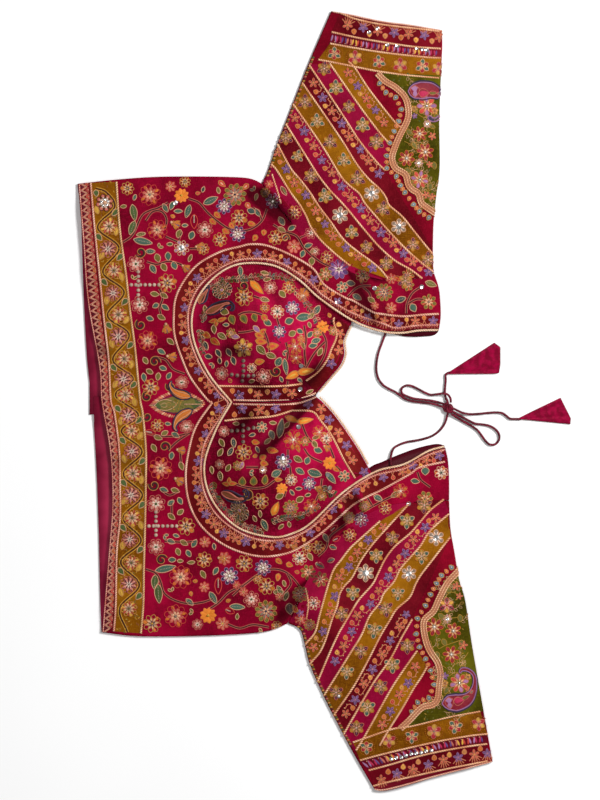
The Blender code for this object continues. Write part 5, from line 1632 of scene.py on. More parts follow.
# Leaves: pattern u, v, length, width and angle (0 along u, 90 along v).
FRONT_LEAVES = {
    "green": (
        (134, 213, 17, 7, 80), (132.5, 228.3, 15, 7, 110), (155, 581.7, 15, 7, 95),
        (158.7, 593.3, 20, 8, 85), (280, 590, 11, 5, 60), (286, 596, 10, 5, 110),
    ),
    "deep_teal": (
        (251.5, 211.4, 9, 6, 20), (350.8, 283.5, 9, 6, 10), (400.8, 299.6, 11, 6, -20),
        (285.4, 237.8, 6, 6, 0), (289.6, 608.5, 12, 8, 80),
    ),
    "teal": (
        (257.7, 213, 9, 5, 60), (281.5, 221.4, 10, 6, 60), (357, 297.3, 10, 6, 30), (413, 308, 9, 7, 60),
        (425, 471, 8, 8, 90), (143.3, 241.7, 20, 7, 12), (210.8, 200.8, 16, 7, -25),
        (188, 211.7, 14, 6, 108), (165.8, 568.3, 22, 7, -12), (237.5, 606.5, 16, 6, 4),
        (191.7, 235.8, 9, 6, 110), (150.8, 251.7, 10, 5, 0), (168.3, 256.7, 9, 6, 85),
        (153.3, 269.2, 10, 6, 60), (174.5, 265.8, 9, 6, 65), (155.8, 305.8, 7, 5, 150),
        (165.5, 307.5, 9, 5, 35), (150.3, 318.7, 8, 5, 20), (161.7, 351.7, 9, 5, 30),
        (163.3, 368.3, 8, 5, 20), (169.2, 375.8, 8, 5, -60), (144.2, 377.5, 9, 5, 80),
        (292, 228.3, 9, 5, -30), (308.3, 245.8, 9, 5, -20), (302.5, 254.2, 8, 5, 110), (282, 222, 9, 6, 60),
        (175.8, 435, 9, 5, 30), (171.7, 455.8, 8, 5, 100), (164.2, 489.7, 9, 5, 20),
        (171.3, 502.5, 8, 5, -40), (180.3, 500.8, 8, 5, 60), (171.3, 541.2, 9, 5, 20),
        (194.5, 543, 9, 5, -60), (188.8, 553.3, 8, 5, 60), (172.5, 559.5, 8, 5, 0), (190, 601.7, 10, 5, 40),
        (319.8, 565.3, 10, 6, 30), (325.8, 537.7, 10, 5, 60), (333, 547, 8, 5, 20), (331, 560, 8, 5, -20),
        (378, 498, 10, 6, 30), (415, 481, 9, 5, 10), (165.5, 208.5, 10, 5, 60), (172, 206, 9, 5, 110),
        (178.5, 211.5, 9, 4, 0), (215.8, 570.8, 9, 5, 120), (213.3, 597.5, 14, 6, 60),
    ),
    "olive": (
        (283.8, 191.4, 11, 5, 60), (371.5, 300.4, 9, 5, 40), (430.8, 284, 12, 6, 20),
        (278.8, 591.5, 11, 6, 0), (179.2, 234.2, 9, 6, 110), (157.8, 258.3, 9, 6, 70),
        (164.2, 267.5, 9, 6, 60), (155, 294.2, 9, 5, 10), (164.2, 295.8, 9, 5, 30),
        (161.7, 317.5, 9, 5, 30), (170.8, 341.7, 9, 5, 40), (145.8, 360.8, 8, 5, 60),
        (150, 371.7, 8, 5, 30), (158.3, 376.7, 8, 5, 100), (281.7, 230, 9, 5, 30), (311.7, 261.7, 8, 6, 90),
        (158.3, 437.5, 9, 5, 20), (165, 433, 8, 5, -30), (154.2, 448, 9, 5, 60), (181.7, 465.8, 9, 5, 70),
        (175.5, 490.3, 9, 5, 20), (171.7, 516.3, 9, 5, 40), (180.8, 511.7, 8, 5, -40),
        (184.2, 542.5, 9, 5, 30), (178.3, 551.7, 8, 5, 70), (395.5, 494, 11, 5, -30),
        (310, 556.5, 9, 5, 60), (203.3, 574.2, 9, 5, 60), (364, 275, 12, 6, 50), (141.5, 234.5, 10, 4, -10),
        (314, 251, 9, 5, -20),
    ),
}
FRONT_OPEN_LEAVES = ((194.2, 222, 15, 7, 90), (218.3, 585.8, 17, 7, 90), (230, 610.8, 10, 6, 20),
                     (150.8, 432.2, 11, 5, 10), (334, 528, 9, 5, -40), (336.5, 538.5, 9, 5, -30))
FRONT_DROPS = {
    "orange": (
        (251.7, 224.2, 8, 5, 10), (255, 238.3, 7, 5, 120), (213, 222, 8, 5, 40), (226, 231.7, 8, 5, 30),
        (285, 238, 7, 5, 150), (279, 561, 8, 5, 40), (289.5, 564.5, 7, 5, 20), (278, 577, 8, 5, 100),
        (295, 609, 8, 5, 60), (217.5, 215.5, 8, 5, 45), (232, 226, 7, 5, 50), (263.8, 233, 6, 5, 100),
        (258, 579, 7, 5, 40), (295.8, 610, 6, 5, 20), (398, 279, 8, 5, 20),
    ),
    "coral": ((222, 184, 9, 5, 40), (245.5, 187, 8, 5, 140), (248, 206, 7, 5, 60)),
}
FRONT_TULIPS = ((185, 267.5, 7, 35), (166.7, 327.5, 8, 80), (170.8, 356.7, 8, 10),
                (180.3, 450, 7, 10), (178.3, 480, 8, 30), (174.5, 224, 8, 25), (199, 247, 7, 0),
                (221.5, 558, 7, 10), (293, 546, 6, 30))
FRONT_CURLS = ((140.8, 252.5, 5), (140.8, 325, 5), (155, 361.7, 5), (165, 446.7, 5), (154.2, 485, 5),
               (161.7, 559.7, 5), (285.4, 238.4, 3.6), (170.8, 386.7, 4.5))
FRONT_STEMS = (
    ((123.3, 242.5), (133, 235), (141.7, 216.7), (150, 211), (158.3, 208.3), (168.3, 203)),
    ((146, 221), (153, 212), (162, 212), (167, 220), (165, 229)),
    ((189, 199), (199, 203), (207, 212), (217, 221), (229, 229), (241, 231), (252, 229), (262, 221),
     (267, 209)),
    ((273.3, 225), (285, 232), (296.7, 236.7), (304.2, 248.3), (318.3, 260.8), (333.3, 268.3)),
    ((147, 262), (157, 264.5), (169, 261.5), (182, 265)),
    ((159.5, 289), (163, 298), (160, 308), (162, 318)), ((156, 357), (166, 360), (173, 369), (185, 374)),
    ((347.7, 296.5), (355.4, 288.8), (362.5, 286), (371, 286)), ((363, 287.3), (369, 293), (371, 300)),
    ((406, 313.5), (407, 303), (412.3, 293), (421.5, 286.5)), ((407.7, 304), (416, 299.5), (424, 299.6)),
    ((262, 221), (259, 213), (253, 208)),
    ((361.5, 284), (362.5, 278)), ((417.3, 472), (420.4, 479.6), (430, 487)), ((366.5, 496.5), (373, 507)),
    ((232.7, 595.4), (243, 586), (254.2, 577)), ((166, 237), (177.5, 242)),
    ((179, 240), (182, 232)), ((190, 249), (203, 249)), ((300, 238), (312, 233)),
    ((146.7, 433.3), (160, 436), (175, 436), (190, 433.3)), ((168.3, 450), (178, 441), (190, 433)),
    ((180.3, 450), (181, 458), (181.7, 465.8)), ((146, 569), (156, 573), (161, 582), (164, 592),
     (173, 599), (187, 603), (202, 602), (214, 598)),
    ((209, 609), (219, 602), (229, 592), (243, 585), (257, 575), (270, 569), (284, 571), (295, 580),
     (303, 592)),
    ((287, 573), (291, 583), (285, 592)),
    ((228, 624), (240, 628), (253, 624.5), (269, 627)),
    ((162, 490), (170, 495), (180, 490)), ((172, 502), (172, 516)), ((165, 541), (184, 542), (196, 541)),
    ((318, 556), (326, 548), (330, 536), (345, 524)), ((345, 524), (362, 512), (380, 502), (396, 494)),
)
SHORT_CORDS = (((272, 174.3), (277, 190), (281, 204)), ((305.4, 587.7), (308.3, 603), (306.4, 619)))
BEAD_CROSSES = (
    # middle u, v    arms toward -u, +u, -v, +v
    (138.5, 285, 7, 21, 13, 15),
    (156.2, 525.8, 7, 21, 14, 13),
)
HEM_INNER_CORD = ((90.8, 183), (95, 229), (99.6, 273), (104, 317), (109, 361), (111, 400), (115, 414),
                  (119.4, 449), (120.3, 483), (120.3, 518), (117, 552), (116, 604), (114, 631))
HEM_OUTER_CORD = ((116.5, 182), (120, 229), (126, 273), (130, 309), (135, 346), (140, 397), (143, 414),
                  (146, 449), (146, 483), (145, 535), (144, 569), (143.5, 604), (141, 633))
HEM_BLOOMS = ((105, 203), (109.2, 226.7), (108.3, 249.2), (114.2, 270.8), (113.3, 293.3), (118.7, 315),
              (118.7, 336.7), (124.5, 359.2), (123.8, 379.2), (125.8, 395), (128.3, 415.8),
              (131.7, 430.8), (132.2, 451.3), (133.3, 473.3), (131.3, 495), (132.5, 517.8),
              (130, 539.2), (131.7, 562.5), (129.2, 584.2), (129.2, 608.3))
HEM_EDGE = ((78.6, 184.5), (83.5, 243), (88, 302), (99.5, 368), (101.5, 400.5), (110, 450.5),
            (112.5, 500), (109, 552), (102.4, 631.6))
NECK_INNER = (
    (438, 330), (418, 330.5), (395, 333), (380, 328), (353, 319), (336, 310), (319, 299), (314, 294),
    (298, 279.5), (276, 267), (256, 264), (237, 266), (218, 276), (203, 290), (195, 306), (193, 319),
    (195, 338), (202, 358), (211, 374), (222, 389), (233, 402), (227, 417), (217, 431), (209, 446),
    (206, 463), (207, 482), (212.5, 499), (222, 513), (237, 525), (254, 533), (272, 535.6), (292, 532),
    (310, 522), (327, 505), (342, 491), (359, 478), (375, 470), (403, 463.8), (415, 456.3), (427.5, 450),
    (443, 445),
)
NECK_OUTER = {
    "right": (
        (438.6, 314), (422, 315), (403, 316.5), (380, 314), (372, 312), (353, 301), (345, 298), (324, 285),
        (313, 269), (290, 255), (267, 246), (251, 244.6), (240, 247), (221, 252), (199, 264), (185, 280),
        (176, 298), (174, 317), (175, 336), (182, 358), (191, 378), (207, 399), (212.5, 402.5),
    ),
    "left": (
        (212.5, 402.5), (197, 425), (190, 446), (186, 473), (188.5, 499), (198, 521), (214.5, 538),
        (236, 550), (261, 556), (284.6, 553.5), (302, 546), (324, 530.5), (350, 507), (365, 497.5),
        (380, 490.5), (399, 480), (411, 473), (420, 467), (444.7, 461.6),
    ),
}
NECK_BLOOMS = {
    "border_purple": (
        (433, 321), (398.5, 324.5), (367.5, 317.5), (337.5, 302), (313.5, 280), (286.7, 262.5),
        (257.5, 254.2), (225, 259.2), (197.5, 278.3), (185, 308), (217.5, 394.8), (186.3, 340.5),
        (198.3, 370.8), (219, 409), (206, 434), (199, 461), (198, 489), (206, 514), (224, 533), (246, 541),
        (279.6, 544.4), (310, 532), (333, 509), (355.5, 490.5), (383, 477), (412.5, 465.5), (439, 455.5),
    ),
    "border_coral": (
        (415, 321), (384, 321), (354, 310), (325, 291), (300.8, 271.5), (272.5, 256.7), (240.8, 255),
        (210, 267.5), (189.2, 292.5), (183, 325), (190, 356.7), (208, 385), (211, 421), (202, 447),
        (197, 475), (201, 502), (214, 524), (235, 538), (264, 545), (295, 541), (322, 521), (343, 498),
        (366, 484), (402, 472), (426, 460),
    ),
}
DROP_HEARTS = {"orange": "coral", "bright_orange": "yellow", "olive": "green"}


# ---------------------------------------------------------------- front panel
CHEVRONS = 67           # along the hem's edge
LOOSE_STITCHES = 460    # small ones on the mustard ground
FRONT_TRIES = 2400      # places where a filler is tried
FRONT_FIELD = ((118.0, 182.0), (432.0, 632.0))      # corners of the box they are drawn from


def measure_along(line, points):
    """Share of a line's length at the place nearest to each point."""
    line = smooth_line(line, 24)
    run = run_of(line)
    return [run[np.argmin(np.linalg.norm(line - point, axis=1))] / run[-1] for point in points]


def embroider_hem(work):
    """Chevrons on the hem's edge and the mustard band with its winding stem."""
    work.ground(HEM_EDGE, HEM_INNER_CORD, "dark_ground")
    work.ground(HEM_INNER_CORD, HEM_OUTER_CORD, "mustard_ground")
    work.base = BAND_LIFT
    edge = smooth_line(HEM_EDGE, 12)
    cord = smooth_line(HEM_INNER_CORD, 12)
    shares = np.linspace(0.0, 1.0, 2 * CHEVRONS + 1)
    outer = at_shares(edge, shares)
    inner = at_shares(cord, shares)
    for k in range(0, 2 * CHEVRONS, 2):
        first = outer[k] + (inner[k] - outer[k]) * 0.14
        peak = outer[k + 1] + (inner[k + 1] - outer[k + 1]) * 0.56
        last = outer[k + 2] + (inner[k + 2] - outer[k + 2]) * 0.14
        work.cord(np.array((first, peak, last)), 0.42, "blush", 0.8, 1.2, RIDGE, smooth=False)
        inset = (peak - (first + last) / 2.0) * 0.3
        work.cord(np.array((first + inset, peak + inset, last + inset)), 0.36, "cream", 0.7, 1.2, RIDGE,
                  smooth=False)
        work.satin(blade((first + last) / 2.0, peak - inset * 1.4, 2.4, 0.8, 4), 0.4, "maroon")
        heart = inner[k] + (outer[k] - inner[k]) * 0.24
        toward = unit(outer[k] - inner[k])
        angle = heading(toward)
        colour = ("coral", "red", "coral", "red", "rose", "coral", "orange")[(k // 2) % 7]
        for lean in (-75.0, -25.0, 25.0, 75.0):
            tip = heart + spoke(3.4, angle + lean)
            sides = blade(heart, tip, 1.8, 1.0, 4)
            work.satin(sides, 0.5, colour)
            work.rim(sides, 0.26, "rose", 0.7, 1.3)
        work.bead(*heart, 0.7, "cream", 1.0, 5)
    work.cord(edge + (inner[0] - outer[0]) * 0.07, 0.6, "pink_cord", smooth=False)
    work.cord(HEM_INNER_CORD, 0.95, "cream_cord", 1.0)
    work.cord(HEM_OUTER_CORD, 1.05, "gold_cord", 1.1)
    embroider_vine(work)
    work.base = 0.0


def speckle_band(work):
    """Loose small stitches that break up the mustard ground."""
    inner = smooth_line(HEM_INNER_CORD, 24)
    outer = smooth_line(HEM_OUTER_CORD, 24)
    work.base -= BAND_LIFT
    for k in range(LOOSE_STITCHES):
        along, across, turn = work.random.random(3)
        one = at_shares(inner, (along,))[0]
        other = at_shares(outer, (along,))[0]
        spot = one + (other - one) * (0.1 + 0.8 * across)
        colour = ("bright_mustard", "mustard_yellow", "olive", "rust")[k % 4]
        work.drop(*spot, 3.4, 1.5, 360.0 * turn, colour)
    work.base += BAND_LIFT


def embroider_vine(work):
    """Blooms of the mustard band, with the stem that winds round them."""
    middle = (smooth_line(HEM_INNER_CORD, 24) + smooth_line(HEM_OUTER_CORD, 24)) / 2.0
    normals = left_normals(middle)
    near = [np.argmin(np.abs(middle[:, 1] - v)) for _, v in HEM_BLOOMS]
    waypoints = []
    for k, index in enumerate(near):
        side = -1.0 if k % 2 else 1.0
        waypoints.append(middle[index] - normals[index] * side * 9.6)
    waypoints[0] = waypoints[0] + (0.0, 4.5)
    speckle_band(work)
    work.stem((96.0, 188.5), (107.0, 193.0), *waypoints, middle[-1], edge="yellow", gap=1.3, radius=0.6)
    work.leaf(96.4, 193.6, 7.0, 5.4, 80.0, "green", "cream", fullness=0.7)
    for k, (u, v) in enumerate(HEM_BLOOMS):
        work.flower(u, v, 8.9, "hem_mirror" if k == 0 else ("hem_pink", "hem_gold")[k % 2])
    for k in range(len(near) - 1):
        side = -1.0 if k % 2 else 1.0
        span = near[k + 1] - near[k]
        after = near[k] + int(0.48 * span)
        u, v = middle[after] - normals[after] * side * 9.0
        work.leaf(u, v, 8.5, 5.6, 50.0 if k % 2 else 130.0, "green", "cream", fullness=0.7)
        before = near[k] + int(0.32 * span)
        u, v = middle[before] + normals[before] * side * 8.6
        work.leaf(u, v, 9.0, 5.4, 100.0 + 25.0 * (k % 3 - 1), "bright_mustard", "gold")
        work.bead(u, v, 1.0, "yellow", 1.0, 6)


def embroider_neck_band(work):
    """Band of small blooms round the neckline, between its two cords."""
    split = NECK_INNER.index((233, 402))
    halves = {"right": NECK_INNER[:split + 1], "left": NECK_INNER[split:]}
    for side, inner in halves.items():
        work.ground(inner, NECK_OUTER[side], "band_ground")
        work.cord(NECK_OUTER[side], 1.15, "cream_cord", 1.2)
    work.base = BAND_LIFT
    line = smooth_line(NECK_INNER, 16)
    for style, spots in NECK_BLOOMS.items():
        for u, v in spots:
            place = np.array((u, v))
            foot = nearest_on(line, place)
            toward = unit(foot - place)
            angle = heading(toward)
            for turn in (-56.0, -34.0, -12.0, 12.0, 34.0, 56.0):
                tip = place + spoke(8.0, angle + turn)
                work.cord(np.array((place + (tip - place) * 0.3, tip)), 0.38,
                          "peach" if abs(turn) > 20.0 else "rose", 0.6, 1.5, RIDGE, smooth=False)
            work.flower(u, v, 5.0, style, angle + 180.0)
    spots = sorted(((s, p) for points in NECK_BLOOMS.values() for s, p in
                    zip(measure_along(NECK_INNER, points), points)), key=lambda pair: pair[0])
    places = [np.array(point, float) for _, point in spots]
    for k, (one, other) in enumerate(zip(places, places[1:])):
        middle = (one + other) / 2.0
        foot = nearest_on(line, middle)
        away = unit(middle - foot)
        u, v = middle + away * 2.8
        angle = heading(-away)
        work.bud(u, v, angle, ("orange", "yellow", "coral")[k % 3], 4.2)
        root = middle + away * 0.4
        for lean in (-24.0, 24.0):
            tip = root + spoke(8.0, angle + lean)
            work.cord(np.array((root, tip)), 0.36, "peach", 0.6, 1.5, RIDGE, smooth=False)
        u, v = middle - away * 4.4
        work.bead(u, v, 0.8, ("cream", "rose")[k % 2])
    work.cord(offset_line(line, -3.1), 0.5, "deep_red", 0.4, smooth=False)
    work.cord(offset_line(line, -4.9), 1.0, "pink_cord", 1.2, smooth=False)
    work.base = 0.0


def embroider_medallion(work):
    """Pointed leaf with a lacy rim and mirrored paisleys, below the dip of the neckline."""
    left, _, right = blade((149.0, 405.5), (206.5, 403.3), 28.0, 1.0, 22)
    rim = spaced(np.vstack([left, right[::-1]]), 2.6)
    heart = np.array((178.0, 404.4))
    for k, place in enumerate(rim):
        inner = place + (heart - place) * 0.24
        work.satin(blade(inner, place, 2.3, 1.3, 4), 0.6, ("cream", "rose", "peach")[k % 3])
    work.leaf(178.4, 404.3, 50.0, 18.0, -2.6, "olive", "navy", fullness=0.95)
    work.leaf(166.0, 405.0, 23.0, 11.0, -3.0, "green", "cream", fullness=0.9)
    work.leaf(193.5, 403.7, 20.0, 11.0, -3.0, "green", "olive", fullness=1.2)
    for k in range(26):
        u, v = work.random.random(2) * (14.0, 11.0) + (172.0, 398.8)
        work.bead(u, v, 0.9, ("gold", "mustard_yellow", "olive")[k % 3], 1.0, 6)
    work.drop(164.0, 405.2, 7.0, 4.5, 177.0, "teal", "cream")
    work.drop(168.6, 404.9, 6.0, 5.0, 177.0, "yellow", "gold")
    work.base = 0.5
    work.paisley(180.0, 395.2, 23.0, 9.5, 188.0, "orange", "navy", -1.0)
    work.paisley(181.5, 414.8, 24.0, 9.5, 155.0, "orange", "navy", 1.0)
    for k in range(12):
        work.bead(185.0 + 1.5 * k, 404.2, 0.75, "cream", 1.0, 6)
    work.base = 0.0
    for v, spin in ((396.6, 200.0), (416.6, 160.0)):
        work.curl(147.2, v, 4.6, spin)


def scatter_motifs(work, blooms, leaves, drops, open_leaves, tulips, curls, stems):
    """Lay down the tables of one piece, stems first and blooms last."""
    for line in stems:
        work.stem(*line)
    for u, v, radius in curls:
        work.curl(u, v, radius, work.random.random() * 360.0)
    for colour, rows in leaves.items():
        for u, v, length, width, angle in rows:
            work.leaf(u, v, length, width, angle, colour, "cream", "cream_bead")
    for u, v, length, width, angle in open_leaves:
        work.open_leaf(u, v, length, width, angle)
    for colour, rows in drops.items():
        for u, v, length, width, angle in rows:
            work.drop(u, v, length, width, angle, colour, "gold")
            work.base += 0.3
            work.drop(u, v, length * 0.55, width * 0.4, angle, DROP_HEARTS.get(colour, "cream"))
            work.base -= 0.3
    for u, v, radius, angle in tulips:
        work.tulip(u, v, radius, angle)
    for style, rows in blooms.items():
        for u, v, radius in rows:
            work.flower(u, v, radius, style)


def bare_places(work, count, low, high, outline):
    """Random pattern points inside an outline."""
    spots = work.random.random((count, 2)) * (np.array(high) - low) + low
    return [spot for spot in spots if inside(spot, outline)]


def embroider_front(cloths, threads):
    trim = Needlework("border_embroidery", cloths, threads, 21, FRONT_CREASES)
    embroider_hem(trim)
    embroider_neck_band(trim)
    work = Needlework("front_embroidery", cloths, threads, 22, FRONT_CREASES)
    embroider_medallion(work)
    scatter_motifs(work, FRONT_BLOOMS, FRONT_LEAVES, FRONT_DROPS, FRONT_OPEN_LEAVES, FRONT_TULIPS,
                   FRONT_CURLS, FRONT_STEMS)
    for u, v, left, right, up, down in BEAD_CROSSES:
        for du in np.arange(-left, right + 0.1, 4.6):
            work.bead(u + du, v, 1.9, "cream_bead", 1.5, 8)
        for dv in np.arange(-up, down + 0.1, 4.6):
            work.bead(u, v + dv, 1.9, "cream_bead", 1.5, 8)
    for line in SHORT_CORDS:
        work.couched(line, 0.9, "peach_cord")
    for u, v in ((175.8, 203.3), (374.6, 288.5), (421.5, 287), (408.5, 503.5), (337.5, 302)):
        work.sequin(u, v, 2.2)
    inner, outer = front_stations()
    outline = pattern_of(closed_run(np.vstack([inner, outer[::-1]])))
    fill_gaps(work, bare_places(work, FRONT_TRIES, *FRONT_FIELD, outline), (trim,))
    return [trim.drape(), work.drape()]


# ---------------------------------------------------------------- cup tables
CUP_BAND = {
    # cord above or below the centre seam, cord inside the free edge
    "right": (((219, 386), (240, 386.3), (262, 386.5), (284, 386), (302, 384)),
              ((306, 381), (318, 372), (327, 360), (331, 350), (336.5, 336), (333.5, 322), (334, 318))),
    "left": (((224.5, 420.8), (243, 418.5), (266, 417), (278, 415), (292, 410.5)),
             ((292, 410.5), (312, 411.5), (320, 420), (330, 433), (338, 448), (344, 460), (355, 478))),
}
CUP_SEAM_CORD = ((233, 402), (262, 402.6), (292, 402), (306, 399), (316, 395))
CUP_BAND_BLOOMS = {
    "right": {"border_purple": ((239.5, 395.5), (276, 394.5), (331, 363.7)),
              "border_coral": ((258, 394.5), (292, 393.5), (340, 333.5), (338.8, 350.4))},
    "left": {"border_purple": ((242, 409), (276, 408), (308, 404), (328.7, 419.8), (346.3, 445.4),
                               (364, 472)),
             "border_coral": ((259.5, 410), (321, 408.5), (338, 432.3), (352.5, 460))},
}
CUP_BAND_BUDS = {
    "right": ((232.5, 391, 90), (250.5, 391, 90), (267.5, 392, 90), (285, 390.5, 90),
              (338.8, 324.8, 20), (341, 342, 10), (331.5, 356.5, 30)),
    "left": ((234.5, 414.5, -90), (251.5, 414, -90), (267, 413, -90), (322, 417, -40),
             (330, 427.7, -30), (340, 440, -30), (348, 453.5, -30)),
}
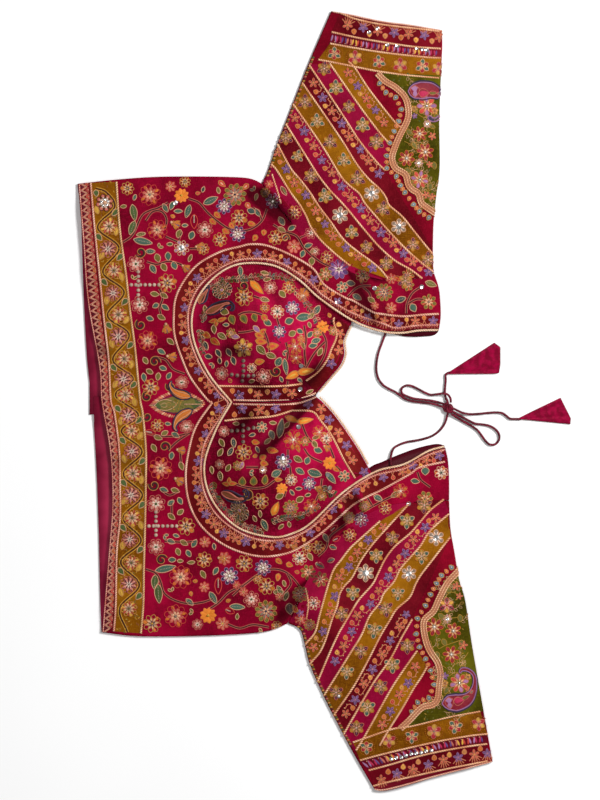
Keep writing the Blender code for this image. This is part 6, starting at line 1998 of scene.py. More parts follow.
CUP_MOTIFS = {
    "right": {
        "blooms": {
            "gold": ((244.4, 297.9, 8.5), (288.7, 288, 7), (265, 308.5, 5)),
            "yellow": ((243.8, 348.5, 9.5),),
            "star": ((279.4, 332, 7.5), (292.5, 308.5, 7)),
            "pale": ((277.5, 312.5, 7),),
            "rose": ((270.5, 288, 6.5), (221.9, 373.5, 7.5), (263.8, 376.8, 7.5)),
            "lacy": ((295, 347, 9), (296, 358, 6), (303, 296, 7)),
            "blossom": ((322.5, 327.3, 6.5),),
            "olive": ((317, 333, 5), (333, 331, 5), (231.5, 333.5, 4.5)),
            "small_coral": ((301, 339, 4.5),),
        },
        "leaves": {
            "teal": ((240.5, 271.8, 11, 5, 84), (268, 323.5, 9, 6, 30), (289.4, 321.6, 9, 7, -20),
                     (304, 317.4, 16, 8, -10), (317, 310, 11, 6, -60), (300, 331.8, 7, 5, 30),
                     (310, 334.8, 8, 5, -50), (316, 341, 10, 6, -20), (313, 346, 9, 5, -10),
                     (285.6, 367, 17, 5, 82), (278.8, 362, 10, 7, -60)),
            "deep_teal": ((206, 346, 10, 5, 70), (208.8, 356.6, 8, 5, 10), (218.8, 353.5, 9, 5, 60),
                     (229.4, 352.9, 9, 5, 60), (233.8, 361, 9, 5, 70), (220, 361, 7, 4, 80)),
            "olive": ((225, 312.3, 9, 7, 20), (214.4, 329.8, 9, 5, 80), (222.5, 336.6, 10, 6, 30),
                      (261.3, 350.4, 12, 7, 45), (271.3, 356, 11, 6, 20), (265, 300.4, 10, 5, 15),
                      (282.5, 294.7, 9, 6, 50), (292.5, 334, 8, 6, -30), (303, 346, 8, 4, 70),
                      (320, 352, 9, 5, -60), (265, 273.4, 9, 4, 15), (267.5, 280, 8, 4, -10),
                      (311, 316, 8, 5, -40), (205.5, 310, 9, 4, 80)),
            "lilac": ((235.6, 337, 9, 5, 10), (256.9, 329.8, 9, 5, 45)),
        },
        "drops": {
            "olive": ((232.5, 320.4, 10, 7, 70), (244.4, 319.8, 10, 7, 60), (255, 318.5, 9, 6, 70)),
            "orange": ((265, 319, 9, 6, 60), (207, 335.5, 9, 6, 30), (215.6, 342, 11, 6, 35),
                       (263.4, 332, 7, 5, -40), (260, 336, 10, 6, 20), (261.5, 342, 12, 7, 8),
                       (273, 346.6, 12, 7, -8), (260, 362, 10, 6, -10), (213.5, 321.5, 9, 4, 170),
                       (222.5, 320, 10, 4, -20), (216.5, 324, 6, 4, 90)),
            "bright_orange": ((257, 288, 19, 7, 45), (292.5, 375.5, 15, 7, 155), (306, 371.5, 18, 7, -10)),
        },
        "tulips": ((301, 338.5, 6, 90), (303, 294, 8, -60)),
        "curls": ((276, 371.3, 5), (243.5, 286.5, 5)),
        "stems": (((238.8, 316), (243.8, 313.5), (252.5, 312.9), (262.5, 315.4)),
                  ((238.8, 333), (246, 332.5), (253.8, 331)), ((277, 318), (279, 325), (279.5, 328)),
                  ((264, 331), (267, 338), (269, 346), (270, 354)), ((254, 297), (260, 299), (266, 300)),
                  ((306, 368), (304.5, 352), (306, 340), (304, 326)),
                  ((306, 368), (312, 357), (318, 349), (325, 342)), ((306, 368), (297, 362)),
                  ((288, 381), (286.5, 392)), ((322, 332), (326, 342), (324, 356), (316, 370)),
                  ((286, 343), (288, 352), (287, 360))),
        "paisleys": (((199.4, 304), (201.4, 299), (204.8, 294), (208, 289.4), (209, 285.4)),
                     ((206.4, 313), (212, 311), (219, 307.6), (225, 304.6), (230, 303.8), (233.6, 306.4),
                      (233.2, 310), (230.6, 310.8))),
        "beads": ((243.8, 361), (243.8, 366), (243.8, 371), (232, 374.7), (237.5, 375.6), (243.3, 376),
                  (248.6, 376), (253.8, 375.8), (242.5, 381)),
        "sequins": ((300.9, 365.6), (300, 389)),
        "medallion": (222.5, 290.5, 10.5, 9.0, -20.0),
        "foliage": (((204, 322), (203, 316), (206, 312)),
                    ((210, 288), (220, 281), (232, 279.5), (246, 279), (262, 276.5), (280, 277),
                     (292, 281)),
                    ((293, 290), (301, 297), (306, 304), (313, 313), (317, 321)),
                    ((200, 330), (202, 342), (203, 352))),
    },
    "left": {
        "blooms": {
            "rose": ((224, 431.3, 6.5), (220, 464, 5)),
            "gold": ((244, 452, 8.5), (260.7, 500.5, 8.5)),
            "lacy": ((293.3, 439.5, 11), (319, 432, 8), (311, 506, 8)),
            "star": ((283.5, 461.3, 8), (309, 483, 7)),
            "pale": ((291.3, 479.3, 7), (326, 438, 6)),
            "blossom": ((329.3, 462.7, 7), (282, 488, 6)),
            "dense": ((290.7, 507, 7.5),),
            "teal": ((344, 476, 6), (262, 427, 5.5)),
            "olive": ((238, 465.3, 5), (305, 441, 5), (322, 496, 5)),
            "mirror": ((263.3, 469.3, 4),),
        },
        "leaves": {
            "teal": ((272, 434.7, 10, 6, 70), (280.7, 428, 20, 7, -80), (276.7, 472.7, 11, 7, -30),
                     (300, 470.7, 10, 6, 30), (314.7, 472.7, 15, 8, 18), (330.7, 477.5, 15, 6, 50),
                     (318, 450, 9, 6, 20), (307.3, 460, 8, 6, -70), (264.7, 524.7, 13, 6, 65)),
            "deep_teal": ((234, 442.7, 10, 5, 80), (231, 451, 10, 5, -60)),
            "olive": ((222, 442.7, 9, 5, 60), (220.7, 452, 9, 5, -60), (298, 458.7, 10, 6, 30),
                      (314.7, 444, 9, 5, 60), (268, 440.7, 9, 4, -40), (280, 495.3, 9, 6, -30),
                      (300, 498.7, 9, 6, -30), (220.7, 476, 10, 5, 80), (228.7, 467.3, 8, 5, -60),
                      (287, 424.7, 8, 4, -50), (316, 437, 8, 4, -20), (212, 470, 8, 4, 80)),
            "lilac": ((241.8, 464.7, 8, 5, -60),),
        },
        "drops": {
            "olive": ((242.7, 480.7, 9, 7, -85), (254, 480.2, 9, 7, -85), (265.3, 478.9, 10, 6, -80)),
            "orange": ((256, 442, 8, 5, 10), (272.7, 450, 12, 6, 10), (263.3, 456.8, 7, 6, -30),
                       (264.5, 463, 8, 6, 10), (278.7, 479, 8, 4, 0), (226.5, 483.5, 8, 4, 190),
                       (233, 483, 9, 4, 0), (229.5, 480, 6, 4, -90), (298, 448, 8, 4, 70),
                       (320, 490, 8, 4, 30), (336, 469, 8, 4, 30)),
            "bright_orange": ((275.5, 508, 15, 7, -65), (292, 419, 15, 6, 20), (305, 420.5, 17, 6, -10)),
        },
        "tulips": ((317, 488, 6, 20), (326, 447, 6, 30)),
        "curls": ((248, 493.5, 5),),
        "stems": (((237.3, 484), (246, 486.5), (256, 487.6), (266, 486), (274.7, 480)),
                  ((246.7, 466.7), (258.7, 466.7)), ((288, 449), (288, 458)), ((290, 466), (291, 474)),
                  ((302, 424), (307, 436), (314, 444)), ((334, 458), (330, 448), (324, 440)),
                  ((322, 478), (320, 490), (316, 500)), ((304, 448), (310, 456), (322, 462)),
                  ((336, 466), (340, 470)), ((286, 490), (284, 496))),
        "paisleys": (((222, 492), (227, 494), (233, 496.6), (238.6, 498.4), (244, 498), (248, 494.6),
                      (247, 490.8), (243.4, 490.4)),),
        "beads": ((232, 430.7), (237.5, 430.4), (243.3, 425), (243.3, 430.5), (243.3, 436), (243.5, 441.5),
                  (248.6, 428.6), (254, 427.6)),
        "sequins": ((298.7, 427.3), (327, 474), (329, 487), (282.5, 457.5)),
        "medallion": (240.0, 510.0, 11.5, 8.0, 55.0),
        "foliage": (((213, 482), (214, 492), (221, 504), (233, 516), (246, 526), (262, 531)),
                    ((272, 521), (284, 517), (296, 516), (306, 513), (318, 506)),
                    ((322, 486), (328, 492), (334, 494))),
    },
}


# ---------------------------------------------------------------- cups
CUP_TRIES = 1100        # places where a filler is tried
CUP_FIELD = {"right": ((200.0, 272.0), (348.0, 392.0)), "left": ((200.0, 412.0), (352.0, 540.0))}
PAISLEY_HALVES = ((0.0, 0.0), (0.06, 3.2), (0.25, 5.4), (0.45, 4.6), (0.65, 2.4), (0.8, 1.2), (0.95, 1.4),
                  (1.0, 0.6))


def loop(work, base, tip, width, line, fill=None):
    """Petal drawn with a fine cord, and perhaps filled."""
    sides = blade(base, tip, width, 1.1, 4)
    if fill:
        work.satin(sides, 0.35, fill)
    work.rim(sides, 0.28, line, 0.7, 1.2)


SPRIG_LENGTH = 4.2      # of its loops
SPRIG_PITCH = 2.9       # from one pair of loops to the next


def sprig(work, points):
    """Lacy foliage: short loops of fine cord on both sides of a stem."""
    stem = spaced(smooth_line(points, 8), SPRIG_PITCH)
    normals = left_normals(stem)
    along = unit(np.gradient(stem, axis=0))
    work.cord(stem, 0.34, "grey", 0.7, 1.4, RIDGE, smooth=False)
    for k in range(len(stem)):
        for sign in (-1.0, 1.0):
            reach = SPRIG_LENGTH * (0.7 + 0.6 * work.random.random())
            lean = along[k] * (0.3 + 0.9 * work.random.random())
            tip = stem[k] + (normals[k] * sign + lean) * reach * 0.8
            line = ("grey", "rose", "olive", "cream")[work.random.integers(4)]
            loop(work, stem[k], tip, 2.2, line, (None, "brown", None, "deep_teal")[work.random.integers(4)])


def lacy_medallion(work, u, v, length, width, angle):
    """Oval of loops in rings round a drop."""
    for share, count, lines in ((1.0, 16, ("grey", "cream")), (0.8, 14, ("olive", "rose")),
                                (0.58, 11, ("cream", "grey")), (0.36, 8, ("gold", "olive"))):
        for k in range(count):
            turn = math.radians(360.0 * (k + 0.5 * share) / count)
            arm = np.array((math.cos(turn) * length, math.sin(turn) * width)) * share
            base, tip = turned([arm * 0.5, arm], angle) + (u, v)
            loop(work, base, tip, 3.0 * share + 0.8, lines[k % 2], ("brown", None, "deep_teal")[k % 3])
    work.base = 0.3
    work.drop(u, v, length * 0.42, width * 0.34, angle, "lilac", "cream")
    work.drop(u, v + width * 0.4, length * 0.34, width * 0.24, angle, "orange")
    work.base = 0.0


def embroider_cup(side, cloths, threads, seed):
    work = Needlework("cup_embroidery_" + side, cloths, threads, seed, CUP_FOLDS[side])
    motifs = CUP_MOTIFS[side]
    seam_cord, edge_cord = CUP_BAND[side]
    seam = np.array(CUP_SEAM_CORD, float)
    top = pattern_of(smooth_line(CUP_TOP[side], 10))[::-1]
    last = np.argmin(np.linalg.norm(top - edge_cord[-1], axis=1))
    edge = top[:last + 1]
    work.ground(seam_cord, seam[:4], "band_ground")
    work.ground(smooth_line(edge_cord, 8), edge, "band_ground", smooth=False)
    for line in motifs["foliage"]:
        sprig(work, line)
    lacy_medallion(work, *motifs["medallion"])
    for spine in motifs["paisleys"]:
        work.body(spine, PAISLEY_HALVES, "brown", "navy")
        work.base += 0.2
        work.body(spine[:5 if len(spine) > 6 else 4], PAISLEY_HALVES, "rust", "rose", 0.56)
        work.base -= 0.2
    scatter_motifs(work, motifs["blooms"], motifs["leaves"], motifs["drops"], (), motifs["tulips"],
                   motifs["curls"], motifs["stems"])
    for u, v in motifs["beads"]:
        work.bead(u, v, 2.0, "grey", 1.5, 8)
        work.bead(u, v, 0.9, "dark_bead", 2.0, 6)
    opening = smooth_line(NECK_INNER, 8)
    places = [place for place in bare_places(work, CUP_TRIES, *CUP_FIELD[side], closed_run(opening))
              if np.linalg.norm(opening - place, axis=1).min() > 5.5]
    fill_gaps(work, [place for place, over in zip(places, work.over(places)) if over])
    work.base = BAND_LIFT
    work.couched(seam_cord, 0.95, "peach_cord")
    work.couched(edge_cord, 0.95, "peach_cord")
    inward = -OUTWARD[side]
    work.couched(seam + (0.0, 2.0 * inward), 0.9, "cream_cord")
    work.couched(offset_line(edge, 2.6 * inward), 0.8, "pink_cord")
    for style, spots in CUP_BAND_BLOOMS[side].items():
        for u, v in spots:
            work.flower(u, v, 5.4, style)
    for k, (u, v, angle) in enumerate(CUP_BAND_BUDS[side]):
        work.bud(u, v, angle, ("orange", "yellow", "gold")[k % 3])
    for u, v in motifs["sequins"]:
        work.sequin(u, v, 2.2)
    work.base = 0.0
    return work.drape()


# ---------------------------------------------------------------- sleeve tables
# Cords between the slanting stripes, from the outer fold to the inner one.
STRIPE_CORDS = {
    "right": (
        ((348, 62), (355, 69), (370, 91.7), (395.8, 124), (402, 127)),
        ((330.8, 65.8), (356.7, 103), (378, 131.5), (388, 143)),
        ((313.3, 71.7), (340, 111.7), (360, 142.5), (376, 162), (385, 171)),
        ((304, 85.8), (340, 138.3), (356, 164), (367.7, 178.6), (380, 190), (386, 198.6),
         (389, 205.7), (402, 217), (414.9, 232.9), (429, 250), (440, 262)),
        ((295.8, 108.3), (323.3, 148.3), (340, 175.7), (349, 185.7), (359, 194), (364.9, 204),
         (376, 217), (386, 228.6), (404.9, 248.6), (420, 262), (436, 274)),
        ((288.3, 128.3), (310.6, 164), (319, 177), (330, 191), (340, 201.4), (347.7, 210),
         (353.4, 217), (370, 237), (380.6, 248.6), (394.9, 261), (410.6, 270), (422, 278.6)),
        ((279, 147.5), (290.6, 168.6), (300, 180), (310, 193), (319, 207), (330, 221.4),
         (340, 235.7), (347.7, 244), (359, 253), (370.6, 261.4), (380.6, 270), (387.7, 279)),
        ((272.5, 165.8), (277, 171), (290, 192), (300, 205.7), (306.3, 217), (310.6, 227),
         (319, 238.6), (329, 248.6), (340.6, 258.6), (350, 266)),
    ),
    "left": (
        ((380, 744), (388.6, 729), (401.4, 708.6), (412.9, 688.6), (421.4, 675.7), (427, 665.7)),
        ((356, 750), (362.9, 738.6), (374, 718.6), (390, 690), (402.9, 670), (417, 650)),
        ((345.7, 730), (357, 710), (372.9, 682.9), (390, 658.6), (401.4, 637), (412, 618.6)),
        ((337, 710), (347, 695.7), (357, 680), (370, 655.7), (380, 635.7), (389.3, 620),
         (396.4, 608.6), (409.3, 597), (415, 584.3), (420.7, 574.3), (430.7, 561.4), (440.7, 548.6),
         (450, 537)),
        ((327, 690), (338.6, 671.4), (350, 652.9), (361.4, 634.3), (369.3, 615.7), (379.3, 602.9),
         (383.6, 592.9), (393.6, 581.4), (400, 568.6), (410, 557), (420, 545.7), (427.9, 532.9),
         (437.9, 522.9), (450, 512.9)),
        ((319.3, 677), (330, 651.4), (338.6, 632.9), (343.6, 624.3), (352, 610), (359.3, 598.6),
         (372, 584.3), (377.9, 572.9), (385, 558.6), (395, 545.7), (410, 532.9), (420, 521.4),
         (430, 510), (443.6, 499.3)),
        ((312.9, 660), (320, 651.4), (325.7, 638.6), (332, 618.6), (337, 605.7), (339.3, 594.3),
         (344.3, 585.7), (352, 577), (360, 561.4), (370, 547), (380.7, 534.3), (395, 518.6),
         (409.3, 503)),
        ((307, 642), (315, 632), (319.3, 615.7), (323.6, 600), (328.6, 582.9), (333.6, 569.3),
         (340.7, 560), (350, 547.9), (360, 538.6), (380, 520.7)),
    ),
}
STRIPE_GROUNDS = ("mustard_ground", "magenta_ground", "dark_ground", "mustard_ground",
                  "magenta_ground", "dark_ground", "mustard_ground")
STRIPE_BLOOMS = {
    "right": {
        "stripe_teal": ((335.8, 88.3), (362.5, 125.8), (317, 121.7), (343.7, 160.8), (297.5, 156.7),
                        (351.5, 232.5), (325, 196.5)),
        "stripe_lilac": ((324.2, 69.2), (348.7, 107.5), (376.2, 142.5), (357.3, 179), (405, 281),
                         (285.8, 138.3), (311, 176.5), (386, 264), (382.7, 209.3), (305, 102.5),
                         (330, 142.5), (366.5, 247.5), (412.7, 245), (428, 260)),
        "stripe_mirror": ((371.5, 194), (398.5, 227), (340, 215.5)),
    },
    "left": {
        "stripe_teal": ((367, 706.8), (421.3, 556), (397.7, 593), (374, 629.7), (392, 664.5),
                        (346.7, 671.4), (376, 555.5), (352.7, 592.5), (406.7, 520.7)),
        "stripe_lilac": ((407, 645.5), (356.4, 727.3), (424, 505), (392, 537.7), (341.4, 613.3),
                         (360.6, 650.6), (380.3, 686.2), (385.4, 608.5), (336, 692)),
        "stripe_mirror": ((435.8, 537.5), (408.6, 573.3), (365.4, 572.7)),
    },
}
# Small blooms of the narrow stripes; buds go between them.
STRIPE_SMALL = {
    "right": (
        (((348, 73.3), (366.2, 99.2), (383.7, 123.3)),
         ((357.5, 86.7), (375.3, 110.8))),
        (((313.3, 83.3), (331.7, 111.7), (349.2, 137.5), (368.3, 161.7)),
         ((322.5, 98.3), (341.7, 124.2), (360.3, 150), (378.8, 174.2))),
        (((295, 118.3), (313.3, 146.7), (331.7, 173.5), (350.8, 198.5), (370, 221.5), (392.8, 243.3),
          (412.8, 262)),
         ((304.2, 131.7), (321.7, 160.8), (341.5, 187), (360.8, 209.2), (380.7, 233), (403.2, 254),
          (428.5, 272))),
        (((277.5, 152.5), (294.2, 183.5), (315.5, 211.5), (333, 237), (358, 257)),
         ((286.5, 169.5), (306, 195.5), (325, 224.5), (346, 248), (372.5, 268))),
    ),
    "left": (
        (((415, 666), (399, 694), (382, 724)), ((408, 682.5), (390, 710.5))),
        (((399, 626), (381.7, 653.7), (363.5, 683), (345.8, 713.3)),
         ((406, 614), (390, 640), (372.3, 668.7), (355, 699.2))),
        (((435.5, 517.5), (413, 539.3), (396.2, 563.5), (378.3, 590.3), (357, 615), (343.6, 645.3)),
         ((425, 527), (405, 553), (388.2, 576.7), (370.3, 603.8), (351.5, 631), (335, 660.6))),
        (((383, 527), (357, 552), (339, 577.5), (330, 613), (313.5, 647)),
         ((368, 539.5), (349, 566.5), (335, 596), (323, 631))),
    ),
}
CUFF_LINES = {
    # cord lines from the cuff's edge towards the head
    "right": (((340, 13.3), (356.7, 20), (386.7, 25.8), (440, 31.7)),
              ((331.7, 32.5), (356.7, 38.3), (390, 44), (415, 47.5), (440.8, 49)),
              ((330, 44), (356.7, 49), (390, 54), (423, 57.5), (440.8, 58.3)),
              ((318.3, 60), (343.3, 65), (376.7, 71.7), (406.7, 75.8), (439, 78.3))),
    "left": (((373, 785.7), (390, 781), (420, 774), (452.9, 767), (487, 760.7)),
             ((368.6, 770), (390, 764), (417, 756), (438.6, 751), (467, 746), (487, 743.6)),
             ((360, 760), (381, 754), (410, 747), (438.6, 740.7), (467, 735.7), (487, 733.6)),
             ((352.9, 742), (390, 729), (410, 725.7), (430, 721), (452.9, 715.7), (480, 711))),
}
CUFF_GROUNDS = ("braid_ground", "dark_ground", "braid_ground", "mustard_ground")
CUFF_BLOOMS = {
    "right": {
        "border_coral": ((347.5, 25.8), (377.5, 31.7), (408.3, 35), (439, 38)),
        "border_purple": ((363, 28.3), (394, 33.3), (424, 35.8)),
        "ring_teal": ((334.2, 54.2), (378.7, 62.5), (422.2, 66.7)),
        "ring_maroon": ((355, 58.3), (400, 65.8), (438, 69)),
    },
    "left": {
        "border_coral": ((381, 779), (412.3, 768.5), (443, 759), (474, 754)),
        "border_purple": ((396.7, 773), (428, 764), (458, 756.7), (487, 753)),
        "ring_teal": ((366.5, 747), (411.6, 736), (455, 726)),
        "ring_maroon": ((388.8, 740), (433.6, 730.7), (478.3, 723.5)),
    },
}
CUFF_BUDS = {
    "right": ((353.8, 32.5), (369.2, 35), (385, 36.7), (400.8, 38.3), (415.8, 40.8), (431.7, 41.7)),
    "left": ((388, 771), (403, 766), (418, 761), (434, 757), (449, 754), (464, 751), (480, 748)),
}
CUFF_SEQUINS = {
    "right": ((369.2, 33.3), (377.5, 29.2), (387.5, 45.8), (397.5, 46.7), (416.7, 49), (422, 50),
              (426.5, 50.8)),
    "left": ((391, 758), (396, 757), (401, 756.5), (406, 755), (411, 753), (416, 752.5), (421, 752),
             (425.5, 750), (431, 749.5), (339, 695.5)),
}
SCALLOPS = {
    "right": ((377, 74), (385, 82), (395.5, 88.3), (405, 98.3), (408.3, 111.7),
              (406.7, 121.7), (400, 135), (395, 146.7), (391.7, 158.3), (395, 168.3), (405, 175),
              (408, 185), (412, 190), (418, 194), (421, 203), (427, 208), (433, 212), (438, 216)),
    "left": ((400, 728), (408.6, 720), (421.4, 707), (431.4, 704.3), (437, 698.6), (439, 682.9),
             (440, 672.9), (437, 661.4), (428.6, 648.6), (424, 633), (424, 620), (433, 611),
             (439, 598), (447, 583), (457, 572), (462, 566)),
}
SCALLOP_DROPS = {
    "right": ((379.2, 84.2), (385.5, 93.3), (395.3, 98.3), (400.8, 110), (398.3, 121.7),
              (393.7, 131.7), (389.2, 143.3), (386.3, 156.3), (386.2, 168.8), (396, 177),
              (400, 186), (404.5, 193), (413, 205), (419, 212), (428.5, 218)),
    "left": ((411.5, 711), (417.3, 701.5), (428.5, 697), (433.5, 684), (430, 670), (425, 658.5),
             (419, 646.5), (415.6, 633.5), (417, 618), (425, 605), (430, 594), (436, 583),
             (441, 575), (451, 567)),
}
OLIVE_END = 711.0       # where the left olive field meets its mustard band
OLIVE_BLOOMS = {
    "right": {
        "field_mixed": ((426.4, 106.4, 10), (419.3, 180, 8.5)),
        "field_coral": ((425, 152.3, 8.5), (419.3, 134.3, 8), (406.4, 158.8, 8)),
        "yellow": ((413.6, 109.3, 3.6), (434.5, 111.4, 3.6)),
        "mirror": ((418.6, 163.6, 4.5), (427, 124.5, 4)),
        "border_purple": ((414.3, 116.5, 3.4),),
        "border_coral": ((432, 136.5, 4.6), (429.5, 165, 3.8), (426, 195, 4), (432, 197, 4)),
    },
    "left": {
        "field_coral": ((434, 626.5, 9), (451, 654, 9), (453, 630.5, 8.5)),
        "field_pale": ((446.5, 605, 8),),
        "field_mixed": ((459, 682.5, 9.5),),
        "yellow": ((444.5, 683, 3.6), (467.5, 676.5, 4)),
        "mirror": ((447, 618.5, 4.5),),
        "border_purple": ((444.5, 675.5, 3.6),),
        "border_coral": ((463, 645, 4.5), (456, 586, 4.5), (459, 596, 3.6), (468, 690, 4)),
    },
}
# The large paisley of each olive field: its spine, half widths and tail, then what fills it.
OLIVE_PAISLEYS = {
    "right": {"spine": ((408, 92), (414, 91.8), (421, 91), (430, 90.8), (439.6, 94.5)),
              "halves": ((0.0, 0.0), (0.05, 4.5), (0.16, 8.0), (0.4, 9.8), (0.7, 8.6), (1.0, 5.5)),
              "tail": ((440, 116), (436.5, 119.6), (431.5, 120), (428, 116.6)),
              "leaves": (("lilac", 414.6, 92.0, 12.0, 9.0, 90.0), ("pink", 423.5, 93.5, 11.0, 9.0, 0.0),
                         ("olive", 433.0, 93.4, 8.5, 4.0, 0.0), ("grey", 438.5, 94.0, 4.0, 3.0, 0.0))},
    "left": {"spine": ((441.6, 703), (450, 702), (458, 702), (467, 698.5), (472.6, 691), (474.6, 682),
                       (473.4, 674.5), (468, 669.8), (461.5, 669), (459.2, 672.5)),
             "halves": ((0.0, 0.0), (0.03, 4.5), (0.09, 8.0), (0.2, 9.4), (0.35, 7.4), (0.48, 4.2),
                        (0.6, 2.2), (0.75, 1.5), (0.93, 1.9), (1.0, 0.9)),
             "tail": None,
             "leaves": (("lilac", 449.0, 702.5, 12.0, 8.5, 80.0), ("pink", 458.5, 700.5, 11.0, 8.5, -10.0),
                        ("olive", 465.5, 697.0, 8.5, 4.0, -25.0), ("grey", 471.4, 691.5, 4.0, 3.0, -50.0))},
}
OLIVE_VINES = {
    "right": (((413, 108), (417, 114), (424, 118), (432, 115)), ((404, 141.7), (410, 145), (416, 150)),
              ((412, 152), (409, 168), (414, 172)), ((427, 188), (430, 197), (436, 200)),
              ((430, 125), (434, 131), (432, 137)), ((412, 170), (417, 165), (425, 163), (436, 168))),
    "left": (((437, 640), (438, 648), (445, 645), (460, 640)), ((430, 640), (437, 660), (446, 668)),
             ((441, 617), (448, 618), (458, 617)), ((444, 598), (450, 592), (458, 594)),
             ((448, 676), (455, 672), (462, 674), (470, 680)), ((452, 665), (462, 660), (468, 652))),
}
OLIVE_LEAVES = {
    "right": ((415, 110, 8, 5, 60), (436, 118, 8, 5, 100), (409, 133, 8, 5, 40), (432, 127, 7, 4, 20),
              (414, 146, 8, 5, 60), (434, 166, 8, 5, 80), (408, 171, 8, 5, 30), (430, 187, 8, 5, 100),
              (413, 184, 7, 4, 60)),
    "left": ((441, 616, 8, 5, 40), (460, 618, 8, 5, 80), (444, 642, 8, 5, 60), (461, 643, 7, 5, 100),
             (437, 655, 8, 5, 80), (463, 668, 8, 5, 40), (446, 690, 8, 5, 120), (448, 590, 8, 5, 40)),
}


# ---------------------------------------------------------------- sleeves
BLOOM_TURN = {"right": -90.0, "left": 90.0}
STRIPE_MARGIN = 9.0     # stripes run on to the inner fold by up to this
FOLD_EDGE = 3.0         # width of the close stitches on the inner fold
CUFF_CORD_SHARE = 0.16  # where the outermost cord lies, from the edge to the first line
BRAID_STATIONS = 42     # along the cuff's braid, with a drop between each two
OLIVE_LIFT = 0.55       # thickness of the olive ground
OLIVE_STITCHES = 150    # small ones on that ground


def run_on(line, distance):
    """The same line, lengthened before its first point."""
    line = np.asarray(line, float)
    return np.vstack([line[0] - unit(line[1] - line[0]) * distance, line])


def embroider_stripes(work, side):
    """The slanting stripes, with their cords and their rows of blooms."""
    cords = [run_on(line, STRIPE_MARGIN if k > 1 else 0.0) for k, line in enumerate(STRIPE_CORDS[side])]
    for one, other, ground in zip(cords, cords[1:], STRIPE_GROUNDS):
        work.ground(one, other, ground)
    head = pattern_of(smooth_line(ARMHOLE[side])[::-1])
    near = distance_to(head, cords[-1]) < 40.0
    cap = head[near]
    if np.linalg.norm(cap[0] - cords[-1][0]) > np.linalg.norm(cap[-1] - cords[-1][0]):
        cap = cap[::-1]
    work.ground(cords[-1], cap, "magenta_ground")
    work.base = BAND_LIFT
    embroider_fold(work, side)
    for line in cords:
        work.couched(line, 1.0, "peach_cord")
    for style, spots in STRIPE_BLOOMS[side].items():
        for u, v in spots:
            work.flower(u, v, 7.6, style, BLOOM_TURN[side])
    for coral, purple in STRIPE_SMALL[side]:
        row = []
        for k in range(max(len(coral), len(purple))):
            row += list(coral[k:k + 1]) + list(purple[k:k + 1])
        for style, spots in (("border_coral", coral), ("border_purple", purple)):
            for u, v in spots:
                work.flower(u, v, 5.0, style, BLOOM_TURN[side])
        embroider_buds(work, row)
    work.base = 0.0


def embroider_fold(work, side):
    """Close little stitches in many colours down the sleeve's inner fold."""
    fold = spaced(pattern_of(smooth_line(SLEEVE_INNER[side])), 2.3)
    colours = ("gold", "olive", "rose", "maroon", "mustard_yellow", "green")
    middle = fold[len(fold) // 2]
    inward = unit(np.array((400.0, middle[1])) - middle)
    for k, place in enumerate(fold[4:-22]):
        base = place + inward * 0.8
        stitch = blade(base, base + inward * FOLD_EDGE, 2.0, 1.0, 4)
        work.satin(stitch, 0.5, colours[k * 5 % len(colours)])


def embroider_buds(work, row):
    """Buds on hooked stems beside a row of small blooms."""
    for k, (one, other) in enumerate(zip(row, row[1:])):
        one, other = np.array(one, float), np.array(other, float)
        middle = (one + other) / 2.0
        along = unit(other - one)
        aside = np.array((-along[1], along[0]))
        angle = heading(aside)
        spot = middle + aside * 2.6
        hook = (one + along * 3.6 - aside * 3.4, middle - aside * 3.6, middle + along * 2.2 - aside * 1.0,
                spot - aside * 1.6)
        work.cord(hook, 0.42, "peach", 0.7, 1.3, RIDGE)
        work.bud(*spot, angle + 60.0, ("orange", "yellow", "coral")[k % 3], 4.6)
        for share in (0.24, 0.5, 0.76):
            u, v = one + (other - one) * share - aside * 4.4
            work.bead(u, v, 0.7, "cream", 0.9, 5)


def embroider_cuff(work, side):
    """Bands along the cuff: small blooms, a braid of drops, and ringed blooms."""
    edge = pattern_of(smooth_line(CUFF[side], 10))
    lines = [edge] + [smooth_line(line, 10) for line in CUFF_LINES[side]]
    for one, other, ground in zip(lines, lines[1:], CUFF_GROUNDS):
        work.ground(one, other, ground, smooth=False)
    work.base = BAND_LIFT
    for line in lines[1:]:
        work.cord(line, 0.95, "peach_cord", 1.0, smooth=False)
    shares = np.linspace(0.0, 1.0, 60)
    outermost = (at_shares(lines[0], shares) * (1.0 - CUFF_CORD_SHARE)
                 + at_shares(lines[1], shares) * CUFF_CORD_SHARE)
    work.cord(outermost, 0.8, "cream_cord", 1.0, smooth=False)
    tilt = -12.0 if side == "right" else 14.0
    turn = BLOOM_TURN[side]
    for style, spots in CUFF_BLOOMS[side].items():
        for u, v in spots:
            if style.startswith("ring"):
                work.flower(u, v, 8.4, style, turn)
                continue
            for lean in (-52.0, -30.0, -10.0, 10.0, 30.0, 52.0):
                tip = np.array((u, v)) + spoke(8.2, turn + lean - tilt)
                root = np.array((u, v)) + spoke(2.6, turn + lean - tilt)
                work.cord(np.array((root, tip)), 0.4, "peach", 0.6, 1.5, RIDGE, smooth=False)
            work.flower(u, v, 5.2, style, turn + 180.0)
    for k, (u, v) in enumerate(CUFF_BUDS[side]):
        work.bud(u, v, -turn, ("orange", "yellow", "gold")[k % 3], 4.8)
    embroider_braid(work, lines[2], lines[3])
    for u, v in CUFF_SEQUINS[side]:
        work.sequin(u, v, 1.9)
    work.base = 0.0


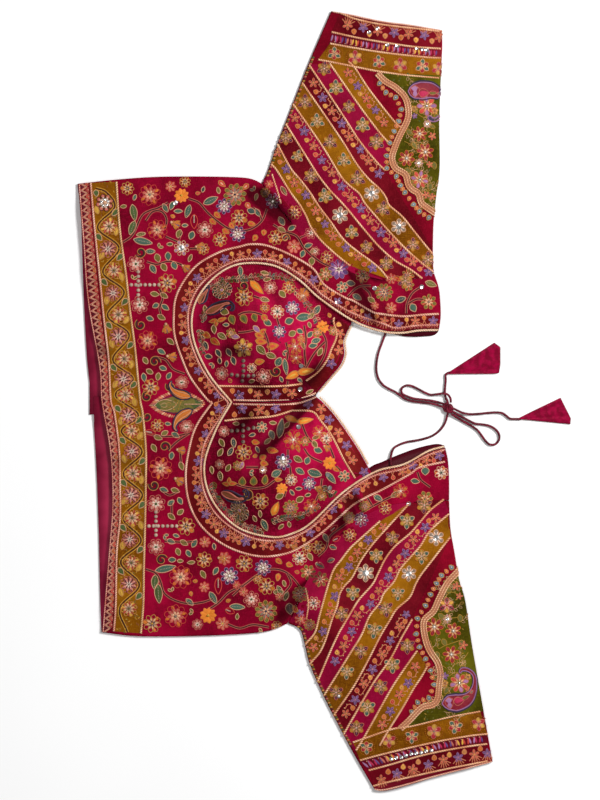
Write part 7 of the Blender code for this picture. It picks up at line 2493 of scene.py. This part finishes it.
def embroider_braid(work, one, other):
    """Pairs of slanting drops between two lines, in a few colours."""
    shares = np.linspace(0.015, 0.985, BRAID_STATIONS)
    low, high = at_shares(one, shares), at_shares(other, shares)
    for k in range(BRAID_STATIONS - 1):
        colour = ("lilac", "pink", "purple", "rose", "yellow", "coral")[(k // 2) % 6]
        lean = 0.45 if k % 2 else -0.45
        base = low[k] + (high[k] - low[k]) * 0.2
        tip = low[k] + (high[k] - low[k]) * 0.84 + (low[k + 1] - low[k]) * lean
        work.satin(blade(base, tip, 2.3, 0.8, 4), 0.6, colour)
        if k % 2:
            work.bead(*(low[k] + (high[k] - low[k]) * 0.78), 0.6, "cream", 0.9, 5)


def olive_sprig(work, place, angle):
    """Short curved stem with open leaves, in pale olive thread."""
    line = smooth_line(turned([(0.0, 0.0), (3.5, 1.2), (7.0, 0.6), (10.0, -1.2)], angle) + place, 6)
    if not work.over(line).all():
        return
    work.cord(line, 0.34, "cream", 0.6, 1.4, RIDGE, smooth=False)
    for k, share in enumerate((0.25, 0.5, 0.75, 1.0)):
        base = at_shares(line, (share,))[0]
        lean = 0.0 if share == 1.0 else 48.0 * (-1.0) ** k
        tip = base + spoke(4.2, angle + lean)
        line_colour = ("cream", "mustard_yellow", "cream", "gold")[k]
        loop(work, base, tip, 2.4, line_colour, (None, "green")[k % 2])


def embroider_olive_field(work, side):
    """The olive field behind the scalloped cord, with its paisley and vines."""
    scallop = smooth_line(SCALLOPS[side], 10)
    fold = pattern_of(smooth_line(SLEEVE_OUTER[side], 24))
    first, last = sorted((scallop[0][1], scallop[-1][1]))
    fold = fold[(fold[:, 1] > first) & (fold[:, 1] < min(last, OLIVE_END))]
    if (fold[0][1] < fold[-1][1]) != (scallop[0][1] < scallop[-1][1]):
        fold = fold[::-1]
    work.ground(scallop, fold - (0.4, 0.0), "olive_ground", lift=OLIVE_LIFT, smooth=False)
    work.base = OLIVE_LIFT
    work.cord(scallop, 2.1, "ribbon", 0.6, smooth=False)
    work.cord(scallop, 0.6, "peach_cord", 0.9, smooth=False)
    for distance in (-2.6, 2.6):
        work.cord(offset_line(scallop, distance), 0.7, "peach_cord", 1.1, smooth=False)
    places = [np.array(spot, float) for spot in SCALLOP_DROPS[side]]
    between = [(one + other) / 2.0 for one, other in zip(places, places[1:])]
    for spots, size, colour, edge in ((between, 4.8, "orange", "peach"), (places, 6.2, "blue_grey", "gold")):
        for u, v in spots:
            foot = nearest_on(scallop, (u, v))
            angle = heading((u - foot[0], v - foot[1]))
            work.drop(u, v, size, size * 0.78, angle, colour, edge)
            work.bead(u, v, size * 0.13, "white", 1.1, 5)
    paisley = OLIVE_PAISLEYS[side]
    for share, fill, line in ((1.0, "navy", "navy"), (0.84, "deep_red", "lilac")):
        work.body(paisley["spine"], paisley["halves"], fill, line, share)
        work.base += 0.25
    for colour, u, v, length, width, angle in paisley["leaves"]:
        work.drop(u, v, length, width, angle, colour, "rose")
    work.base -= 0.5
    if paisley["tail"]:
        work.body(paisley["tail"], ((0.0, 1.3), (0.5, 1.7), (0.9, 2.1), (1.0, 0.8)), "navy", "lilac")
    for line in OLIVE_VINES[side]:
        work.cord(line, 0.38, "mustard_yellow", 0.8, 1.4, RIDGE)
    for u, v, length, width, angle in OLIVE_LEAVES[side]:
        work.leaf(u, v, length, width, angle, "olive", "mustard_yellow", "green")
    work.base -= 0.3
    for k in range(OLIVE_STITCHES):
        u, v, turn = work.random.random(3)
        spot = (fold[int(u * (len(fold) - 1))] * (0.06 + 0.76 * v) +
                scallop[int(u * (len(scallop) - 1))] * (0.94 - 0.76 * v))
        work.drop(*spot, 3.4, 1.8, 360.0 * turn, ("olive", "mustard_yellow", "green")[k % 3])
        if k % 4 == 0:
            olive_sprig(work, spot, 360.0 * turn)
    work.base += 0.3
    for style, rows in OLIVE_BLOOMS[side].items():
        for u, v, radius in rows:
            work.flower(u, v, radius, style)
    work.base = 0.0


def embroider_sleeve(side, cloths, threads, seed):
    work = Needlework("sleeve_embroidery_" + side, cloths, threads, seed)
    embroider_stripes(work, side)
    embroider_olive_field(work, side)
    embroider_cuff(work, side)
    return work.drape()


# ---------------------------------------------------------------- strings
DORI_JOINTS = {
    "dori_right": ("dori_right_lead", "dori_right_tail"),
    "dori_left": ("dori_left_lead", "dori_left_tail"),
}
DORI_STEP = 1.2         # between the rings of a string's mesh
DORI_TWIST = {"lobes": 2, "pitch": 7.0, "bulge": 0.12}
KNOT_GIRTH = 0.75       # width of one of a strand's sides, in its stitch coordinates
TASSEL_ROWS = 37        # mesh points from its tip to its wide end
TASSEL_COLUMNS = 41     # and across it
KEEP_TRIES = 40         # most steps by which a point is pulled back inside
KEEP_STEP = 0.03        # share of the way to the tip in each of them
TASSEL_POINT = 0.03     # share of the way down at which the cloth starts
TASSEL_ROOTS = {"dori_right": (237.0, -18.6, 1.5), "dori_left": (166.4, 28.2, 1.5)}
KNOT_TURNS = (
    # centre offset x, y, z   half width x, y   tilt   start and sweep in degrees
    ((-1.4, 0.4, 0.3), (2.9, 3.9), 0.35, 20.0, 400.0),
    ((1.5, -0.6, 0.2), (2.7, 3.8), -0.4, 200.0, 400.0),
    ((0.1, 0.0, 0.9), (3.1, 2.3), 0.2, 90.0, 330.0),
)


def string_path(*routes, root=None):
    """Evenly stepped line along one or more string routes, joined through the knot."""
    points = list(DORI_ROUTES[routes[0]])
    for route in routes[1:]:
        points += [(KNOT_CENTRE[0], KNOT_CENTRE[1], KNOT_CENTRE[2] + 0.2)]
        points += list(DORI_ROUTES[route])
    if root:
        points.append(root)
    return spaced(smooth_line(points), DORI_STEP)


def tassel_cloth(name, material):
    """Cloth triangle folded to a point: pleats fan out from the string's end."""
    outline = np.array(TASSELS[name], float)
    if name == "tassel_left":
        tip = outline[0]
        ends = outline[2:7]
    else:
        tip = (outline[0] + outline[-1]) / 2.0
        ends = outline[4:7]
    wide = at_shares(ends, np.linspace(0.0, 1.0, TASSEL_COLUMNS))
    rows = np.linspace(TASSEL_POINT, 1.0, TASSEL_ROWS)
    columns = len(wide)
    hull = closed_run(outline)
    points = []
    low = TASSEL_LIFT
    high = TASSEL_LIFT + TASSEL_THICKNESS
    across = np.linspace(0.0, 1.0, columns)
    for level in (0, 1):
        for row in rows:
            place = tip + (wide - tip) * row
            place = keep_inside(place, hull, tip)
            pleat = np.sin(across * math.pi * 5.0 + 0.7 * np.sin(across * 9.0)) * 0.5 * min(1.0, row * 2.0)
            edge = np.clip(np.minimum(across, 1.0 - across) * 9.0, 0.0, 1.0) ** 0.5
            top = low + 0.9 + (high - low - 1.1) * edge * (0.72 + 0.28 * (1.0 - row)) + 0.45 * pleat * edge
            height = np.full(columns, low) if level == 0 else top
            points.append(with_height(place, height))
    count = len(rows)
    faces = []
    for level in (0, 1):
        start = level * count * columns
        for face in grid_faces(count, columns):
            moved = tuple(start + k for k in face)
            faces.append(moved if level == 0 else moved[::-1])
    top = count * columns
    rim = list(range(columns))
    rim += [row * columns + columns - 1 for row in range(1, count)]
    rim += [(count - 1) * columns + k for k in range(columns - 2, -1, -1)]
    rim += [row * columns for row in range(count - 2, 0, -1)]
    for a, b in zip(rim, rim[1:] + rim[:1]):
        faces.append((a, b, top + b, top + a))
    mesh = mesh_from(name + "_cloth", np.vstack(points), faces)
    agree_faces(mesh)
    write_uvs(mesh, np.vstack(points)[:, :2])
    return new_piece(name + "_cloth", mesh, material, name)


def keep_inside(points, hull, tip):
    """Pull points towards the tip until they lie inside the outline."""
    kept = points.copy()
    for k in range(len(kept)):
        for _ in range(KEEP_TRIES):
            if inside(kept[k], hull):
                break
            kept[k] = kept[k] + (tip - kept[k]) * KEEP_STEP
    return kept


def make_knot(materials):
    """The strands wound over each other where the bow is tied."""
    centre = np.array(KNOT_CENTRE)
    pieces = []
    for (dx, dy, dz), (wide, long), tilt, start, sweep in KNOT_TURNS:
        turns = np.radians(np.linspace(start, start + sweep, 60))
        x = centre[0] + dx + wide * np.cos(turns)
        y = centre[1] + dy + long * np.sin(turns)
        z = centre[2] + dz + 1.1 * np.sin(turns + tilt * 4.0) * np.cos(tilt)
        pieces.append(np.column_stack([x, y, z]))
    points, faces, coords = [], [], []
    for path in pieces:
        rings, run = rope_rings(path, DORI_DIAMETER / 2.0, **DORI_TWIST)
        faces += tube_faces(len(path), sum(len(each) for each in points))
        points.append(rings)
        coords.append(rope_coords(run, KNOT_GIRTH))
    mesh = mesh_from("knot", np.vstack(points), faces)
    write_uvs(mesh, np.vstack(coords))
    return new_piece("bow_knot", mesh, materials["dori"], "dori_knot")


def make_strings(materials):
    """The four strings of the bow, with the knot and the tassels."""
    knot = make_knot(materials)
    tassels = {side: tassel_cloth("tassel_" + side, materials["tassel_silk"]) for side in SIDES}
    for name, routes in DORI_JOINTS.items():
        path = string_path(*routes, root=TASSEL_ROOTS[name])
        piece = rope(name + "_string", path, DORI_DIAMETER / 2.0, materials["dori"], **DORI_TWIST)
        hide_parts(*routes)
    for name in ("bow_loop_west", "bow_loop_east"):
        path = string_path(name)
        piece = rope(name + "_string", path, DORI_DIAMETER / 2.0, materials["dori"], **DORI_TWIST)
        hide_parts(name)


# ---------------------------------------------------------------- studio
CAMERA_AT = (0.0165, 0.0005, 3.0)
CAMERA_LENS = 90.0      # millimetres, like the sensor
SENSOR = 24.0           # with that lens, 0.8 m of floor fill the picture's height
FLOOR_REACH = 3.0       # from the middle of the floor to its edges
FLOOR_DROP = 0.0004     # keeps the floor just clear of the cloth's underside
SKY_STRENGTH = 0.2


def make_camera():
    data = bpy.data.cameras.new("camera")
    data.sensor_fit = "VERTICAL"
    data.sensor_height = SENSOR
    data.lens = CAMERA_LENS
    camera = bpy.data.objects.new("camera", data)
    camera.location = CAMERA_AT
    bpy.context.scene.collection.objects.link(camera)
    bpy.context.scene.camera = camera


def area_light(name, place, aim, size, watts):
    data = bpy.data.lights.new(name, "AREA")
    data.shape = "DISK"
    data.size = size
    data.energy = watts
    light = bpy.data.objects.new(name, data)
    light.location = place
    light.rotation_euler = (Vector(aim) - Vector(place)).to_track_quat("-Z", "Y").to_euler()
    bpy.context.scene.collection.objects.link(light)


def make_studio(materials):
    mesh = bpy.data.meshes.new("floor")
    corners = [(x * FLOOR_REACH, y * FLOOR_REACH, 0.0) for x, y in ((-1, -1), (1, -1), (1, 1), (-1, 1))]
    mesh.from_pydata(corners, [], [(0, 1, 2, 3)])
    floor = bpy.data.objects.new("floor", mesh)
    floor.data.materials.append(materials["floor"])
    floor.location.z = -FLOOR_DROP
    bpy.context.scene.collection.objects.link(floor)
    world = bpy.data.worlds.new("studio")
    world.use_nodes = True
    background = world.node_tree.nodes["Background"]
    background.inputs["Color"].default_value = (1.0, 1.0, 1.0, 1.0)
    background.inputs["Strength"].default_value = SKY_STRENGTH
    bpy.context.scene.world = world
    area_light("key", (1.45, 0.8, 1.85), (0.0, 0.0, 0.0), 0.7, 67.0)
    area_light("fill", (-0.9, -0.7, 2.3), (0.0, 0.0, 0.0), 1.6, 18.0)
    bpy.context.scene.view_settings.view_transform = "Standard"


def cut_of(points):
    """Width and length of the box round plane points, in metres."""
    spread = (points.max(0) - points.min(0)) * MM
    return float(spread[1]), float(spread[0])


def declare_sheet(outline, layers=1.0, swell=1.0):
    """Width and length of the outline that a piece of cloth was cut to, worked out but not used."""
    width, length = cut_of(outline)
    width, length = width * layers * swell ** 0.5, length * swell ** 0.5


# ---------------------------------------------------------------- the blouse
def make_blouse(materials):
    cloths = {"front": front_cloth(materials)}
    for side in SIDES:
        cloths["back_" + side] = back_cloth(side, materials)
        cloths["cup_" + side] = cup_cloth(side, materials)
        cloths["sleeve_" + side] = sleeve_cloth(side, materials)
    return cloths


def make_piping(materials):
    line = spaced(offset_line(front_stations()[0], PIPING_RADIUS), 1.6)
    path = with_height(line, layer_height(line) + PIPING_RADIUS)
    piece = rope("neck_cord", path, PIPING_RADIUS, materials["piping_gold"], lobes=2, pitch=5.0,
                 bulge=0.2)
    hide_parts("neck_piping")
    cords = {"front": [piece]}
    for side in SIDES:
        lobe, _, seam, top = cup_edges(side)
        height = cup_edge_heights(lobe, seam, top)[2]
        line = offset_line(smooth_line(CUP_TOP[side]), CUP_PIPING_RADIUS * OUTWARD[side])[::-1]
        shares = np.linspace(CUP_PIPING_START, CUP_PIPING_END[side], 70)
        line = at_shares(line, shares)
        level = np.interp(shares, np.linspace(0.0, 1.0, len(top)), height) - WALL / 2.0
        piece = rope("cup_cord_" + side, with_height(line, level), CUP_PIPING_RADIUS,
                     materials["piping_gold"], lobes=2, pitch=4.0, bulge=0.2)
        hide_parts("cup_piping_" + side)
        cords["cup_" + side] = [piece]
    return cords


def declare_blouse():
    front_inner, front_outer = front_stations()
    declare_sheet(np.vstack([front_inner, front_outer[::-1]]))
    for side in SIDES:
        lobe, _, seam, top = cup_edges(side)
        declare_sheet(np.vstack([lobe, seam, top]),
                      swell=1.2)
        neck = smooth_line(BACK_NECK[side])
        edge = np.vstack([smooth_line(SIDE[side])[::-1], smooth_line(ARMHOLE[side])[::-1][1:]])
        outline = np.vstack([neck, smooth_line(BACK_HEM[side])[::-1], edge])
        declare_sheet(outline)
        sleeve = np.vstack([smooth_line(ARMHOLE[side]), smooth_line(SLEEVE_INNER[side]),
                            smooth_line(CUFF[side]), smooth_line(SLEEVE_OUTER[side])[::-1]])
        declare_sheet(sleeve, layers=2.0)


materials = make_materials()
make_camera()
make_strings(materials)
cloths = make_blouse(materials)
extras = make_piping(materials)
threads = make_threads()
shell = [cloths["front"], cloths["sleeve_right"], cloths["sleeve_left"]]
extras["front"] += embroider_front(shell, threads)
for seed, side in enumerate(SIDES):
    extras["sleeve_" + side] = [embroider_sleeve(side, shell, threads, 40 + seed)]
    extras["cup_" + side] += [embroider_cup(side, [cloths["cup_" + side]], threads, 60 + seed)]
declare_blouse()
make_studio(materials)
